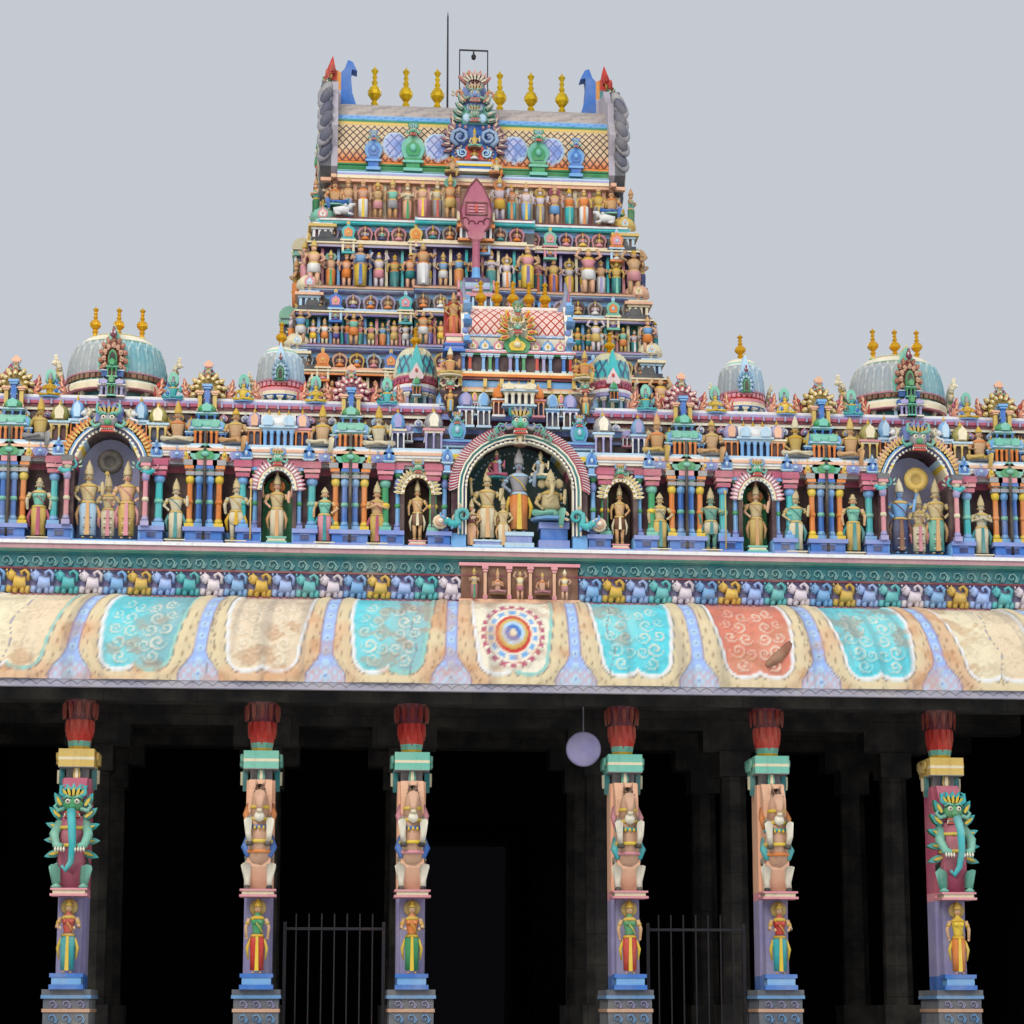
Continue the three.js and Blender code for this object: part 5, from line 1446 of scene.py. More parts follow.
def box_plinth(width):
    """Box plinth with a cap and a small dark recess, 0.32 high."""
    return merged(
        block(0, 0, width, 0.34, 0.0, 0.07), block(0, 0, width * 0.9, 0.28, 0.07, 0.24, "mid"),
        block(0, 0, width * 1.04, 0.36, 0.24, 0.32), block(0, -0.13, width * 0.34, 0.04, 0.11, 0.2, "dark"),
        block(0, -0.135, width * 0.42, 0.03, 0.21, 0.235),
    )


PLINTH_PAINT = {"base": "peri", "mid": "blue", "dark": "navy"}


def parapet_columns():
    """Pilasters on box plinths between the niches, and along the side parapets."""
    batch = Batch("parapet_pilasters")
    tall = 11.72 - 10.42
    for x, half, _, _ in NICHES:
        inner, outer = (half + 0.4, half + 0.62) if x == 0.0 else (half + 0.12, half + 0.36)
        for side in (-1, 1):
            for way in (-1, 1) if x else (1,):
                if x == NARROW_X and way == -side:
                    continue
                middle = side * x + (side if x == 0.0 else way) * (inner + outer) / 2
                batch.add(box_plinth(0.46), (middle, PIER_FRONT - 0.03, FLOOR_Z), paint=PLINTH_PAINT)
                for reach, kind, wide in ((inner, 1 if x > 5 else 5, 1.0), (outer, 0 if x > 3 else 2, 1.5)):
                    place = side * x + (side if x == 0.0 else way) * reach
                    face = PIER_FRONT - (0.2 if kind == 1 else 0.05)
                    batch.add(COLUMN, (place, face, SHAFT_FOOT), 0, (wide, wide, tall), COLUMN_PAINTS[kind],
                              0.1)
                    if wide > 1:
                        for z0, size, tone in ((11.42, 0.26, "rose"), (11.52, 0.3, "pink"),
                                               (11.6, 0.34, "rose")):
                            batch.add(block(0, 0, size, size, 0, 0.075), (place, PIER_FRONT - 0.05, z0),
                                      paint=tone)
    for x in mirrored(CLUSTERS):
        batch.add(box_plinth(0.74), (x, PIER_FRONT - 0.03, FLOOR_Z), paint=PLINTH_PAINT)
        for reach, kind in ((-0.27, 3), (-0.1, 4), (0.1, 4), (0.27, 3)):
            batch.add(COLUMN, (x + reach, PIER_FRONT - 0.05, SHAFT_FOOT), 0, (1.15, 1.15, tall),
                      COLUMN_PAINTS[kind], 0.1)
            for z0, size, tone in ((11.44, 0.16, "grey"), (11.54, 0.18, "slate"),
                                   (11.63, 0.19, "pink" if kind == 4 else "grey")):
                batch.add(block(0, 0, size, size, 0, 0.07), (x + reach, PIER_FRONT - 0.06, z0), paint=tone)
        batch.add(pipe(x, PIER_FRONT - 0.17, 10.2, 12.3, 0.028), paint={"pipe": "dark"})
    for i, x in enumerate(mirrored([10.72, 10.95, 11.17])):
        batch.add(COLUMN, (x, PIER_FRONT - 0.05, SHAFT_FOOT), 0, (1.3, 1.3, tall), COLUMN_PAINTS[(i * 2) % 6],
                  0.1)
    for side in (-1, 1):
        turn = side * math.pi / 2
        for i in range(22):
            place = (side * 11.32, 0.7 + i * 0.44, 10.42)
            batch.add(PILASTER, place, turn, (0.13, 0.13, tall),
                      pilaster_paint(COLUMN_PAINTS[(i * 5) % 6]["shaft"], "rose"), 0.1)
    return batch


def moulded(batch, x0, x1, front, z0, z1, colours, depth=0.3, steps=(0.0, 0.04, 0.08, 0.04)):
    """Level mouldings in bands of different colours."""
    count = len(colours)
    for i, colour in enumerate(colours):
        low = z0 + (z1 - z0) * i / count
        high = z0 + (z1 - z0) * (i + 1) / count
        reach = steps[i % len(steps)]
        batch.add(box(x0 - reach, x1 + reach, front - reach, front + depth, low, high),
                  paint=colour)


def arch_outline(half, spring, rise, steps, low=0.0):
    """Points from the right foot over the top to the left foot."""
    points = [(half, spring - low)] if low else []
    points += arch_points(half, spring, rise, 0, 180, steps)
    return points + ([(-half, spring - low)] if low else [])


def leaf_plate():
    """Pointed leaf of a flame arch, one unit long, pointing up, with its root at the origin."""
    return merged(
        plate([(-0.16, 0.0), (0.16, 0.0), (0.24, 0.35), (0.2, 0.65), (0.02, 1.0), (-0.1, 0.8), (-0.22, 0.4)],
              -0.1, 0.06, "leaf", "edge"),
        plate([(-0.06, 0.1), (0.08, 0.1), (0.12, 0.4), (0.05, 0.72), (-0.08, 0.45)], -0.17, -0.08, "vein"),
    )


LEAF = leaf_plate()
BEAD = box(-0.8, 0.8, -0.8, 0.8, -0.8, 0.8)


def arch_frame(batch, x, half, spring, rise, y, bands, leaf, leaf_size, paint, foot=0.0, crowd=0.42, lean=0.0,
               start=0.0):
    """Mouldings, beads and a fringe of leaves round the head of a niche."""
    steps = 14 if half > 0.5 else 8
    reach = half
    depth = 0.0
    for width, colour, proud in bands:
        inner = arch_outline(reach, spring, rise + reach - half, steps, foot)
        outer = arch_outline(reach + width, spring, rise + reach + width - half, steps, foot)
        batch.add(arch_band(inner, outer, y - proud, y + 0.12), (x, 0, 0), paint=colour)
        reach += width
        depth = proud
    rise_out = rise + reach - half
    around = math.pi * (reach + rise_out) / 2
    count = max(9, int(around / (leaf_size * crowd)))
    for i in range(count):
        angle = math.pi * (i + 0.5) / count
        if abs(angle - math.pi / 2) < start:
            continue
        px, pz = reach * math.cos(angle), spring + rise_out * math.sin(angle)
        tilt = math.atan2(math.cos(angle) / reach, math.sin(angle) / rise_out)
        tilt += math.copysign(lean, math.cos(angle))
        turned_leaf = leaf.scaled(leaf_size).rotated(rotation_y(tilt))
        batch.add(turned_leaf, (x + px, y - depth + 0.03, pz), 0, 1, paint, 0.1)
    beads = int(around / 0.1)
    for i in range(beads):
        angle = math.pi * (i + 0.5) / beads
        mid = half + bands[0][0] * 0.5
        px = mid * math.cos(angle)
        pz = spring + (rise + bands[0][0] * 0.5) * math.sin(angle)
        batch.add(BEAD, (x + px, y - bands[0][2] - 0.01, pz), 0, 0.026, "ivory")


def lion_face():
    """Mask over an arch: bulging eyes, tusks, horns and a crest. One unit high, on y = 0."""
    parts = [
        ball((0, -0.05, 0.42), (0.3, 0.22, 0.26), 8, 6, "face"),
        ball((0, -0.24, 0.34), (0.12, 0.1, 0.1), 8, 4, "nose"),
        box(-0.2, 0.2, -0.25, -0.12, 0.16, 0.22, "lip"),
        box(-0.22, 0.22, -0.22, -0.1, 0.05, 0.1, "lip"),
        box(-0.16, 0.16, -0.2, -0.1, 0.1, 0.16, "dark"),
    ]
    for i in range(6):
        x = -0.15 + 0.06 * i
        parts.append(block(x, -0.2, 0.035, 0.04, 0.12, 0.17, "tooth"))
    for side in (-1, 1):
        parts.append(ball((side * 0.13, -0.22, 0.5), (0.085, 0.07, 0.085), 7, 4, "tooth"))
        parts.append(ball((side * 0.13, -0.285, 0.5), (0.035, 0.02, 0.035), 6, 3, "dark"))
        parts.append(limb([(side * 0.04, -0.22, 0.6), (side * 0.16, -0.2, 0.66), (side * 0.28, -0.12, 0.58)],
                          [0.03, 0.045, 0.02], 5, "brow"))
        parts.append(limb([(side * 0.18, -0.08, 0.62), (side * 0.36, -0.1, 0.74), (side * 0.34, -0.1, 0.94),
                           (side * 0.24, -0.08, 1.0)], [0.07, 0.06, 0.04, 0.015], 6, "horn"))
        parts.append(limb([(side * 0.22, -0.1, 0.3), (side * 0.42, -0.08, 0.24), (side * 0.52, -0.06, 0.38),
                           (side * 0.44, -0.06, 0.46)], [0.07, 0.07, 0.05, 0.03], 6, "brow"))
        parts.append(limb([(side * 0.19, -0.2, 0.16), (side * 0.24, -0.24, 0.04)], [0.03, 0.01], 5, "tooth"))
    for angle in (-0.6, -0.3, 0.0, 0.3, 0.6):
        tip = LEAF.scaled(0.42).rotated(rotation_y(angle)).moved(0.28 * math.sin(angle), -0.02, 0.64)
        parts.append(tip)
    return merged(parts)


LION_FACE = lion_face()


def makara():
    """Scrolled sea beast at the foot of an arch, facing -X, one unit long, on y = 0."""
    tail = []
    for i in range(10):
        angle = math.radians(200 - 48 * i)
        radius = 0.3 * (1 - i / 13)
        tail.append((0.28 + radius * math.cos(angle), -0.12, 0.62 + radius * math.sin(angle)))
    return merged(
        limb([(-0.3, -0.16, 0.3), (-0.08, -0.18, 0.22), (0.1, -0.16, 0.3), *tail],
             [0.15, 0.17, 0.14] + [0.12 - 0.009 * i for i in range(10)], 7, "body"),
        ball((-0.36, -0.18, 0.36), (0.17, 0.14, 0.15), 7, 5, "body"),
        limb([(-0.42, -0.18, 0.42), (-0.6, -0.2, 0.52), (-0.66, -0.18, 0.66), (-0.58, -0.18, 0.72)],
             [0.08, 0.06, 0.04, 0.025], 6, "horn"),
        limb([(-0.4, -0.18, 0.28), (-0.58, -0.2, 0.24)], [0.07, 0.03], 6, "horn"),
        ball((-0.38, -0.31, 0.44), (0.045, 0.03, 0.045), 6, 3, "tooth"),
        *[LEAF.scaled(0.26).rotated(rotation_y(a)).moved(x, -0.1, z)
          for a, x, z in ((0.2, -0.15, 0.42), (0.6, 0.62, 0.7), (1.2, 0.6, 0.5), (-0.3, 0.2, 0.9))],
        limb([(-0.12, -0.2, 0.18), (-0.2, -0.24, 0.02)], [0.06, 0.05], 6, "horn"),
        limb([(0.12, -0.18, 0.2), (0.14, -0.22, 0.02)], [0.06, 0.05], 6, "horn"),
    )


MAKARA = makara()
FACE_PAINT = {"face": "turquoise", "nose": "green", "lip": "red", "dark": "dark", "tooth": "ivory",
              "brow": "sea", "horn": "sky", "leaf": "peach", "edge": "rose", "vein": "straw"}


def rampant():
    """Small rearing beast facing -X, one unit high."""
    return merged(
        limb([(0.12, 0, 0.12), (0.06, 0, 0.42), (-0.04, -0.02, 0.66)], [0.14, 0.15, 0.12], 5, "coat"),
        ball((-0.1, -0.03, 0.8), (0.13, 0.11, 0.12), 6, 4, "coat"),
        ball((-0.22, -0.03, 0.77), (0.06, 0.06, 0.05), 5, 3, "coat"),
        limb([(0.0, 0, 0.66), (0.12, 0, 0.86), (0.0, 0, 1.02)], [0.13, 0.1, 0.02], 5, "mane"),
        limb([(-0.02, -0.1, 0.56), (-0.24, -0.12, 0.52), (-0.26, -0.12, 0.4)], [0.06, 0.05, 0.045], 4,
             "coat"),
        limb([(0.1, -0.1, 0.22), (-0.1, -0.12, 0.16), (-0.12, -0.12, 0.0)], [0.08, 0.06, 0.05], 4, "coat"),
        limb([(0.18, 0, 0.14), (0.32, 0, 0.3), (0.26, 0, 0.6), (0.34, 0, 0.74)], [0.05, 0.045, 0.05, 0.02], 4,
             "mane"),
    )


RAMPANT = rampant()


FLAME = merged(
    plate([(-0.09, 0.0), (0.09, 0.0), (0.13, 0.4), (0.1, 0.75), (0.2, 0.95), (-0.06, 0.9), (-0.13, 0.5)],
          -0.12, 0.06, "leaf", "edge"),
    plate([(-0.13, 0.1), (-0.09, 0.08), (-0.09, 0.5), (-0.03, 0.92), (-0.08, 0.92), (-0.15, 0.52)], -0.2,
          -0.1, "edge"),
)


def mask_paint(**changes):
    return {**FACE_PAINT, **changes}


def niche_heads():
    """Arches, masks and sea beasts round the niches, and the niches' painted backs."""
    batch = Batch("parapet_niche_arches")
    red_flame = {"leaf": hue(rose=0.7, red=0.25), "edge": "white"}
    sun_leaf = leaf_paint("orange", "brown", "straw")
    blue_leaf = leaf_paint("sky", "lilac", "white")
    arch_frame(batch, 0.0, 1.0, 11.3, 0.9, -0.5,
               [(0.03, "ivory", 0.03), (0.035, "navy", 0.02), (0.03, "ivory", 0.05), (0.045, "teal", 0.03),
                (0.03, "ivory", 0.06)],
               FLAME, 0.2, red_flame, foot=0.9, crowd=0.26, lean=0.5, start=0.2)
    mask = mask_paint(face="sea", leaf="grey", edge="slate", horn="teal", brow="grey")
    batch.add(LION_FACE, (0, -0.6, 12.3), 0, 0.56, mask)
    batch.add(SEATED_SMALL[0], (0, -0.62, 12.12), 0, 0.5,
              {**figure_paint(batch.draw), "skin": "cream", "chest": "cream", "cloth": "ivory"})
    for side in (-1, 1):
        for x, z, size in ((0.34, 12.3, 0.3), (0.5, 12.16, 0.24)):
            batch.add(SCROLL.scaled(side, 2, 1), (side * x, -0.58, z), 0, size, {"leaf": "sea"})
    for side in (-1, 1):
        batch.add(MAKARA.scaled(-side, 1, 1), (side * 1.2, -0.56, 10.46), 0, 0.46,
                  {"body": "turquoise", "horn": "sky", "tooth": "ivory", "leaf": "cream", "edge": "pink",
                   "vein": "peach"})
        for radius, colour in ((0.15, "cream"), (0.1, "peach"), (0.05, "ivory")):
            batch.add(turned([(radius, 0.0), (radius * 0.9, 0.05)], 10).rotated(rotation_x(math.pi / 2)),
                      (side * 1.5, -0.56 - (0.15 - radius), 10.62), paint=colour)
        for niche_side, mirror in ((-0.72, 1), (0.72, -1)):
            batch.add(MAKARA.scaled(mirror, 1, 1), (side * WIDE_X + niche_side, -0.52, 11.36), 0, 0.34,
                      {"body": "turquoise", "horn": "pink", "tooth": "ivory", "leaf": "sea", "edge": "teal",
                       "vein": "cream"})
        arch_frame(batch, side * WIDE_X, 0.61, 11.45, 0.8, -0.48,
                   [(0.04, "violet", 0.0), (0.05, "navy", 0.03), (0.03, "ivory", 0.05), (0.035, "sky", 0.03)],
                   LEAF, 0.2, sun_leaf if side < 0 else {**sun_leaf, "leaf": "peach"}, crowd=0.34, start=0.4)
        batch.add(LION_FACE, (side * WIDE_X, -0.55, 12.16), 0, 0.6,
                  mask_paint(face="grey", leaf="peri", edge="blue", brow="sea", horn="sea"))
        batch.add(block(0, 0, 0.5, 0.3, 0, 0.3), (side * WIDE_X, -0.3, 12.42), paint="peri")
        for dx in (-0.4, 0.4):
            batch.add(RAMPANT.scaled(-1 if dx > 0 else 1, 1, 1), (side * WIDE_X + dx, -0.42, 12.2), 0, 0.5,
                      {"coat": "white", "mane": "cream"})
        arch_frame(batch, side * MIDDLE_X, 0.29, 11.18, 0.38, -0.48,
                   [(0.04, "ice", 0.03), (0.04, "cream", 0.05)], LEAF, 0.17, {**blue_leaf, "leaf": "pink"},
                   crowd=0.34, start=0.3)
        arch_frame(batch, side * NARROW_X, 0.255, 11.15, 0.33, -0.48,
                   [(0.04, "straw", 0.03), (0.03, "cream", 0.05)], LEAF, 0.14,
                   leaf_paint("cream", "sea", "straw"))
        for x, z, size in ((MIDDLE_X, 11.62, 0.36), (NARROW_X, 11.54, 0.28)):
            batch.add(LION_FACE, (side * x, -0.52, z), 0, size, mask_paint(face="sea"))
    backs = {0.0: hue(teal=0.3, dark=0.5), NARROW_X: hue(brown=0.42),
             MIDDLE_X: hue(green=1.2), WIDE_X: hue(lilac=0.9, ice=0.35)}
    depths = {0.0: 0.36, NARROW_X: 0.12, MIDDLE_X: 0.14, WIDE_X: 0.27}
    for x, half, spring, rise in NICHES:
        for side in ((-1, 1) if x else (1,)):
            depth = depths[x]
            outline = [(-half + 0.01, 10.19), (half - 0.01, 10.19)]
            outline += arch_points(half - 0.01, spring, rise - 0.01)
            batch.add(plate(outline, depth - 0.5 + 0.34, depth - 0.5 + 0.36), (side * x, 0, 0),
                      paint=backs[x], recess_shade=0.0)
            if x == 0.0:
                for i in range(40):
                    angle = math.radians(-24 + 228 * i / 39)
                    place = (0.88 * math.cos(angle), depth - 0.18, spring + 0.86 * math.sin(angle))
                    batch.add(BEAD, place, 0, 0.02, "ice")
    return batch


def stepped_base(width, depth, height):
    return merged(
        block(0, 0, width, depth, 0, height * 0.3),
        block(0, 0, width * 0.86, depth * 0.86, height * 0.3, height * 0.75, "mid"),
        block(0, 0, width * 0.98, depth * 0.96, height * 0.75, height),
    )


def niche_people():
    """Groups in the wide niches, single figures in the others and between the pilasters."""
    batch = Batch("parapet_niche_figures")
    draw = batch.draw
    grand = standing(9, "bless", "tall", "long", True, four_arms=True, halo=False)
    calm = standing(9, "hip", "tall", "long", True)
    lady = standing(9, "offer", "tall", "long", True, woman=True)
    four = standing(9, "bless", "tall", "long", True, four_arms=True)
    old_gold = hue(straw=0.4, cream=0.42)
    gold = {"skin": old_gold, "chest": old_gold, "cloth": "cream", "sash": "tan", "gold": "straw",
            "crown": old_gold,
            "lips": "red", "white": "ivory", "dark": "dark", "halo": "orange", "base": "sky"}
    blue = {**gold, "skin": "sky", "chest": "sky", "cloth": "straw", "sash": "brown", "crown": "cream"}
    grey_blue = {**blue, "skin": hue(grey=0.6, sky=0.3), "chest": "grey", "cloth": "orange", "sash": "yellow",
                 "crown": "grey", "gold": "ice"}
    fair = {**gold, "skin": "peach", "chest": "skin", "cloth": "turquoise", "sash": "pink"}
    base = stepped_base(0.62, 0.36, 1.0)
    for x, person, tall, paint, lift in ((-0.6, four, 1.42, gold, 0.14), (0.0, grand, 1.66, grey_blue, 0.3)):
        size = tall / CROWNED
        batch.add(person, (x, -0.34, NICHE_FLOOR + lift), 0, (size * 1.22, size * 1.15, size), paint)
        batch.add(base, (x, -0.3, NICHE_FLOOR), 0, (0.9, 1, lift), base_paint("ice", "peri"))
    for x, size, paint in ((-0.9, 0.8, {**gold, "skin": "tan", "cloth": "peach", "chest": "maroon"}),
                           (-0.3, 0.86, gold)):
        batch.add(calm, (x, -0.4, NICHE_FLOOR), 0, (size * 1.1, size, size), paint)
    broad = merged(seated(9, "bless", "low", True, belly=0.05, one_leg=True),
                   elephant_head().moved(0, -0.03, -0.44))
    batch.add(broad, (0.6, -0.36, 10.76), 0, (1.55, 1.5, 1.4), {**gold, "cloth": "sea"})
    batch.add(base, (0.66, -0.3, NICHE_FLOOR), 0, (0.95, 1, 0.5), base_paint("peri", "blue"))
    for x, chest in ((-0.42, "rose"), (0.42, "cream")):
        batch.add(SEATED_SMALL[0], (x, -0.3, 11.56), 0, 0.84,
                  {**gold, "skin": chest, "chest": chest, "cloth": chest, "base": "teal"})
    for side in (-1, 1):
        x = side * WIDE_X
        second = fair if side < 0 else {**blue, "cloth": "navy"}
        for dx, person, tall, paint in ((-0.34, four, 1.5, {**gold, "cloth": "ice"} if side < 0 else second),
                                        (0.03, lady, 1.22, {**gold, "sash": "pink"}),
                                        (0.37, calm, 1.5, {**fair, "cloth": "straw"} if side < 0
                                         else {**gold, "cloth": "sea"})):
            size = tall / CROWNED
            batch.add(person, (x + dx, -0.34, 10.22), 0, (size * 1.22, size * 1.15, size), paint)
            for i in range(5):
                batch.add(block(0, 0, 0.15, 0.17, 0, 0.018), (x + dx, -0.34, 10.32 + i * 0.09),
                          paint=["ivory", "brown"][i % 2])
        disc = turned([(0.2, 0.0), (0.24, 0.02), (0.24, 0.05), (0.12, 0.06), (0.1, 0.02)], 14, "halo")
        disc = disc.rotated(rotation_x(math.pi / 2))
        batch.add(disc, (x + 0.03, -0.2, 11.72), paint={"halo": "dark" if side < 0 else "straw"})
        batch.add(standing(8, "bless", "tall", "long", True, four_arms=True, halo=True),
                  (side * MIDDLE_X, -0.36, 10.24), 0, (1.3, 1.2, 1.12),
                  {**gold, "skin": "peach", "cloth": "straw" if side > 0 else "cream"})
        batch.add(base, (side * MIDDLE_X, -0.36, NICHE_FLOOR), 0, (0.62, 0.8, 0.12),
                  base_paint("sea", "cream"))
        batch.add(standing(8, "hip", "tall", "short", True), (side * NARROW_X, -0.36, 10.28), 0,
                  1.2 / CROWNED, {**gold, "skin": "tan", "chest": "tan", "cloth": "brown", "sash": "cream"})
        batch.add(base, (side * NARROW_X, -0.36, NICHE_FLOOR), 0, (0.56, 0.8, 0.1),
                  base_paint("pink", "cream"))
    variants = [standing(8, pose, crown, dress, True, woman=woman) for pose, crown, dress, woman in (
        ("pray", "tall", "long", False), ("hip", "low", "long", True), ("staff", "tall", "short", False),
        ("bless", "tall", "long", False), ("rest", "bun", "long", True))]
    for i, x in enumerate(mirrored(LOW_FIGURES)):
        skin = draw.choice([old_gold, hue(sea=0.7), COLOURS["skin"], hue(cream=0.8)])
        paint = {**gold, "skin": skin, "chest": draw.choice([skin, skin, COLOURS["sea"]]),
                 "cloth": draw.choice(
            ["cream", "sea", "straw", "pink", "cream"]), "sash": draw.choice(["rose", "teal", "gold"])}
        size = draw.uniform(1.0, 1.12)
        batch.add(variants[i % 5], (x, -0.44, 10.19), 0, (size * 1.25, size * 1.1, size), paint)
        batch.add(stepped_base(0.4, 0.34, 1.0), (x, -0.4, FLOOR_Z), 0, (1, 1, 0.08),
                  base_paint("cream", "grey"))
    for side in (-1, 1):
        for i in range(7):
            batch.add(SMALL_PEOPLE[(i * 3) % 10], (side * 11.42, 1.3 + i * 1.32, 10.32), side * math.pi / 2,
                      1.05, figure_paint(draw))
    return batch


def aedicule():
    """Tower-like shrine, one unit wide: short columns under an eave, then a small dome."""
    return merged(
        block(0, 0, 1.0, 0.7, 0.0, 0.12, "wall"), block(0, 0, 0.66, 0.42, 0.12, 0.62, "dark"),
        *[turned([(0.06, 0.12), (0.045, 0.3), (0.045, 0.52), (0.075, 0.62)], 6, "column").moved(x, -0.24, 0)
          for x in (-0.4, -0.14, 0.14, 0.4)],
        block(0, 0, 1.04, 0.74, 0.62, 0.7, "trim"),
        upright([(0.7, 0.8, 0.6), (0.82, 0.64, 0.44)], 4, "eave", smooth=False, spin=math.pi / 4),
        turned([(0.2, 0.84), (0.17, 0.92), (0.3, 0.98), (0.31, 1.08), (0.22, 1.24), (0.08, 1.32)], 8, "dome"),
        turned([(0.07, 1.32), (0.04, 1.36), (0.075, 1.42), (0.03, 1.5), (0.0, 1.62)], 6, "gold"),
        KUDU.scaled(0.42).moved(0, -0.36 * 0.74, 0.78),
    )


AEDICULE = aedicule()


def pavilion(columns=3, roof="dome"):
    """Small open pavilion, one unit wide: short columns before a core painted dark as painted shade of its
    inside, under a dome or a barrel.
    """
    parts = [
        block(0, 0, 1.06, 0.7, 0, 0.1, "trim"), block(0, 0.06, 0.7, 0.4, 0.1, 0.72, "dark"),
        block(0, 0, 0.98, 0.62, 0.72, 0.8, "wall"), block(0, 0, 1.16, 0.78, 0.8, 0.88, "trim"),
    ]
    for i in range(columns):
        x = -0.4 + 0.8 * i / (columns - 1)
        column = turned([(0.085, 0.1), (0.06, 0.22), (0.06, 0.6), (0.1, 0.72)], 5, "column")
        parts.append(column.moved(x, -0.26, 0))
    if roof == "dome":
        parts.append(turned([(0.4, 0.88), (0.34, 0.94), (0.5, 1.06), (0.5, 1.18), (0.36, 1.42), (0.12, 1.54)],
                            8, "dome"))
        parts.append(turned([(0.08, 1.52), (0.12, 1.6), (0.03, 1.7), (0.0, 1.86)], 5, "gold"))
        parts.append(plate([(x, z + 0.94) for x, z in arch_plate(0.5)], -0.5, -0.3, "wall"))
    else:
        section = [(0.34, 0.88)] + arch_points(0.36, 0.98, 0.36, 0, 180, 6) + [(-0.34, 0.88)]
        parts.append(plate(section, -0.52, 0.52, "dome", "dome").spun(math.pi / 2))
        parts += [plate([(x, z + 0.88) for x, z in arch_plate(0.34)], -0.44, -0.3, "wall").moved(x, 0, 0)
                  for x in (-0.32, 0.32)]
        parts += [small_finial(0.24, 0.06, 5).moved(x, 0, 1.3) for x in (-0.3, 0, 0.3)]
    return merged(parts)


PAVILION = pavilion()
PAVILION_LONG = pavilion(5, "barrel")
UPPER_FIGURES = [2.66, 3.72, 5.35, 6.43, 8.97, 10.06]
UPPER_PAVILIONS = [  # place, width, height, walls, dome, columns
    (6.8, 0.36, 0.5, "cream", "olive", "straw"), (8.62, 0.36, 0.5, "cream", "olive", "straw"),
    (7.12, 0.27, 0.56, "ice", "sky", "orange"), (8.3, 0.27, 0.56, "ice", "sky", "orange"),
    (5.0, 0.3, 0.46, "peach", "lilac", "orange"), (4.1, 0.3, 0.46, "peach", "lilac", "orange"),
    (2.3, 0.28, 0.5, "lilac", "sky", "white"), (1.62, 0.36, 0.52, "ivory", "grey", "lilac"),
    (10.46, 0.36, 0.5, "cream", "olive", "straw"), (10.84, 0.28, 0.56, "ice", "sky", "orange"),
]
TOP_GROUPS = [2.5, 3.86, 5.23, 6.56, 8.86, 10.2]
SHRINE_Z = 12.01
DECK_Z = 13.0


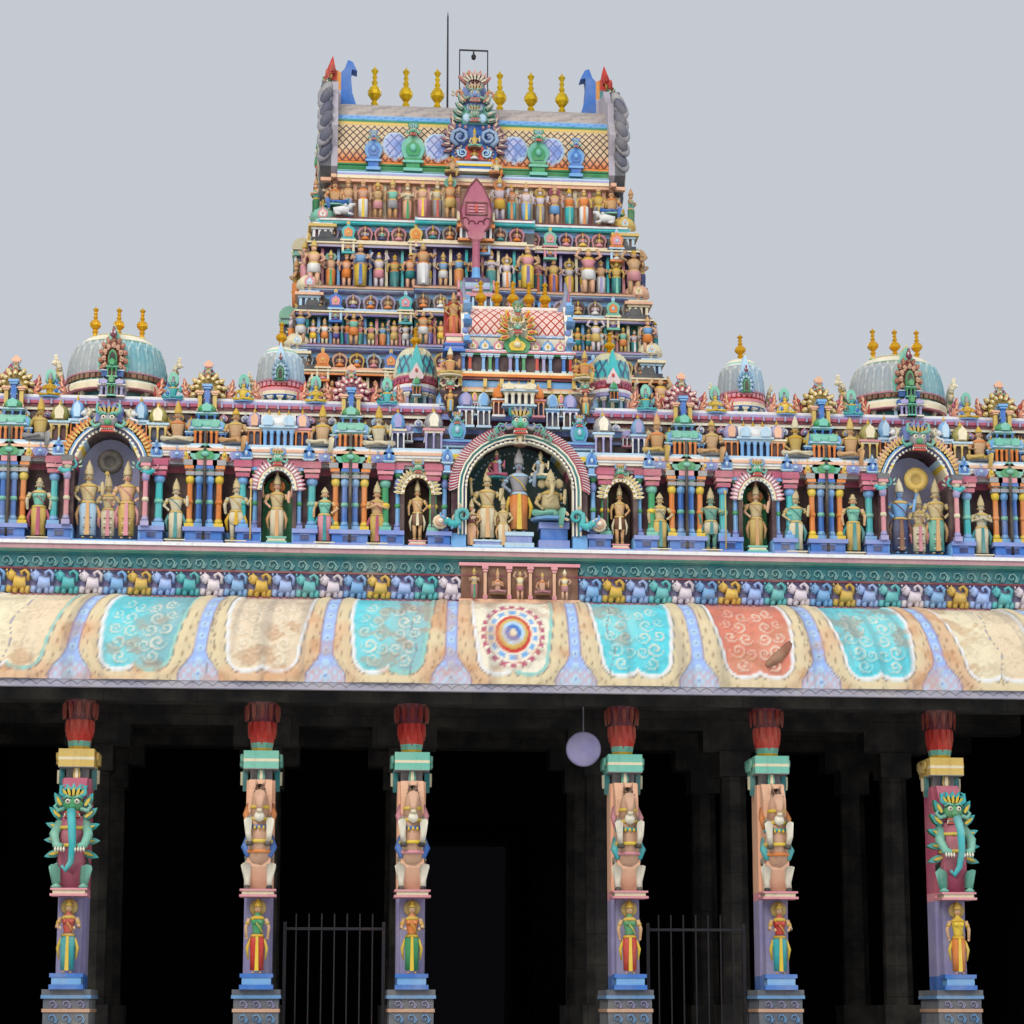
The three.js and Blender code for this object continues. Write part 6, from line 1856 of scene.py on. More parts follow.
def parapet_top():
    """Shrines and seated figures over the niche cornice, and the row of beasts on the deck."""
    shrines = Batch("parapet_shrines")
    draw = shrines.draw
    for level, front, height, colours in (
        (11.66, -0.42, 0.13, ("grey", "pink")), (11.8, -0.5, 0.2, ("ivory", "white", "peach", "white")),
        (12.35, 0.06, 0.2, ("peri", "wine", "sky")),
        (12.54, 0.03, 0.26, ("peri", "white", "maroon", "lilac")),
        (12.74, -0.08, 0.3, ("ivory", "maroon", "rose", "lilac", "white")),
    ):
        runs = ((1.5, 11.3),) if level > 12 else ((1.5, 6.84), (8.56, 11.3))
        for x0, x1 in [*runs, *[(-x1, -x0) for x0, x1 in runs]]:
            moulded(shrines, x0, x1, front, level, level + height, colours, 0.2, (0.0, 0.02, 0.04, 0.02))
        if level > 12.7:
            moulded(shrines, -11.3, 11.3, -0.02, level + 0.06, level + 0.2, ("maroon", "peri", "white"), 0.2,
                    (0.0, 0.02, 0.04))
    for side in (-1, 1):
        for x, width, tall, wall, dome, column in UPPER_PAVILIONS:
            shrines.add(PAVILION, (side * x, -0.28, SHRINE_Z), 0, (width, width, tall), {
                **shrine_paint(draw, wall), "trim": draw.choice(["cream", "ice", "pink"]), "dome": dome,
                "column": column}, 0.12)
        moulded(shrines, *sorted((side * 0.9, side * 1.62)), -0.22, 12.16, 12.3, ("ice", "violet", "sky"),
                0.2, (0.0, 0.03, 0.05))
        shrines.add(KUDU, (side * 1.17, -0.28, 12.3), 0, (0.34, 0.8, 0.42),
                    kudu_paint("sky", "turquoise", "ice"))
        shrines.add(LION_FACE, (side * 1.17, -0.26, 12.58), 0, 0.26, mask_paint(face="sky"))
        shrines.add(PAVILION_LONG, (side * MIDDLE_X, -0.22, 11.95), 0, (0.62, 0.6, 0.56),
                    shrine_paint(draw, "ice", dome="white", column="sky"))
        for i, x in enumerate(UPPER_FIGURES):
            skin = COLOURS[draw.choice(["skin", "cream", "tan", "straw"])] * 0.85
            shrines.add(SEATED_LARGE[(i + (side > 0)) % 3], (side * x, -0.34, 12.07), 0, (1.3, 1.2, 1.12), {
                **figure_paint(draw), "skin": skin, "chest": skin,
                "cloth": draw.choice(["cream", "straw", "grey", "tan"]), "base": "slate"})
            shrines.add(PLINTH_BLOCK, (side * x, -0.22, 11.99), 0, (0.5, 0.4, 0.1), "ivory")
            shrines.add(flat_face([(px * 0.66, pz * 0.75) for px, pz in arch_plate()], 0),
                        (side * x, -0.05, 12.07), paint=hue(wine=0.7))
        for x in CLUSTERS:
            place = side * x
            colours = shrine_paint(draw, "sea", dome="sea", trim="ice", column="blue")
            shrines.add(PAVILION_LONG, (place, -0.26, SHRINE_Z), 0, (0.5, 0.5, 0.42),
                        {**colours, "column": "orange"})
            for dx in (-0.28, 0.28):
                shrines.add(PAVILION, (place + dx, -0.3, SHRINE_Z), 0, (0.2, 0.24, 0.34),
                            {**colours, "wall": "sky"})
            shrines.add(PAVILION, (place, -0.2, 12.43), 0, (0.38, 0.38, 0.3), {**colours, "dome": "green"})
            shrines.add(PILASTER, (place, -0.22, 12.76), 0, (0.11, 0.12, 0.5), pilaster_paint("blue", "sky"))
            for dx in (-0.14, 0.14):
                shrines.add(PILASTER, (place + dx, -0.18, 12.74), 0, (0.09, 0.1, 0.4),
                            pilaster_paint("straw", "peach"))
            shrines.add(KUDU, (place, -0.52, 11.71), 0, (0.56, 0.8, 0.3), kudu_paint("sea", "green", "sea"))
            for dx in (-0.36, 0.36):
                shrines.add(KUDU, (place + dx, -0.5, 11.71), 0, (0.17, 0.8, 0.26),
                            kudu_paint("orange", "straw", "yellow"))
        for x, half, _, _ in NICHES[1:]:
            for way in (-1, 1):
                place = side * x + way * (half + 0.3)
                shrines.add(KUDU, (place, -0.54, 11.73), 0, (0.22, 0.8, 0.32),
                            kudu_paint("sky", "blue", "ice"))
                shrines.add(PILASTER, (place, -0.5, 11.58), 0, (0.14, 0.1, 0.2), pilaster_paint("sky", "ice"))
        for x in LOW_FIGURES:
            shrines.add(KUDU, (side * x, -0.53, 11.74), 0, (0.3, 0.8, 0.2),
                        kudu_paint("lilac", "peri", "ice"))
        for i in range(24):
            x = 1.7 + 0.41 * i
            tone = ["straw", "sky", "pink", "sea", "cream", "lilac"][(i * 5) % 6]
            shrines.add(PAVILION, (side * x, -0.1, 12.26), 0, (0.2, 0.2, 0.22),
                        shrine_paint(draw, tone, dome=tone, column="white"), 0.1)
            shrines.add(KUDU, (side * (x + 0.2), -0.12, 12.58), 0, (0.16, 0.5, 0.14),
                        kudu_paint(["white", "pink", "ice", "straw"][i % 4], "peri", "ivory"))
        for i in range(46):
            shrines.add(block(0, 0, 0.035, 0.06, 0, 0.1), (side * (1.6 + 0.212 * i), -0.13, 12.84),
                        paint=hue(lilac=0.6, ice=0.2))
    beasts = Batch("parapet_beasts")
    draw = beasts.draw
    for side in (-1, 1):
        for i, x in enumerate(TOP_GROUPS):
            robe = ["turquoise", "yellow", "yellow", "turquoise", "gold", "sea"][i]
            paint = {**figure_paint(draw), "skin": robe, "chest": robe, "cloth": robe, "crown": "grey",
                     "base": "sky"}
            beasts.add(SEATED_SMALL[i % 3], (side * x, -0.02, DECK_Z), 0, (0.86, 0.8, 0.66), paint)
            beasts.add(ball((0, 0, 0), (0.11, 0.05, 0.17), 8, 4, "halo"), (side * x, 0.06, 13.4),
                       paint={"halo": hue(slate=1.3)})
            beasts.add(plate([(0.1 * math.sin(a), 0.15 * math.cos(a)) for a in np.linspace(0, TAU, 11)[:-1]],
                             0.0, 0.02, "halo"),
                       (side * x, 0.02, 13.42), paint={"halo": "sea"})
            for dx in (-0.24, 0.24):
                coat = hue(red=0.45, peach=0.5)
                beasts.add(RAMPANT.scaled(1 if dx > 0 else -1, 1, 1), (side * x + dx, 0.0, DECK_Z), 0, 0.36,
                           {"coat": coat, "mane": draw.choice(["rose", "peach", "red"])}, 0.12)
                for k in range(3):
                    tip = LEAF.scaled(0.15, 0.5, 0.17).rotated(rotation_y(math.copysign(0.9 - 0.5 * k, -dx)))
                    beasts.add(tip, (side * x + dx * (1.15 - 0.12 * k), 0.02, 13.1 + 0.09 * k), 0, 1,
                               leaf_paint(hue(red=0.6, peach=0.3), "rose", "peach"), 0.12)
        for x in CLUSTERS:
            tones = leaf_paint("straw", "olive", "cream")
            if x == 3.19:
                tones = leaf_paint("pink", "rose", "ivory")
            beasts.add(plate(arch_plate(0.46), -0.02, 0.1), (side * x, -0.02, DECK_Z), paint=tones["leaf"])
            beasts.add(plate(arch_plate(0.26), -0.05, -0.02), (side * x, -0.02, 13.02), paint="ice")
            beasts.add(PAVILION, (side * x, -0.2, 12.98), 0, (0.12, 0.14, 0.16),
                       shrine_paint(draw, "blue", dome="blue", column="sky"))
            for ring, size in ((0.25, 0.12), (0.17, 0.1)):
                for i in range(9):
                    lean = math.radians(-112 + 28 * i)
                    tip = LEAF.scaled(size * 1.9, 0.4, size).rotated(rotation_y(lean))
                    beasts.add(tip, (side * x + ring * math.sin(lean), -0.02 - 0.1 * (ring < 0.2),
                                     13.22 + ring * math.cos(lean)), 0, 1,
                               tones, 0.1)
            beasts.add(LION_FACE, (side * x, -0.08, 13.46), 0, 0.2,
                       mask_paint(face="peach", leaf="rose", edge="pink"))
            beasts.add(plate([(-0.05, 0), (0.05, 0), (0.09, 0.12), (0, 0.2), (-0.09, 0.12)], -0.05, 0.02),
                       (side * x, -0.02, 13.6), paint="peach")
        for x in (1.45, MIDDLE_X - 0.62, MIDDLE_X + 0.62, 6.66, 8.74, 10.7, 11.0):
            beasts.add(KUDU, (side * x, -0.02, DECK_Z), 0, (0.22, 0.6, 0.3), kudu_paint("sky", "ice", "blue"))
        turn = side * math.pi / 2
        for i in range(22):
            paint = {**shrine_paint(draw), "column": draw.choice(["turquoise", "red", "blue"])}
            beasts.add(PAVILION if i % 2 else AEDICULE, (side * 11.25, 0.75 + i * 0.44, SHRINE_Z), turn, 0.4,
                       {**paint, "eave": "cream"})
    return shrines, beasts


# Domes with leaf relief, and the small shrine over the middle of the hall

def turned_copy(batch, source, turn, at):
    """Adds everything in one batch to another, turned about Z and moved."""
    matrix = rotation_z(turn).T
    for corners, loops, sizes, colours, smoothness in source.parts:
        batch.parts.append((corners @ matrix + at, loops, sizes, colours, smoothness))


DOME_Y = 0.9
BIG_DOME = {"x": 7.7, "neck": 13.2, "lip": 13.55, "top": 14.49, "radius": 0.94, "squash": 0.9}
SMALL_DOME = {"x": 4.55, "neck": 13.25, "lip": 13.58, "top": 14.36, "radius": 0.45, "squash": 1.0}
LATTICE_DOME = {"x": 1.925, "neck": 13.4, "lip": 13.72, "top": 14.4, "radius": 0.41, "squash": 1.0}
LEAF_SHARE = 0.6


def dome_sheet(name, dome, side, petals, rows, west, east, line, lattice=False):
    """Relief of upright leaves, or a lattice, over a dome."""
    climb = np.linspace(0, math.radians(79), rows)
    levels = dome["lip"] + (dome["top"] - dome["lip"]) * np.sin(climb)
    reach = dome["radius"] * np.cos(climb) ** 0.6
    a, v = np.meshgrid(np.linspace(0, TAU, 7 * petals + 1), np.linspace(0, 1, rows))
    share = (a * petals / TAU) % 1.0
    half = np.abs(share - 0.5) * 2
    if lattice:
        count = petals / 2
        masks = [np.abs(((a * count / TAU + sign * v * 2.6) % 1.0) - 0.5) for sign in (1, -1)]
        mark = smooth(np.maximum(*masks), 0.33, 0.41)
        window = smooth(np.abs(np.cos(a)), 0.22, 0.25) * smooth(0.9 - np.abs(np.cos(a)), 0.0, 0.03)
        window = window * smooth(v, 0.1, 0.13) * smooth(0.6 - v, 0.0, 0.03)
        relief = 0.016 * mark - 0.012 * window
    else:
        u = v / LEAF_SHARE
        leaf_height = 1.0 - 0.3 * half ** 1.6
        edge = smooth(0.1 - np.abs(u - leaf_height * 0.92), 0.0, 0.09) + smooth(half, 0.8, 0.95) * 0.9
        vein = smooth(0.18 - half, 0.0, 0.12) * (u < leaf_height)
        curls = smooth(np.cos((half * 1.3 + u * 4.6) * TAU), 0.1, 0.8) * (half > 0.16)
        mark = np.clip(0.7 * edge + 0.6 * vein - 0.5 * curls, 0, 1) * smooth(1.02 - u, 0.0, 0.03)
        relief = 0.035 * mark + 0.012 * (1 - half) * (u < 1)
    east_share = smooth(np.cos(a), -0.25, 0.25)[..., None]
    base = COLOURS[west] * (1 - east_share) + COLOURS[east] * east_share
    if lattice:
        colour = laid(laid(base, line, mark), hue(cream=0.75, sea=0.15), 1 - window)
        bands = ((0.02, "rose", 0.04), (0.66, "sea", 0.02), (0.95, "straw", 0.08))
    else:
        colour = laid(base * (0.72 + 0.5 * mark[..., None]), line, smooth(mark, 0.4, 1.0) * 0.6)
        colour = laid(colour, "ivory", smooth(v, LEAF_SHARE + 0.01, LEAF_SHARE + 0.03))
        bands = ((0.01, "rose", 0.02), (0.61, "leaf", 0.02), (0.66, "white", 0.02), (0.7, "sea", 0.02),
                 (0.74, "straw", 0.02),
                 (0.79, "yellow", 0.02), (0.85, "leaf", 0.02), (0.9, "straw", 0.02), (0.97, "ivory", 0.04))
    for level, tone, width in bands:
        colour = laid(colour, tone, smooth(width - np.abs(v - level), 0.0, 0.01))
    r = reach[:, None] + relief + 0.012
    grid = np.stack([side * dome["x"] + r * np.cos(a), DOME_Y + dome["squash"] * r * np.sin(a),
                     np.broadcast_to(levels[:, None], a.shape) + relief * v], axis=-1)
    return sheet(name, grid, colour, PAINT)


CRISP = plate([(-0.2, 0.0), (0.2, 0.0), (0.32, 0.3), (0.24, 0.5), (0.3, 0.75), (0.04, 1.0), (-0.2, 0.8),
               (-0.14, 0.55), (-0.3, 0.35)],
              -0.3, 0.2, "leaf", "edge")
CRISP_VEIN = plate([(-0.06, 0.15), (0.08, 0.15), (0.06, 0.8), (-0.06, 0.7)], -0.42, -0.28, "edge")


def dome_gable(leaves, size):
    """Pointed leaf gable with a niche, one unit high; its back on y = 0."""
    parts = [plate([(-0.34, 0.0), (0.34, 0.0), (0.36, 0.3), (0.24, 0.62), (0.0, 0.8), (-0.24, 0.62),
                    (-0.36, 0.3)], -0.08, 0.0, "face")]
    for ring, (wide, tall, foot, tone) in enumerate(((0.36, 0.4, 0.3, "leaf"), (0.24, 0.26, 0.28, "inner"))):
        for i in range(leaves - 2 * ring):
            angle = math.radians(-28 + 236 * i / (leaves - 2 * ring - 1))
            lean = (math.pi / 2 - angle) * 0.9 + math.copysign(0.3, math.cos(angle))
            place = (wide * math.cos(angle), -0.06 - 0.05 * ring, foot + tall * math.sin(angle))
            leaf = merged(CRISP.toned(tone), CRISP_VEIN).scaled(size * 1.5, size, size * (1 - 0.1 * ring))
            parts.append(leaf.rotated(rotation_y(lean)).moved(*place))
    parts.append(plate(arch_points(0.15, 0.24, 0.24) + [(-0.15, 0.0), (0.15, 0.0)], -0.2, -0.06, "niche"))
    # Dark plate inside the niche: painted shade.
    parts.append(plate(arch_points(0.1, 0.24, 0.18) + [(-0.1, 0.04), (0.1, 0.04)], -0.22, -0.19, "dark"))
    parts.append(ball((0, -0.16, 0.86), (0.13, 0.1, 0.1), 7, 4, "mask"))
    parts += [ball((s * 0.06, -0.25, 0.87), (0.035, 0.03, 0.04), 5, 3, "eye") for s in (-1, 1)]
    parts.append(CRISP.toned("mask").scaled(size * 1.4, size, size).moved(0, -0.1, 0.9))
    return merged(parts)


DOME_GABLE = dome_gable(11, 0.15)
DOME_GABLE_FAR = dome_gable(7, 0.2).rotated(rotation_x(0.22))
RED_GABLE = {"leaf": hue(red=0.6, peach=0.35), "inner": "peach", "edge": hue(peach=0.8),
             "face": hue(red=0.45), "niche": "green",
             "dark": "dark", "mask": hue(rose=0.6), "eye": "white"}
STONE_GABLE = {**RED_GABLE, "leaf": "cream", "inner": "straw", "edge": "grey", "face": hue(cream=0.75),
               "mask": "cream"}


def dome_dress():
    """Gables, small shrines and thin columns round the domes."""
    batch = Batch("dome_gables")
    draw = batch.draw
    for dome, high in ((BIG_DOME, 0.84), (SMALL_DOME, 0.52), (LATTICE_DOME, 0.42)):
        small = dome is not BIG_DOME
        for side in (-1, 1):
            x = side * dome["x"]
            for turn in (0.0, math.pi / 2, math.pi, -math.pi / 2):
                out = dome["radius"] * (1.0 if turn % math.pi else dome["squash"]) + (0.02 if turn else 0.04)
                place = (x + out * math.sin(turn), DOME_Y - out * math.cos(turn),
                         dome["lip"] - (0.02 if turn == 0.0 else 0.14))
                if dome is LATTICE_DOME and turn == 0.0:
                    batch.add(plate([(-0.3, -0.06), (0.3, -0.06), (0.34, 0.1), (0, 0.72), (-0.34, 0.1)], -0.1,
                                    0.1, "face", "edge"), place,
                              turn, high, {"face": hue(pink=0.4, white=0.6), "edge": "pink"})
                    batch.add(ball((0, -0.12, 0.34), (0.07, 0.06, 0.1), 8, 4, "jewel"), place, turn, high,
                              {"jewel": "red"})
                    batch.add(PAVILION, (x, place[1] - 0.1, 13.3), 0, (0.17, 0.24, 0.24),
                              shrine_paint(draw, "green", dome="sea", column="orange"))
                    continue
                paint = RED_GABLE if turn == 0.0 and not small else STONE_GABLE
                if dome is SMALL_DOME and turn == 0.0:
                    paint = {**RED_GABLE, "leaf": "sky", "inner": "ice", "edge": "ice", "face": "sea"}
                gable = DOME_GABLE if turn == 0.0 else DOME_GABLE_FAR
                tall = high * (1.0 if turn == 0.0 else 0.8)
                batch.add(gable, place, turn, (tall * (0.66 if turn == 0.0 else 0.5), tall, tall), paint, 0.1)
            front = DOME_Y - dome["radius"] * dome["squash"]
            if not small:
                base = shrine_paint(draw, "lilac", trim="ivory", dome="blue", column="lilac", dark="dark")
                batch.add(PAVILION_LONG, (x, front - 0.08, DECK_Z), 0, (0.46, 0.5, 0.27), base)
                green = shrine_paint(draw, "green", dome="leaf", column="green", trim="sea")
                batch.add(PAVILION, (x, front - 0.2, DECK_Z), 0, (0.16, 0.3, 0.27), green)
                batch.add(PAVILION, (x, front - 0.16, 13.38), 0, (0.19, 0.3, 0.24), green)
                for dx in (-0.14, 0.14):
                    batch.add(block(0, 0, 0.13, 0.08, 0, 0.1), (x + dx, front - 0.1, 13.42),
                              paint=hue(blue=0.6))
                    batch.add(block(0, 0, 0.17, 0.1, 0, 0.025), (x + dx, front - 0.1, 13.53), paint="ice")
            around = TAU * dome["radius"] * 0.95
            count = 12 if not small else 14
            for i in range(count):
                angle = TAU * (i + 0.5) / count
                reach = dome["radius"] * 0.9
                place = (x + reach * math.cos(angle), DOME_Y + reach * dome["squash"] * math.sin(angle),
                         13.02)
                batch.add(PILASTER, place, angle + math.pi / 2, (0.08, 0.07, dome["neck"] + 0.04 - 13.02),
                          pilaster_paint(["lilac", "cream", "ice"][i % 3], "ivory"))
            rim = int(around / (0.09 if small else 0.12))
            for i in range(rim):
                angle = TAU * (i + 0.5) / rim
                reach = dome["radius"]
                place = (x + reach * math.cos(angle), DOME_Y + reach * dome["squash"] * math.sin(angle),
                         dome["lip"] - 0.09)
                tone = "brown" if not small else ("pink" if dome is SMALL_DOME else "rose")
                batch.add(block(0, 0, 0.09 if not small else 0.06, 0.04, 0.0, 0.08), place, angle
                          + math.pi / 2, (1, 1, 1), COLOURS[tone] * draw.uniform(0.8, 1.3))
    return batch


def roof_sheet(name, centre_y, half_y, half_x, low, rise, turn, paint, columns, rows, material):
    """Painted relief over one slope of a barrel roof."""
    angles = np.linspace(math.radians(2), math.radians(80), rows)
    y = half_y * np.cos(angles) ** 0.8
    z = low + rise * np.sin(angles) ** 0.92
    heights = arc_heights(-y, z)
    x, h = np.meshgrid(np.linspace(-half_x, half_x, columns), heights)
    level = np.broadcast_to(((z - low) / rise)[:, None], x.shape)
    colour, relief, lattice = paint(x, h, level)
    lift = relief + 0.014
    out = y[:, None] + np.gradient(z, heights)[:, None] * lift
    up = z[:, None] - np.gradient(y, heights)[:, None] * lift
    grid = np.stack([x, -out, up], axis=-1) @ rotation_z(turn).T + (0, centre_y, 0)
    return sheet(name, grid, np.concatenate([colour, lattice[..., None]], axis=-1), material)


def lattice_paint(name, centre_y, wide, tall, bar, fine_bar, dot):
    """Painted roof with a diagonal lattice, drawn where the mesh asks for it."""
    nodes = Nodes(name)
    paint = nodes.add("ShaderNodeAttribute", attribute_name="Paint")
    parts = nodes.add("ShaderNodeSeparateXYZ", {0: nodes.place}).outputs
    climb = nodes.math("SUBTRACT", parts[2], nodes.math("ABSOLUTE",
                                                        nodes.math("SUBTRACT", parts[1], centre_y)))
    climb = nodes.math("MULTIPLY", climb, 0.75)

    def bars(size, width):
        masks = []
        for sign in (1.0, -1.0):
            run = nodes.math("MULTIPLY_ADD", parts[0], 1 / (wide * size))
            run.node.inputs[2].default_value = 40.0
            place = nodes.math("ADD", run, nodes.math("MULTIPLY", climb, sign / (tall * size)))
            masks.append(nodes.math("ABSOLUTE", nodes.math("SUBTRACT", nodes.math("FRACT", place), 0.5)))
        return masks, nodes.ramp(nodes.math("MAXIMUM", *masks), 0.5 - width, 0.5 - width + 0.05)

    masks, coarse = bars(1.0, 0.13)
    inner = nodes.math("SUBTRACT", 1.0, nodes.ramp(nodes.math("MAXIMUM", *masks), 0.1, 0.15))
    strong = nodes.ramp(paint.outputs["Alpha"], 0.6, 0.7)
    weak = nodes.math("MULTIPLY", nodes.ramp(paint.outputs["Alpha"], 0.1, 0.16),
                      nodes.math("SUBTRACT", 1.0, nodes.ramp(paint.outputs["Alpha"], 0.3, 0.4)))
    _, white = bars(1.25, 0.12)
    colour = nodes.mix(nodes.math("MULTIPLY", strong, coarse), paint.outputs["Color"], tuple(bar))
    colour = nodes.mix(nodes.math("MULTIPLY", nodes.math("MULTIPLY", strong, inner), 0.8), colour, tuple(dot))
    colour = nodes.mix(nodes.math("MULTIPLY", weak, white), colour, tuple(fine_bar))
    colour = weathered(nodes, colour, 0.35, fade=0.12)
    bars_height = nodes.math("MULTIPLY", nodes.math("MULTIPLY", strong, coarse), 1.0)
    height = nodes.math("ADD", bars_height, nodes.noise(42.0, 6.0))
    return nodes.finish(colour, 0.62, height, 0.012, 0.5)


SHRINE_ROOF_Y = 0.925


def shrine_roof_paint(x, _, level):
    colour = np.broadcast_to(hue(ivory=0.6, pink=0.4), (*x.shape, 3)).copy()
    edge = smooth(level, 0.84, 0.87)
    colour = laid(colour, "ivory", edge)
    colour = laid(colour, "sky", smooth(0.1 - level, 0.0, 0.02))
    lattice = ((level > 0.1) & (level < 0.84)) * 1.0
    return colour, 0.02 * edge, lattice


def centre_shrine_dress():
    """Mouldings, small shrines, masks and horns on the shrine over the middle niche."""
    batch = Batch("centre_shrine_carving")
    draw = batch.draw
    for z0, z1, half, front, tones in (
        (12.98, 13.1, 1.2, 0.06, ("lilac", "straw")),
        (13.28, 13.42, 1.2, 0.04, (hue(olive=0.5), "cream", "peach")),
        (13.43, 13.56, 1.22, 0.04, ("sky",)), (13.57, 13.73, 1.28, 0.0, ("maroon", "orange", "cream")),
        (14.08, 14.18, 1.12, 0.04, ("green", "pink", "white")),
    ):
        moulded(batch, -half, half, front, z0, z1, tones, 1.5, (0.0, 0.03, 0.02))
    for x in (-1.1, -0.62, -0.3, 0.3, 0.62, 1.1):
        batch.add(block(0, 0, 0.07, 0.08, 0, 0.16), (x, 0.0, 13.42), paint="straw")
    batch.add(flat_face([(-1.05, 13.73), (1.05, 13.73), (1.05, 14.1), (-1.05, 14.1)], 0.1),
              paint=hue(wine=0.8))
    for i in range(17):
        x = -1.04 + 0.13 * i
        if i % 4 == 2:
            continue
        batch.add(PILASTER, (x, 0.05, 13.73), 0, (0.07, 0.08, 0.36),
                  pilaster_paint(["blue", "lilac", "green", "red", "sky"][(i * 3) % 5], "ice"), 0.08)
    for x, size, tone in ((-0.85, 0.2, "pink"), (-0.62, 0.22, "sky"), (-0.36, 0.2, "pink"),
                          (0.36, 0.2, "pink"), (0.6, 0.22, "sky"), (0.84, 0.2, "pink")):
        batch.add(KUDU, (x, 0.02, 14.17), 0, (size, size, size), kudu_paint(tone, "ivory", "straw"))
    for x, wide, wall, dome in ((-1.0, 0.3, "lilac", "peri"), (-0.66, 0.27, "sky", "ice"),
                                (0.66, 0.27, "sky", "ice"),
                                (1.0, 0.3, "lilac", "peri"), (-0.83, 0.14, "pink", "yellow"),
                                (0.83, 0.14, "pink", "yellow")):
        tall = 0.46 if wide > 0.2 else 0.3
        batch.add(PAVILION, (x, -0.16, 12.55 if wide > 0.2 else 12.8), 0, (wide, wide, tall),
                  shrine_paint(draw, wall, column="white", dome=dome, trim="ice"))
    batch.add(PAVILION_LONG, (0, -0.3, 12.92), 0, (0.62, 0.6, 0.36),
              shrine_paint(draw, "cream", dome="ivory", column="ivory"))
    for x in (-0.38, 0.38):
        batch.add(PAVILION, (x, -0.24, 12.75), 0, (0.24, 0.3, 0.4),
                  shrine_paint(draw, "orange", dome="orange", column="peach"))
    old_gold = hue(orange=0.5, tan=0.4)
    stone = mask_paint(face=hue(green=0.5, grey=0.4), leaf="cream", edge="straw", nose="sea", horn="cream",
                       brow="cream")
    for side in (-1, 1):
        x = side * 1.3
        batch.add(SEATED_LARGE[side > 0], (x, -0.1, 13.6), 0, (1.0, 0.9, 0.78),
                  {**figure_paint(draw), "skin": old_gold, "chest": old_gold,
                  "cloth": "straw", "base": "cream"})
        batch.add(LION_FACE, (x, -0.1, 13.3), 0, 0.34, stone)
        batch.add(SMALL_PEOPLE[4], (x, -0.22, 12.86), 0, (0.5, 0.5, 0.42),
                  {**row_paint(draw, ["straw"]), "skin": "tan", "chest": "tan"})
        batch.add(flat_face([(-0.22, 13.3), (0.22, 13.3), (0.0, 12.72)], -0.12), (x, 0, 0),
                  paint=hue(wine=0.6))
    batch.add(KUDU, (0, -0.02, 14.12), 0, (0.52, 0.9, 0.36), kudu_paint("green", "yellow", "cream"))
    batch.add(LION_FACE, (0, -0.06, 14.46), 0, 0.36, {**stone, "leaf": "yellow", "edge": "leaf"})
    batch.add(turned([(0.09, 15.0), (0.06, 15.04), (0.1, 15.09), (0.05, 15.14)], 8).moved(0, -0.06, 0),
              paint=stone["face"])
    batch.add(LION_FACE, (0, -0.1, 14.82), 0, 0.26,
              {**stone, "leaf": "green", "edge": "grey", "horn": "green"})
    for side in (-1, 1):
        for i in range(5):
            tip = LEAF.scaled(0.2, 0.5, 0.2).rotated(rotation_y(side * (1.9 - 0.4 * i)))
            batch.add(tip, (side * (0.17 + 0.03 * (i % 2)), -0.04, 14.42 + 0.09 * i), 0, 1,
                      leaf_paint("yellow", "leaf", "red"))
        for i in range(9):
            angle = math.radians(-6 + 24 * i)
            tip = FLAME.scaled(0.36, 0.6, 0.3).rotated(rotation_y(math.pi / 2 - angle)).spun(math.pi / 2)
            place = (side * 1.0, SHRINE_ROOF_Y + 0.84 * math.cos(angle), 14.43 + 0.8 * math.sin(angle))
            batch.add(tip, place, 0, 1, {"leaf": "peri", "edge": "sky"}, 0.1)
        for i in range(5):
            angle = math.radians(8 + 16 * i)
            place = (side * 1.0, SHRINE_ROOF_Y - 0.84 * math.cos(angle), 14.46 + 0.76 * math.sin(angle))
            batch.add(ball((0, 0, 0), (0.075, 0.075, 0.085), 7, 4), place, paint=["peri", "sky"][i % 2])
        horn = limb([(side * 0.86, 0.5, 15.0), (side * 0.98, 0.5, 15.2), (side * 1.02, 0.52, 15.45),
                     (side * 1.0, 0.54, 15.75)],
                    [0.15, 0.11, 0.06, 0.02], 6, "horn")
        batch.add(horn, paint={"horn": hue(grey=0.5, peri=0.4)})
        edge = limb([(side * 0.92, 0.42, 15.0), (side * 1.04, 0.42, 15.2), (side * 1.07, 0.45, 15.5)],
                    [0.03, 0.035, 0.015], 5, "edge")
        batch.add(edge, paint={"edge": "rose"})
    tan = hue(tan=0.9)
    x = -1.22
    batch.add(standing(8, "bless", "tall", "long", True, four_arms=True), (x, 0.2, 14.48), 0,
              (0.92, 0.9, 0.76), {
        "skin": tan, "chest": tan, "cloth": "orange", "sash": "red", "gold": "gold", "crown": tan,
        "lips": "red", "white": "ivory", "dark": "dark", "halo": "red"})
    batch.add(stepped_base(0.34, 0.4, 1.0), (x, 0.2, 14.26), 0, (1, 1, 0.22), base_paint("pink", "cream"))
    batch.add(stepped_base(0.42, 0.5, 1.0), (x, 0.15, 14.1), 0, (1, 1, 0.16), base_paint("blue", "peri"))
    batch.add(block(0, 0, 0.3, 0.4, 0, 1.1), (x, 0.2, 13.0), paint="wine")
    batch.add(flat_face([(x - 0.2, 14.5), (x + 0.2, 14.5), (x + 0.18, 15.1), (x, 15.3), (x - 0.18, 15.1)],
                        0.3),
              paint=hue(red=0.6))
    return batch


# Top of the tower: neck figures, barrel roof, end gables, crests and spear

NECK = {"ledge": 21.12, "eave": 22.3, "half_x": 3.92, "half_y": 2.42}
ROOF = {"half_x": 3.45, "half_y": 2.08, "spring": 22.66, "rise": 2.2}
ROOF_BANDS = [
    (0.0, "yellow"), (0.02, None), (0.52, "straw"), (0.545, "leaf"), (0.57, "teal"), (0.59, "sea"),
    (0.605, "sky"), (0.65, "lilac"), (0.665, "stone"), (1.01, None),
]
MEDALLIONS = [(-2.0, 0.3), (-0.92, 0.34), (1.03, 0.34), (2.0, 0.3)]


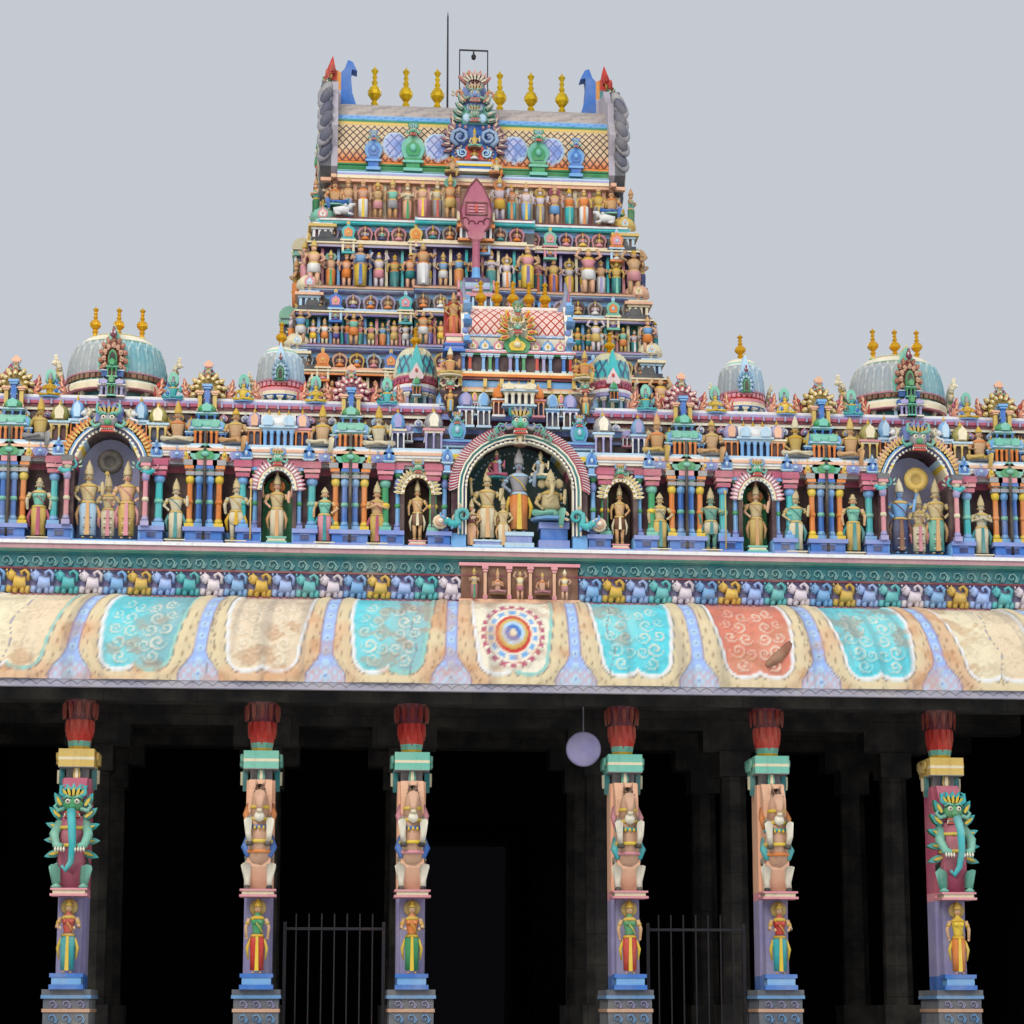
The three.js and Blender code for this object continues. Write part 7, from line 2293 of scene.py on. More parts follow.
def tower_roof_paint(x, h, level):
    """Colours, heights and how much lattice shows: 1 the dark lattice, 0.25 the white one, 0 none."""
    ground = hue(cream=0.5, peach=0.3)
    colour = np.broadcast_to(ground, (*x.shape, 3)).copy()
    colour = laid(colour, hue(orange=0.45, red=0.4), smooth(0.24 - level, 0.0, 0.2))
    inside = (level > 0.02) & (level < 0.52)
    lattice = np.where(inside, 1.0, 0.0)
    relief = np.where(inside, 0.0, 0.02)
    for (low, name), (high, _) in zip(ROOF_BANDS, ROOF_BANDS[1:]):
        if name:
            on = (level >= low) & (level < high)
            colour = np.where(on[..., None], COLOURS[name], colour)
            relief = np.where(on & (name in ("dark", "slate")), 0.004, relief)
    wave = smooth(0.01 - np.abs(level - 0.626 - 0.012 * np.sin(x * 14)), 0.0, 0.006)
    colour = laid(colour, "blue", wave * 0.9)
    carve = ripple(x * 16, h * 18, 9) * (level > 0.66)
    colour = laid(colour, "slate", 0.4 * smooth(carve, 0.5, 0.8))
    for centre, wide in MEDALLIONS:
        oval = np.hypot((x - centre) / wide, (level - 0.25) / 0.17)
        on = smooth(1.0 - oval, 0.0, 0.06)
        spots = smooth(ripple((x - centre) * 7, h * 7, 21), 0.5, 0.7)
        colour = laid(colour, hue(lilac=0.7, ice=0.3), on)
        colour = laid(colour, "blue", on * spots * 0.6)
        colour = laid(colour, "ice", smooth(0.1 - np.abs(oval - 0.95), 0.0, 0.04))
        lattice = np.where(oval < 1.04, np.where(oval < 0.88, 0.25, 0.0), lattice)
        relief = relief + 0.05 * on
    return colour, relief, lattice


def neck_figures():
    """Standing figures under the roof, with a kneeling giant and a bull at each corner."""
    batch = Batch("neck_figures")
    draw = batch.draw
    room = NECK["eave"] - NECK["ledge"]
    cloths = ["pink", "sky", "lilac", "white", "cream", "grey", "turquoise", "pink", "peach"]
    for turn, half, out, bay in side_frames(NECK["half_x"], NECK["half_y"]):
        seen = turn == 0.0
        front = abs(math.sin(turn)) < 0.5
        people = BIG_PEOPLE if seen else FAR_PEOPLE
        for along, on_bay in row_places(half - 0.75, bay, 0.345 if seen else 0.42, 0.0):
            if front and abs(along) < 0.5:
                continue
            reach = out - 0.24 + (BAY_STEP if on_bay else 0.0) * 0.8
            tall = room * draw.uniform(0.84, 0.93) / SMALL_CROWNED
            batch.add(draw.choice(people), on_face(turn, along, reach, NECK["ledge"] + 0.07), turn, tall,
                      row_paint(draw, cloths), 0.1)
            batch.add(PLINTH_BLOCK, on_face(turn, along, reach, NECK["ledge"]), turn, (0.27, 0.26, 0.07),
                      COLOURS["brown"] * draw.uniform(0.7, 1.2))
            batch.add(PLINTH_BLOCK, on_face(turn, along + 0.17, out - 0.5, NECK["ledge"]), turn,
                      (0.09, 0.09, room), draw.choice(["peach", "pink", "cream"]))
        for level, height, grow, colour in ((20.97, 0.06, 0.05, "turquoise"), (21.03, 0.05, 0.08, "white"),
                                            (21.09, 0.035, 0.04, "maroon"), (22.2, 0.09, -0.28, "peach")):
            for length, reach in ((2 * half, 0.0), (2 * bay, BAY_STEP))[:2 if level < 22 else 1]:
                batch.add(PLINTH_BLOCK, on_face(turn, 0, out - 0.1 + grow + reach, level), turn,
                          (length - 0.1, 0.14, height), colour, recess_shade=0.2)
        for along in (-0.62, 0.62) if front else (0.0,):
            batch.add(BIG_PEOPLE[7], on_face(turn, along, out + 0.1, NECK["ledge"]), turn, 1.02,
                      row_paint(draw, ["gold", "red", "straw"]))
    for sx in (-1, 1):
        for sy in (-1, 1):
            x, y = sx * 3.5, TOWER_Y + sy * 2.18
            batch.add(SEATED_LARGE[1].scaled(-sx * sy, 1, 1), (x, y, 21.5), 0 if sy < 0 else math.pi,
                      (1.35, 1.2, 1.12),
                      {**figure_paint(draw, "skin"), "chest": "tan", "cloth": "blue", "crown": "brown",
                       "base": "sea"})
            batch.add(SMALL_COW.scaled(sx, 1, 1), (sx * 3.3, TOWER_Y + sy * 2.5, 21.12), 0, 0.62,
                      {"coat": "white", "horn": "slate"})
            batch.add(FAR_PEOPLE[0], (sx * 3.98, y - 0.1, 21.12), sx * 1.2, 0.92,
                      {**row_paint(draw, ["leaf"]), "chest": "sea"})
    return batch


def roof_ornaments():
    """Arched gables on small pedestals along the foot of the roof."""
    batch = Batch("roof_gables_on_slopes")
    for turn in (0.0, math.pi):
        for along, colour, size in ((-2.55, "blue", 0.5), (-1.55, "green", 0.66), (1.64, "green", 0.62),
                                    (2.6, "blue", 0.48)):
            pale = {"blue": "sky", "green": "sea"}[colour]
            for width, depth, z0, z1, tone in ((0.36, 0.4, 22.5, 22.58, pale),
                                               (0.26, 0.34, 22.58, 22.72, colour),
                                               (0.4, 0.42, 22.72, 22.78, pale),
                                               (0.3, 0.36, 22.78, 22.86, colour)):
                batch.add(PLINTH_BLOCK, on_face(turn, along, 2.0, z0), turn,
                          (width * size / 0.5, depth, z1 - z0), tone)
            batch.add(KUDU, on_face(turn, along, 2.16, 22.84), turn, (size * 0.9, 0.9, size),
                      kudu_paint(pale, colour, pale), 0.1)
            batch.add(LION_FACE, on_face(turn, along, 2.2, 22.84 + size * 0.85), turn, size * 0.55,
                      mask_paint(face=pale, leaf=pale, edge=colour, vein="ice", horn=colour, nose=colour))
    return batch


GABLE_CENTRE_Z = 23.52
GABLE_FACE_X = 3.88
GABLE_INNER_X = 3.72
LOBE_LEVELS = np.array([24.8 - 0.36 * i for i in range(6)])


def gable_carving():
    """Overlapping grey lobes round each end gable, with mouldings and a mask on its face."""
    batch = Batch("end_gable_carving")
    flat = Batch("gable_side_pattern")
    for reach, width, colour, proud in ((0.95, 0.12, "lilac", 0.04), (1.15, 0.1, "cream", 0.07),
                                        (1.38, 0.12, "pink", 0.05), (1.6, 0.14, "ivory", 0.08)):
        inner = arch_points(reach, 0.0, reach * 0.94, -38, 218, 22)
        outer = arch_points(reach + width, 0.0, (reach + width) * 0.94, -38, 218, 22)
        flat.add(arch_band(inner, outer, -proud, 0.1), (0, 0, 0), paint=colour)
    flat.add(LION_FACE, (0, -0.02, -0.5), 0, (1.35, 0.45, 1.35), mask_paint(face="green"))
    flat.add(SEATED_LARGE[0], (0, -0.1, -0.75), 0, (0.9, 0.4, 0.9),
             {**figure_paint(flat.draw, "skin"), "cloth": "red"})
    for way in (-1, 1):
        for i in range(11):
            angle = math.radians(-44 + 11.5 * i)
            lobe = merged(
                limb([(-0.3, 0.0, -0.05), (-0.02, 0.02, 0.06), (0.24, 0.04, 0.12), (0.34, 0.05, 0.25)],
                     [0.12, 0.19, 0.15, 0.03], 7, "leaf"),
                limb([(-0.3, -0.1, 0.04), (0.0, -0.1, 0.17), (0.26, -0.06, 0.25)], [0.03, 0.05, 0.02], 4,
                     "edge"),
            ).scaled(1, 0.95, 1)
            lobe = lobe.rotated(rotation_y(-(math.pi / 2 + angle)))
            lobe = lobe.moved(1.98 * math.cos(angle), 0.1, 1.88 * math.sin(angle))
            flat.add(lobe.scaled(way, 1, 1), paint={"leaf": hue(slate=0.75), "edge": "grey"}, vary=0.12)
    for side in (-1, 1):
        turned_copy(batch, flat, side * math.pi / 2, np.array([side * GABLE_FACE_X, TOWER_Y, GABLE_CENTRE_Z]))
        batch.add(LION_FACE, (side * GABLE_INNER_X, TOWER_Y - 0.22, 25.42), side * math.pi / 4, 0.42,
                  mask_paint(face="green", leaf="red", edge="orange", horn="olive"))
        for x, z, size, lean, tone in ((3.7, 25.66, 0.34, 0.2, "red"), (3.62, 25.86, 0.34, 0.0, "red"),
                                       (3.78, 25.5, 0.26, 0.4, "sea")):
            tip = LEAF.scaled(size, 1.2, size).rotated(rotation_y(side * lean))
            for y in (-0.2, 0.2):
                batch.add(tip, (side * x, TOWER_Y + y, z), 0, 1, leaf_paint(tone, "maroon", hue(red=0.6)))
        fronts = TOWER_Y + Y_SHIFT - section_points("roof_gable_right", GABLE_INNER_X, LOBE_LEVELS, "front")
        for i, (z, front) in enumerate(zip(LOBE_LEVELS, fronts)):
            tone = "grey" if i == 0 else hue(slate=0.75, violet=0.12)
            for way in (-1, 1):
                y = TOWER_Y + way * (front + 0.02 + 0.012 * (len(LOBE_LEVELS) - i))
                lobe = ball((0, 0, 0), (0.15, 0.13, 0.27), 10, 6, "leaf").rotated(rotation_y(-side * 0.45))
                batch.add(lobe, (side * 3.76, y, z), paint={"leaf": tone}, vary=0.1)
                rim = ball((0, 0, 0), (0.17, 0.1, 0.29), 10, 6, "edge").rotated(rotation_y(-side * 0.45))
                batch.add(rim, (side * 3.785, y - way * 0.01, z - 0.05),
                          paint={"edge": hue(grey=0.9, lilac=0.1)})
    return batch


def gable_material():
    """Grey outside, pale inside, and on top a red flame, an olive feather and a blue horn."""
    nodes = Nodes("gable_paint")
    parts = nodes.add("ShaderNodeSeparateXYZ", {0: nodes.place}).outputs
    across = nodes.math("ABSOLUTE", parts[0])
    outer = nodes.ramp(across, 3.6, 3.62)
    body = nodes.mix(outer, tuple(hue(ivory=0.3, lilac=0.42)), tuple(hue(slate=0.8)))
    flame = nodes.mix(nodes.ramp(parts[2], 25.66, 25.76), tuple(COLOURS["teal"]), tuple(hue(red=0.85)))
    crown = nodes.mix(nodes.ramp(across, 3.46, 3.5), tuple(hue(orange=0.6, straw=0.3)), flame)
    crown = nodes.mix(nodes.ramp(across, 3.35, 3.37), tuple(hue(blue=0.9)), crown)
    body = nodes.mix(nodes.ramp(parts[2], 25.44, 25.48), body, crown)
    horn = nodes.math("MULTIPLY", nodes.ramp(parts[2], 24.86, 24.88),
                      nodes.math("SUBTRACT", 1.0, nodes.ramp(across, 3.37, 3.39)))
    body = nodes.mix(horn, body, tuple(hue(blue=0.9)))
    colour = weathered(nodes, body, 0.5, fade=0.2)
    return nodes.finish(colour, 0.72, nodes.noise(38.0, 6.0), 0.012, 0.5)


def coil():
    """Spiral wing, one unit across, on y = 0: a thick curl with a rim of short feathers."""
    points = []
    for i in range(12):
        angle = math.radians(-70 + 52 * i)
        radius = 0.4 * (1 - i / 14)
        points.append((radius * math.cos(angle), -0.1 - 0.006 * i, radius * math.sin(angle)))
    parts = [limb(points, [0.11 - 0.006 * i for i in range(12)], 6, "body")]
    for i in range(8):
        angle = math.radians(-80 + 28 * i)
        parts.append(ball((0.5 * math.cos(angle), -0.06, 0.5 * math.sin(angle)), (0.09, 0.05, 0.09), 5, 3,
                          "rim"))
    parts.append(ball((0.04, -0.14, 0.0), (0.1, 0.07, 0.1), 6, 4, "eye"))
    return merged(parts)


def muted(paint):
    """The same paint, faded towards grey stone."""
    return {
        part: (COLOURS[tone] if isinstance(tone, str) else tone) * 0.6 + hue(stone=0.32)
        for part, tone in paint.items()
    }


def crest_carving():
    """Niche, spiral wings, masks and a crown of flames on the tall plate over each side of the roof."""
    batch = Batch("roof_crest_carving")
    pattern = Batch("crest_pattern")
    wing = coil()
    leaves = muted(leaf_paint("pink", "orange", "cream"))
    for half, z0, z1, reach, colour in ((0.56, 22.49, 22.56, 0.16, "ivory"),
                                        (0.5, 22.56, 22.64, 0.12, "blue"),
                                        (0.54, 22.64, 22.7, 0.15, "yellow"), (0.46, 22.7, 22.78, 0.1, "ice"),
                                        (0.34, 22.78, 22.84, 0.08, "maroon")):
        pattern.add(box(-half, half, -reach, 0.0, z0, z1), paint=colour)
    pattern.add(plate([(-0.24, 22.84), (0.24, 22.84)] + arch_points(0.24, 23.1, 0.2), -0.05, 0.0),
                paint="red")
    pattern.add(SITTER, (0, -0.1, 22.84), 0, 0.55, row_paint(pattern.draw, ["white"]))
    pattern.add(SEATED_LARGE[0], (0, -0.14, 23.12), 0, 0.74,
                {**figure_paint(pattern.draw, "cream"), "chest": "straw", "cloth": "sea"})
    for side in (-1, 1):
        pattern.add(wing.scaled(side, 1, 1), (side * 0.36, -0.04, 23.42), 0, 0.62,
                    muted({"body": "sky", "rim": "pink", "eye": "blue"}))
        pattern.add(wing.scaled(side, 1, -1), (side * 0.3, -0.02, 23.02), 0, 0.36,
                    {"body": "ice", "rim": "peach", "eye": "blue"})
        for i in range(7):
            lean = side * (1.9 - 0.28 * i)
            tip = LEAF.scaled(0.24, 0.7, 0.24).rotated(rotation_y(lean))
            pattern.add(tip, (side * (0.56 + 0.06 * math.sin(i)), -0.02, 23.1 + 0.12 * i), 0, 1,
                        muted({**leaves, "leaf": "rose", "edge": "violet"}), 0.1)
        pattern.add(ball((side * 0.2, -0.14, 23.92), (0.12, 0.05, 0.13), 8, 4, "dot"), paint={"dot": "ice"})
        pattern.add(MAKARA.scaled(side, 1, 1), (side * 0.3, -0.05, 24.34), 0, 0.36,
                    muted({"body": "orange", "horn": "peach", "tooth": "ivory", "leaf": "straw",
                           "edge": "orange", "vein": "straw"}))
        for i in range(4):
            tip = LEAF.scaled(0.26, 0.8, 0.26).rotated(rotation_y(side * (1.35 - 0.25 * i)))
            pattern.add(tip, (side * (0.34 - 0.02 * i), -0.04, 23.86 + 0.16 * i), 0, 1,
                        muted({**leaves, "leaf": "sea", "edge": "leaf"}), 0.1)
    pattern.add(LION_FACE, (0, -0.1, 23.78), 0, 0.52, muted(mask_paint(face="sea", leaf="sea", edge="leaf")))
    pattern.add(LION_FACE, (0, -0.12, 24.3), 0, 0.56,
                muted(mask_paint(face="sky", nose="blue", horn="teal", leaf="peach", edge="rose")))
    for i in range(7):
        lean = math.radians(-57 + 19 * i)
        tip = LEAF.scaled(0.3, 0.8, 0.34).rotated(rotation_y(lean))
        pattern.add(tip, (0.16 * math.sin(lean), -0.03, 24.82 + 0.1 * math.cos(lean)), 0, 1,
                    muted({**leaves, "leaf": ["red", "pink"][i % 2], "edge": "rose"}), 0.1)
    reach = TOWER_Y - (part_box("roof_crest_front")[0][1] - Y_SHIFT)
    turned_copy(batch, pattern, 0.0, np.array([0.0, TOWER_Y - reach, 0.0]))
    turned_copy(batch, pattern, math.pi, np.array([0.0, TOWER_Y + reach, 0.0]))
    for turn in (0.0, math.pi):
        for along in (-0.56, 0.56):
            batch.add(SEATED_LARGE[2], on_face(turn, along, 2.34, 22.4), turn, (0.85, 0.85, 0.75),
                      row_paint(batch.draw, ["straw", "orange"]))
    return batch


SPEAR_FACE_Y = 11.25 - 0.085


def spear_lines():
    """Rim, framed panel of three lines and scalloped foot on the spear's blade."""
    batch = Batch("spear_lines")
    rim = [(0.0, 22.02), (-0.19, 21.8), (-0.34, 21.48), (-0.41, 21.18), (-0.34, 20.8), (-0.22, 20.64)]
    for side in (-1, 1):
        batch.add(limb([(side * -x * 0.96, SPEAR_FACE_Y, z) for x, z in rim], [0.022] * 6, 5, "line"),
                  paint={"line": "maroon"})
        batch.add(PLINTH_BLOCK, (side * 0.265, SPEAR_FACE_Y, 21.06), 0, (0.03, 0.04, 0.34), "maroon")
        for x, z in ((0.11, 20.82), (0.27, 20.9)):
            lobe = [(side * (x + 0.085 * math.cos(a)), SPEAR_FACE_Y, z + 0.1 * math.sin(a))
                    for a in np.linspace(0.1, 3.0, 6)]
            batch.add(limb(lobe, [0.018] * 6, 4, "line"), paint={"line": "maroon"})
    for z in (21.06, 21.14, 21.22, 21.3, 21.38):
        wide, tone = (0.53, "maroon") if z in (21.06, 21.38) else (0.4, "pink")
        batch.add(PLINTH_BLOCK, (0, SPEAR_FACE_Y, z), 0, (wide, 0.04, 0.028), tone)
    batch.add(PLINTH_BLOCK, (0, SPEAR_FACE_Y - 0.01, 21.14), 0, (0.05, 0.05, 0.2), "red")
    return batch


# Front pillars: rearing horses or lion beasts over standing ladies, red leaf capitals

PILLAR_X = [1.98, 4.75, 8.09, 10.85]


def horse():
    """Rearing horse on the front of a pillar; its own place is the foot of the pillar's axis."""
    parts = [
        limb([(0, -0.38, 4.05), (0, -0.66, 4.35), (0, -0.74, 4.7), (0, -0.68, 5.02)], [0.2, 0.24, 0.23, 0.2],
             9, "coat"),
        limb([(0, -0.66, 5.0), (0, -0.74, 5.3), (0, -0.8, 5.52)], [0.19, 0.15, 0.11], 8, "coat"),
        limb([(0, -0.76, 5.56), (0, -0.92, 5.46), (0, -1.02, 5.24), (0, -1.04, 5.16)],
             [0.1, 0.105, 0.07, 0.06], 8, "coat"),
        ball((0, -1.05, 5.15), (0.062, 0.05, 0.05), 7, 4, "muzzle"),
        limb([(0, -0.6, 5.66), (0, -0.56, 5.4), (0, -0.52, 5.1)], [0.06, 0.08, 0.06], 6, "mane"),
    ]
    for side in (-1, 1):
        parts += [
            limb([(side * 0.06, -0.74, 5.62), (side * 0.09, -0.74, 5.74)], [0.035, 0.008], 5, "coat"),
            ball((side * 0.085, -0.92, 5.48), (0.025, 0.03, 0.03), 6, 3, "eye"),
            limb([(side * 0.15, -0.72, 5.0), (side * 0.2, -0.98, 4.96), (side * 0.19, -1.02, 4.74),
                  (side * 0.17, -0.94, 4.6)],
                 [0.1, 0.075, 0.055, 0.05], 7, "leg"),
            limb([(side * 0.17, -0.94, 4.6), (side * 0.16, -0.92, 4.52)], [0.055, 0.065], 7, "hoof"),
            limb([(side * 0.14, -0.5, 4.3), (side * 0.22, -0.78, 4.16), (side * 0.2, -0.72, 3.92),
                  (side * 0.2, -0.76, 3.8)],
                 [0.14, 0.1, 0.06, 0.055], 7, "leg"),
            limb([(side * 0.2, -0.76, 3.8), (side * 0.2, -0.79, 3.72)], [0.055, 0.07], 7, "hoof"),
            limb([(side * 0.205, -0.5, 4.72), (side * 0.235, -0.74, 4.5), (side * 0.2, -0.8, 4.32)],
                 [0.05, 0.09, 0.04], 6, "cloth"),
            limb([(side * 0.2, -0.42, 5.3), (side * 0.24, -0.6, 5.1), (side * 0.21, -0.66, 4.9)],
                 [0.05, 0.07, 0.04], 6, "sash"),
        ]
    for z, y, radius, tone in ((5.0, -0.69, 0.215, "gold"), (4.86, -0.71, 0.235, "cloth"),
                               (4.6, -0.73, 0.25, "gold"),
                               (5.22, -0.72, 0.17, "gold"), (4.42, -0.68, 0.252, "sash")):
        parts.append(upright([(z - 0.03, radius, radius, 0, y), (z + 0.03, radius, radius, 0, y)], 10, tone))
    parts.append(ball((0, -0.97, 5.04), (0.1, 0.09, 0.1), 9, 5, "bell"))
    for i in range(5):
        parts.append(ball((-0.16 + 0.08 * i, -0.93 - 0.02 * (2 - abs(i - 2)), 4.84), (0.03, 0.03, 0.04), 5, 3,
                          "gold"))
    return merged(parts)


def beast():
    """Upright lion beast with a trunk between its tusks, for the outer pillars."""
    parts = [
        limb([(0, -0.4, 3.95), (0, -0.64, 4.25), (0, -0.7, 4.65), (0, -0.62, 5.0)], [0.22, 0.26, 0.25, 0.22],
             9, "coat"),
        LION_FACE.scaled(0.62).moved(0, -0.72, 4.98),
        limb([(0, -1.0, 5.12), (0.03, -1.12, 4.86), (0.05, -1.08, 4.5), (0.02, -0.98, 4.2),
              (-0.08, -0.96, 4.05), (-0.14, -0.98, 4.14)],
             [0.08, 0.075, 0.065, 0.055, 0.045, 0.03], 8, "trunk"),
    ]
    for side in (-1, 1):
        parts += [
            limb([(side * 0.2, -0.6, 4.95), (side * 0.3, -0.86, 4.7), (side * 0.24, -1.0, 4.5),
                  (side * 0.14, -1.02, 4.46)],
                 [0.11, 0.09, 0.075, 0.07], 7, "paw"),
            limb([(side * 0.16, -0.5, 4.2), (side * 0.28, -0.8, 4.1), (side * 0.24, -0.78, 3.82)],
                 [0.15, 0.11, 0.08], 7, "paw"),
            ball((side * 0.24, -0.84, 3.77), (0.1, 0.13, 0.06), 7, 3, "paw"),
        ]
        parts += [ball((side * (0.1 + 0.05 * i), -1.08, 4.42), (0.025, 0.03, 0.05), 5, 3, "claw")
                  for i in range(4)]
        for i in range(5):
            tip = LEAF.scaled(0.3, 0.9, 0.3).rotated(rotation_y(side * (1.9 - 0.35 * i)))
            parts.append(tip.moved(side * 0.2, -0.62, 4.4 + 0.2 * i))
    for z, radius in ((4.82, 0.255), (4.5, 0.275)):
        parts.append(upright([(z - 0.03, radius, radius, 0, -0.67), (z + 0.03, radius, radius, 0, -0.67)], 10,
                             "gold"))
    return merged(parts)


def capital_leaves():
    """Two rows of hanging leaves round the bell, and the scrolls under it."""
    parts = []
    for z, reach, size, tone, count in ((7.18, 0.3, 0.3, "upper", 12), (6.86, 0.235, 0.3, "lower", 12),
                                        (6.58, 0.2, 0.16, "lower", 12)):
        for i in range(count):
            angle = TAU * i / count
            tip = LEAF.scaled(size * 0.62, size * 0.62, -size).toned(tone)
            parts.append(tip.moved(0, -reach, 0).spun(angle).moved(0, 0, z))
    for i in range(4):
        turn = i * math.pi / 2
        for x, hand in ((-0.2, 1), (0.2, -1)):
            parts.append(SCROLL.scaled(hand * 0.3, 0.6, 0.34).moved(x, -0.31, 5.98).spun(turn))
        parts.append(LEAF.scaled(0.3, 0.6, -0.4).moved(0, -0.28, 5.98).spun(turn))
    return merged(parts)


def pillar_dress():
    """Beasts, leaves, ladies and bands on the front pillars, and the round lamp between two of them."""
    batch = Batch("pillar_carving")
    beasts = {"horse": horse(), "beast": beast()}
    leaves = capital_leaves()
    lady = standing(9, "rest", "low", "long", True, woman=True, halo=True)
    lady_bow = standing(9, "offer", "bun", "long", True, woman=True, halo=True)
    base = stepped_base(0.8, 0.5, 1.0)
    horse_paint = {"coat": hue(peach=0.8), "muzzle": "cream", "mane": "brown", "leg": "ivory", "hoof": "dark",
                   "eye": "dark", "cloth": "blue", "sash": "pink", "gold": "yellow", "bell": "ivory"}
    beast_paint = mask_paint(coat="rose", face="green", trunk="turquoise", paw="sea", claw="ivory",
                             gold="yellow", leaf="turquoise", edge="green", vein="yellow", horn="turquoise")
    for i, x in enumerate(PILLAR_X):
        for side in (-1, 1):
            outer = i >= 2
            batch.add(beasts["beast" if outer else "horse"], (side * x, 0, 0), 0, 1,
                      beast_paint if outer else {**horse_paint, "cloth": ["blue", "turquoise"][side > 0],
                                                 "sash": ["pink", "orange"][i]})
            batch.add(leaves, (side * x, 0, 0), 0, 1,
                      {"upper": hue(red=0.45), "lower": "red", "leaf": "straw" if outer else "sea",
                       "edge": "teal", "vein": "cream"})
            woman = lady if (i + (side > 0)) % 2 else lady_bow
            paint = {"skin": "skin", "chest": ["orange", "green", "red", "yellow"][(i + (side > 0)) % 4],
                     "lips": "red",
                     "cloth": ["green", "red", "turquoise", "orange"][(i + (side > 0)) % 4], "sash": "yellow",
                     "gold": "gold", "crown": "gold", "halo": "straw", "white": "ivory", "dark": "dark"}
            batch.add(woman, (side * x, -0.82, 2.24), 0, 1.24, paint)
            batch.add(base, (side * x, -0.74, 1.96), 0, (0.75, 0.72, 0.28), base_paint("blue", "sky"))
            batch.add(stepped_base(0.66, 0.5, 0.14), (side * x, -0.74, 3.6), 0, 1,
                      base_paint("pink", "cream"))
            for z0, z1, grow, colour in ((0.98, 1.06, 0.02, "sky"), (1.28, 1.34, 0.03, "ice"),
                                         (1.56, 1.62, 0.02, "peach"), (1.8, 1.86, 0.04, "sky")):
                batch.add(box(-0.4 - grow, 0.4 + grow, -0.8 - grow, 0.4 + grow, z0, z1), (side * x, 0, 0),
                          paint=COLOURS[colour] * 0.7)
            for dx in (-0.24, 0.0, 0.24):
                batch.add(SCROLL, (side * x + dx, -0.8, 1.34), 0, 0.22, {"leaf": hue(sky=0.8)})
                batch.add(SCROLL, (side * x + dx, -0.8, 1.6), 0, 0.2, {"leaf": hue(lilac=0.8)})
    lamp = turned([(0.32, 0.0), (0.33, 0.02), (0.33, 0.07), (0.3, 0.1)], 24).rotated(rotation_x(math.pi / 2))
    batch.add(lamp, (1.24, -0.05, 6.42), paint="lilac")
    batch.add(box(-0.012, 0.012, -0.1, -0.08, 6.7, 7.24), (1.24, 0, 0), paint="slate")
    return batch


# Camera and light

EYE_HEIGHT = 1.6
CAMERA_DISTANCE = 41.0
CAMERA_YAW = math.radians(5.2)
CAMERA_PITCH = math.radians(9.676)
PHOTO_SIDE = 1024
FOCAL_PIXELS = 2200.0
SENSOR = 36.0
SKY_STRENGTH = 0.68
LIGHT_SIZE = 34.0
LIGHTS = [  # name, place, height it points at, power, colour
    ("key", (-26, -46, 48), 11, 26500, (1.0, 0.97, 0.92)),
    ("fill", (40, -30, 26), 11, 7000, (0.92, 0.95, 1.0)), ("back", (10, 60, 40), 14, 9000, (0.95, 0.97, 1.0)),
]
FLAG_SLANT = 0.09
FLAG_HALF = 0.055
FLAG_TOP = 0.16


def make_camera():
    data = bpy.data.cameras.new("camera")
    data.sensor_width = SENSOR
    data.lens = SENSOR * FOCAL_PIXELS / PHOTO_SIDE
    data.shift_x = -0.005
    data.shift_y = 0.12
    data.clip_end = 400.0
    camera = bpy.data.objects.new("camera", data)
    camera.location = (
        -CAMERA_DISTANCE * math.sin(CAMERA_YAW),
        -CAMERA_DISTANCE * math.cos(CAMERA_YAW) + Y_SHIFT,
        EYE_HEIGHT,
    )
    ahead = Vector((
        math.sin(CAMERA_YAW) * math.cos(CAMERA_PITCH),
        math.cos(CAMERA_YAW) * math.cos(CAMERA_PITCH),
        math.sin(CAMERA_PITCH),
    ))
    camera.rotation_euler = ahead.to_track_quat("-Z", "Y").to_euler()
    bpy.context.scene.collection.objects.link(camera)
    bpy.context.scene.camera = camera


def add_area_light(name, place, target_z, power, colour):
    data = bpy.data.lights.new(name, "AREA")
    data.shape = "SQUARE"
    data.size = LIGHT_SIZE
    data.energy = power
    data.color = colour
    light = bpy.data.objects.new(name, data)
    light.location = place
    light.rotation_euler = (Vector((0, 2, target_z)) - Vector(place)).to_track_quat("-Z", "Y").to_euler()
    bpy.context.scene.collection.objects.link(light)


def paint_sky(tree):
    """Soft even sky, with a black studio flag far behind the gate so that its passage stays dark."""
    def math_node(operation, a, b=0.0):
        node = tree.nodes.new("ShaderNodeMath")
        node.operation = operation
        for i, value in enumerate((a, b)):
            if isinstance(value, bpy.types.NodeSocket):
                tree.links.new(value, node.inputs[i])
            else:
                node.inputs[i].default_value = value
        return node.outputs[0]

    parts = tree.nodes.new("ShaderNodeSeparateXYZ")
    tree.links.new(tree.nodes.new("ShaderNodeTexCoord").outputs["Generated"], parts.inputs[0])
    x, y, z = parts.outputs
    aside = math_node("ABSOLUTE", math_node("SUBTRACT", x, math_node("MULTIPLY", y, FLAG_SLANT)))
    flag = math_node("MULTIPLY", math_node("LESS_THAN", aside, FLAG_HALF),
                     math_node("LESS_THAN", z, FLAG_TOP))
    flag = math_node("MULTIPLY", flag, math_node("GREATER_THAN", y, 0.0))
    sky = tree.nodes.new("ShaderNodeMix")
    sky.data_type = "RGBA"
    tree.links.new(flag, sky.inputs[0])
    sky.inputs[6].default_value = (0.82, 0.87, 0.95, 1)
    sky.inputs[7].default_value = (0.004, 0.004, 0.005, 1)
    tree.links.new(sky.outputs[2], tree.nodes["Background"].inputs["Color"])
    tree.nodes["Background"].inputs["Strength"].default_value = SKY_STRENGTH


def make_stage():
    mesh = bpy.data.meshes.new("floor")
    half = 150.0
    mesh.from_pydata([(-half, -half, 0), (half, -half, 0), (half, half, 0), (-half, half, 0)], [],
                     [(0, 1, 2, 3)])
    nodes = Nodes("studio_floor")
    tone = nodes.mix(nodes.ramp(nodes.noise(0.4, 3.0), 0.3, 0.7), (0.56, 0.56, 0.56), (0.6, 0.6, 0.6))
    mesh.materials.append(nodes.finish(tone, 0.9))
    floor = bpy.data.objects.new("floor", mesh)
    bpy.context.scene.collection.objects.link(floor)
    world = bpy.data.worlds.new("world")
    bpy.context.scene.world = world
    world.use_nodes = True
    paint_sky(world.node_tree)
    for light in LIGHTS:
        add_area_light(*light)


bpy.context.scene.view_settings.view_transform = "Standard"
make_camera()
make_stage()

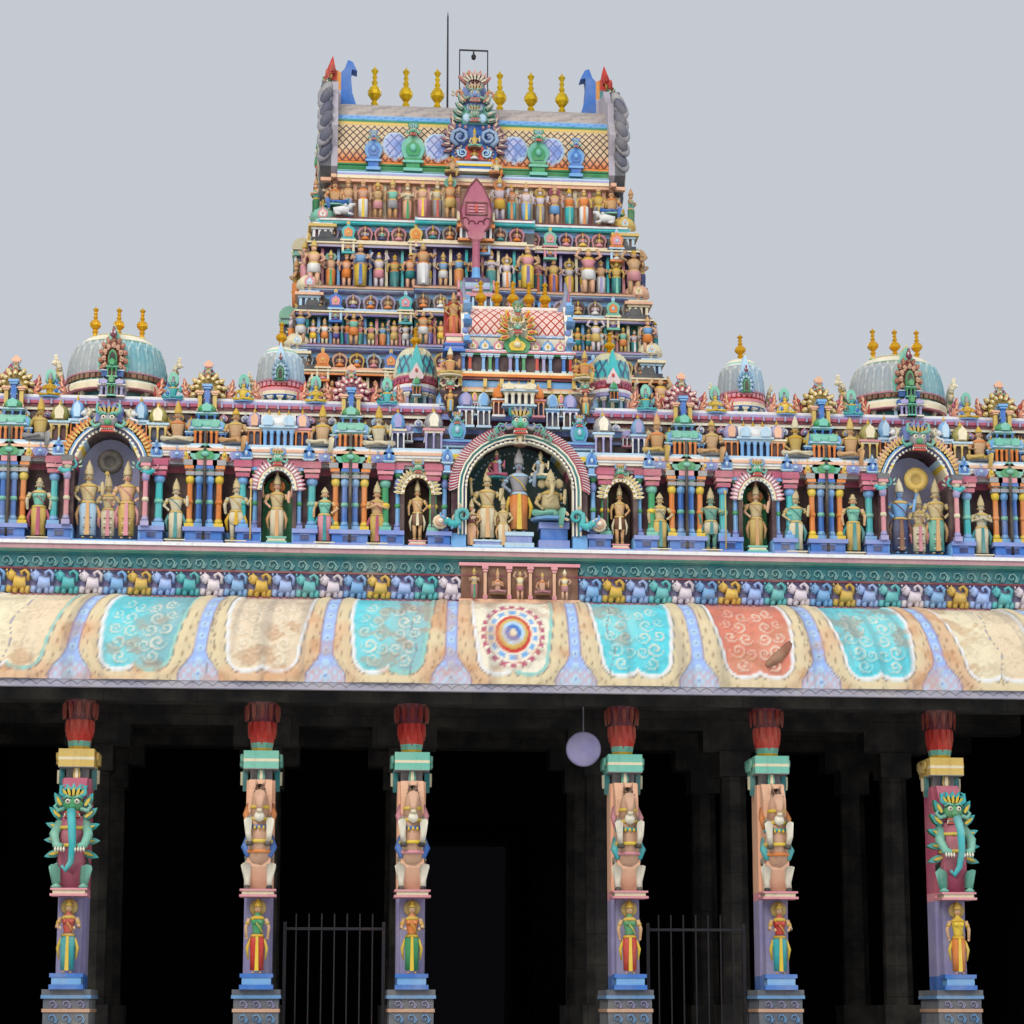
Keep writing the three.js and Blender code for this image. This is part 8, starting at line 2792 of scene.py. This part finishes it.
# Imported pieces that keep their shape

give(FLOOR_STONE, "hall_plinth", "entrance_steps", "gate_plinth")
give(GRANITE, "side_wall_left", "side_wall_right", "back_wall_left", "back_wall_right", "back_wall_lintel",
     "gate_base_left", "gate_base_right", "gate_lintel")
give(SHADE_DARK_GRANITE, "inner_pillar_row_1", "inner_pillar_row_2", "front_beam")
give(INTERIOR_SHADED_LIME, "roof_slab")
give(lip_paint(), "cornice_front", "cornice_left", "cornice_right")
give(IRON, "lamp_frame", "lightning_rod", "fence_left", "fence_right")
give(GILDING, "ridge_finials")
give(banded("frieze_ground", [
    (9.12, ("lilac", 0.75)), (9.62, ("steel", 1.0)), (9.92, "sea"), (10.0, "ivory"), (10.3, "ivory"),
]), "frieze")
give(banded("parapet_ground", [
    (9.9, "ivory"), (10.12, "sky"), (10.42, ("wine", 0.7)), (11.54, "rose"), (11.73, "cream"),
    (11.86, "yellow"),
    (11.95, "ice"), (12.05, ("wine", 0.7)), (12.5, "peri"), (12.58, "white"), (12.64, "maroon"),
    (12.74, "peri"), (12.84, "maroon"),
    (12.9, "peri"), (12.97, "white"), (13.0, ("rose", 0.8)), (13.74, "peach"),
]), "parapet_front", "parapet_left", "parapet_right", "parapet_deck")

cornice_sheet("cornice_front_painting", "cornice_front", "front", 720, 54)
cornice_sheet("cornice_left_painting", "cornice_left", "left", 200, 30)
cornice_sheet("cornice_right_painting", "cornice_right", "right", 200, 30)

DRUM = [(12.9, "maroon"), (13.02, ("teal", 0.5))]
for side, way in (("left", -1), ("right", 1)):
    give(banded(f"big_dome_{side}_paint", DRUM + [
        (13.2, "maroon"), (13.23, "pink"), (13.26, "cream"), (13.36, "ivory"), (13.41, "sea"),
        (13.45, ("brown", 0.8)), (13.54, "sea"), (14.46, "straw"), (14.5, "gold"), (15.2, "gold"),
    ], gilt_above=14.5), f"big_dome_{side}")
    for label, dome, tones in (("small", SMALL_DOME, ("cream", "pink")),
                               ("lattice", LATTICE_DOME, ("lilac", "white"))):
        neck, lip, top = dome["neck"], dome["lip"], dome["top"]
        give(banded(f"{label}_dome_{side}_paint", DRUM + [
            (neck, "blue"), (neck + 0.06, tones[0]), (neck + 0.13, tones[1]), (neck + 0.2, "red"),
            (lip - 0.06, "pink"), (lip, "ice" if label == "small" else "turquoise"),
            (top - 0.04, "straw"), (top, "gold"), (15.0, "gold"),
        ], gilt_above=top), f"{label}_dome_{side}")
    dome_sheet(f"big_dome_{side}_leaves", BIG_DOME, way, 30, 26, "fog", "lagoon", "ivory")
    dome_sheet(f"small_dome_{side}_leaves", SMALL_DOME, way, 14, 18, "fog", "ice", "ivory")
    dome_sheet(f"lattice_dome_{side}_lattice", LATTICE_DOME, way, 30, 26, "turquoise", "turquoise", "navy",
               lattice=True)
give(banded("centre_shrine_paint", [
    (13.0, "lilac"), (13.2, ("wine", 0.7)), (13.4, "sky"), (13.57, "orange"), (13.73, ("wine", 0.7)),
    (14.1, "ice"), (14.16, "pink"),
]), "centre_shrine")
give(banded("centre_shrine_roof_paint", [
    (14.1, "sky"), (14.3, "ivory"), (15.2, "pink"), (15.24, "gold"), (15.9, "gold"),
], gilt_above=15.26), "centre_shrine_roof")
SHRINE_LATTICE = lattice_paint("shrine_roof_lattice", SHRINE_ROOF_Y + Y_SHIFT, 0.17, 0.2, hue(red=0.7),
                               COLOURS["white"], COLOURS["pink"])
for name, turn in (("front", 0.0), ("back", math.pi)):
    roof_sheet(f"centre_shrine_lattice_{name}", SHRINE_ROOF_Y, 0.77, 0.93, 14.44, 0.81, turn,
               shrine_roof_paint, 40, 18, SHRINE_LATTICE)
# The wall behind the neck figures is peach at 0.55: painted shade behind the figures.
give(banded("neck_paint", [
    (20.9, "turquoise"), (21.05, "ice"), (21.12, ("brown", 0.6)), (21.3, ("peach", 0.55)), (22.13, "cream"),
    (22.2, "peach"),
    (22.28, "cream"), (22.36, "lilac"), (22.41, "ice"), (22.45, "steel"), (22.49, "ice"), (22.53, "leaf"),
    (22.62, "green"), (22.66, "leaf"),
]), "tower_neck")
give(banded("roof_ground", [(22.6, "leaf"), (22.7, "orange"), (24.2, "straw"), (24.5, "lilac"),
                            (24.8, "stone")]), "barrel_roof")
give(gable_material(), "roof_gable_left", "roof_gable_right")
give(banded("crest_paint", [(22.49, "orange"), (22.9, ("blue", 0.8)), (23.8, "sea"), (24.3, "peri"),
                            (24.8, "peach"), (25.2, "pink")]),
     "roof_crest_front", "roof_crest_back")
give(banded("spear_paint", [(19.3, "sky"), (19.7, "dusk"), (22.2, "dusk")]), "spear")
ROOF_LATTICE = lattice_paint("tower_roof_lattice", TOWER_Y + Y_SHIFT, 0.18, 0.2, hue(brown=0.3),
                             hue(peri=0.6), COLOURS["straw"])
for name, turn, columns, rows in (("front", 0.0, 150, 52), ("back", math.pi, 80, 34)):
    roof_sheet(f"tower_roof_{name}", TOWER_Y, ROOF["half_y"], ROOF["half_x"], ROOF["spring"], ROOF["rise"],
               turn, tower_roof_paint, columns, rows, ROOF_LATTICE)
for i in range(1, 9):
    outer = i in (1, 2, 7, 8)
    abacus = "straw" if outer else "sea"
    give(banded(f"front_pillar_{i}_paint", [
        (0.75, "slate"), (1.96, ("blue", 0.7)), (2.2, ("lilac", 0.7)), (3.6, "pink"),
        (3.75, "rose" if outer else "peach"),
        (5.76, ("grey", 0.7)), (5.95, abacus), (6.08, "cream"), (6.14, abacus), (6.29, "gold"), (6.35, "sea"),
        (6.45, "red"), (6.85, "maroon"), (7.22, "maroon"),
    ]), f"front_pillar_{i}")

for storey in STOREYS:
    # The wall behind each row of figures is painted at 0.45 of its colour: painted shade behind the figures.
    give(banded(f"storey_{storey.index}_paint", [
        (storey.z0, "lilac"), (storey.z0 + 0.07, ("ice", 0.8)), (storey.ledge, (storey.wall, 0.45)),
        (storey.band - 0.13, "cream"), (storey.band - 0.06, "pink"), (storey.band, ("slate", 0.5)),
        (storey.z1 - 0.12, "sky"), (storey.z1 - 0.05, ("ice", 0.8)), (storey.z1, "lilac"),
    ]), f"tower_storey_{storey.index}")
    storey_figures(storey).piece(PAINT, "figure_plaster")
    storey_shrines(storey).piece(PAINT, "painted_plaster")

batches = [
    *[(batch, "frieze_paint") for batch in frieze_bands()],
    (middle_panel(), "frieze_paint"),
    (parapet_columns(), "painted_plaster"),
    (niche_heads(), "painted_plaster"),
    (niche_people(), "figure_plaster"),
    *[(batch, "painted_plaster") for batch in parapet_top()],
    (dome_dress(), "dome_paint"),
    (centre_shrine_dress(), "painted_plaster"),
    (neck_figures(), "figure_plaster"),
    (roof_ornaments(), "painted_plaster"),
    (gable_carving(), "grey_plaster"),
    (crest_carving(), "painted_plaster"),
    (spear_lines(), "spear_paint"),
    (pillar_dress(), "figure_plaster"),
]
for batch, slot_name in batches:
    batch.piece(PAINT, slot_name)
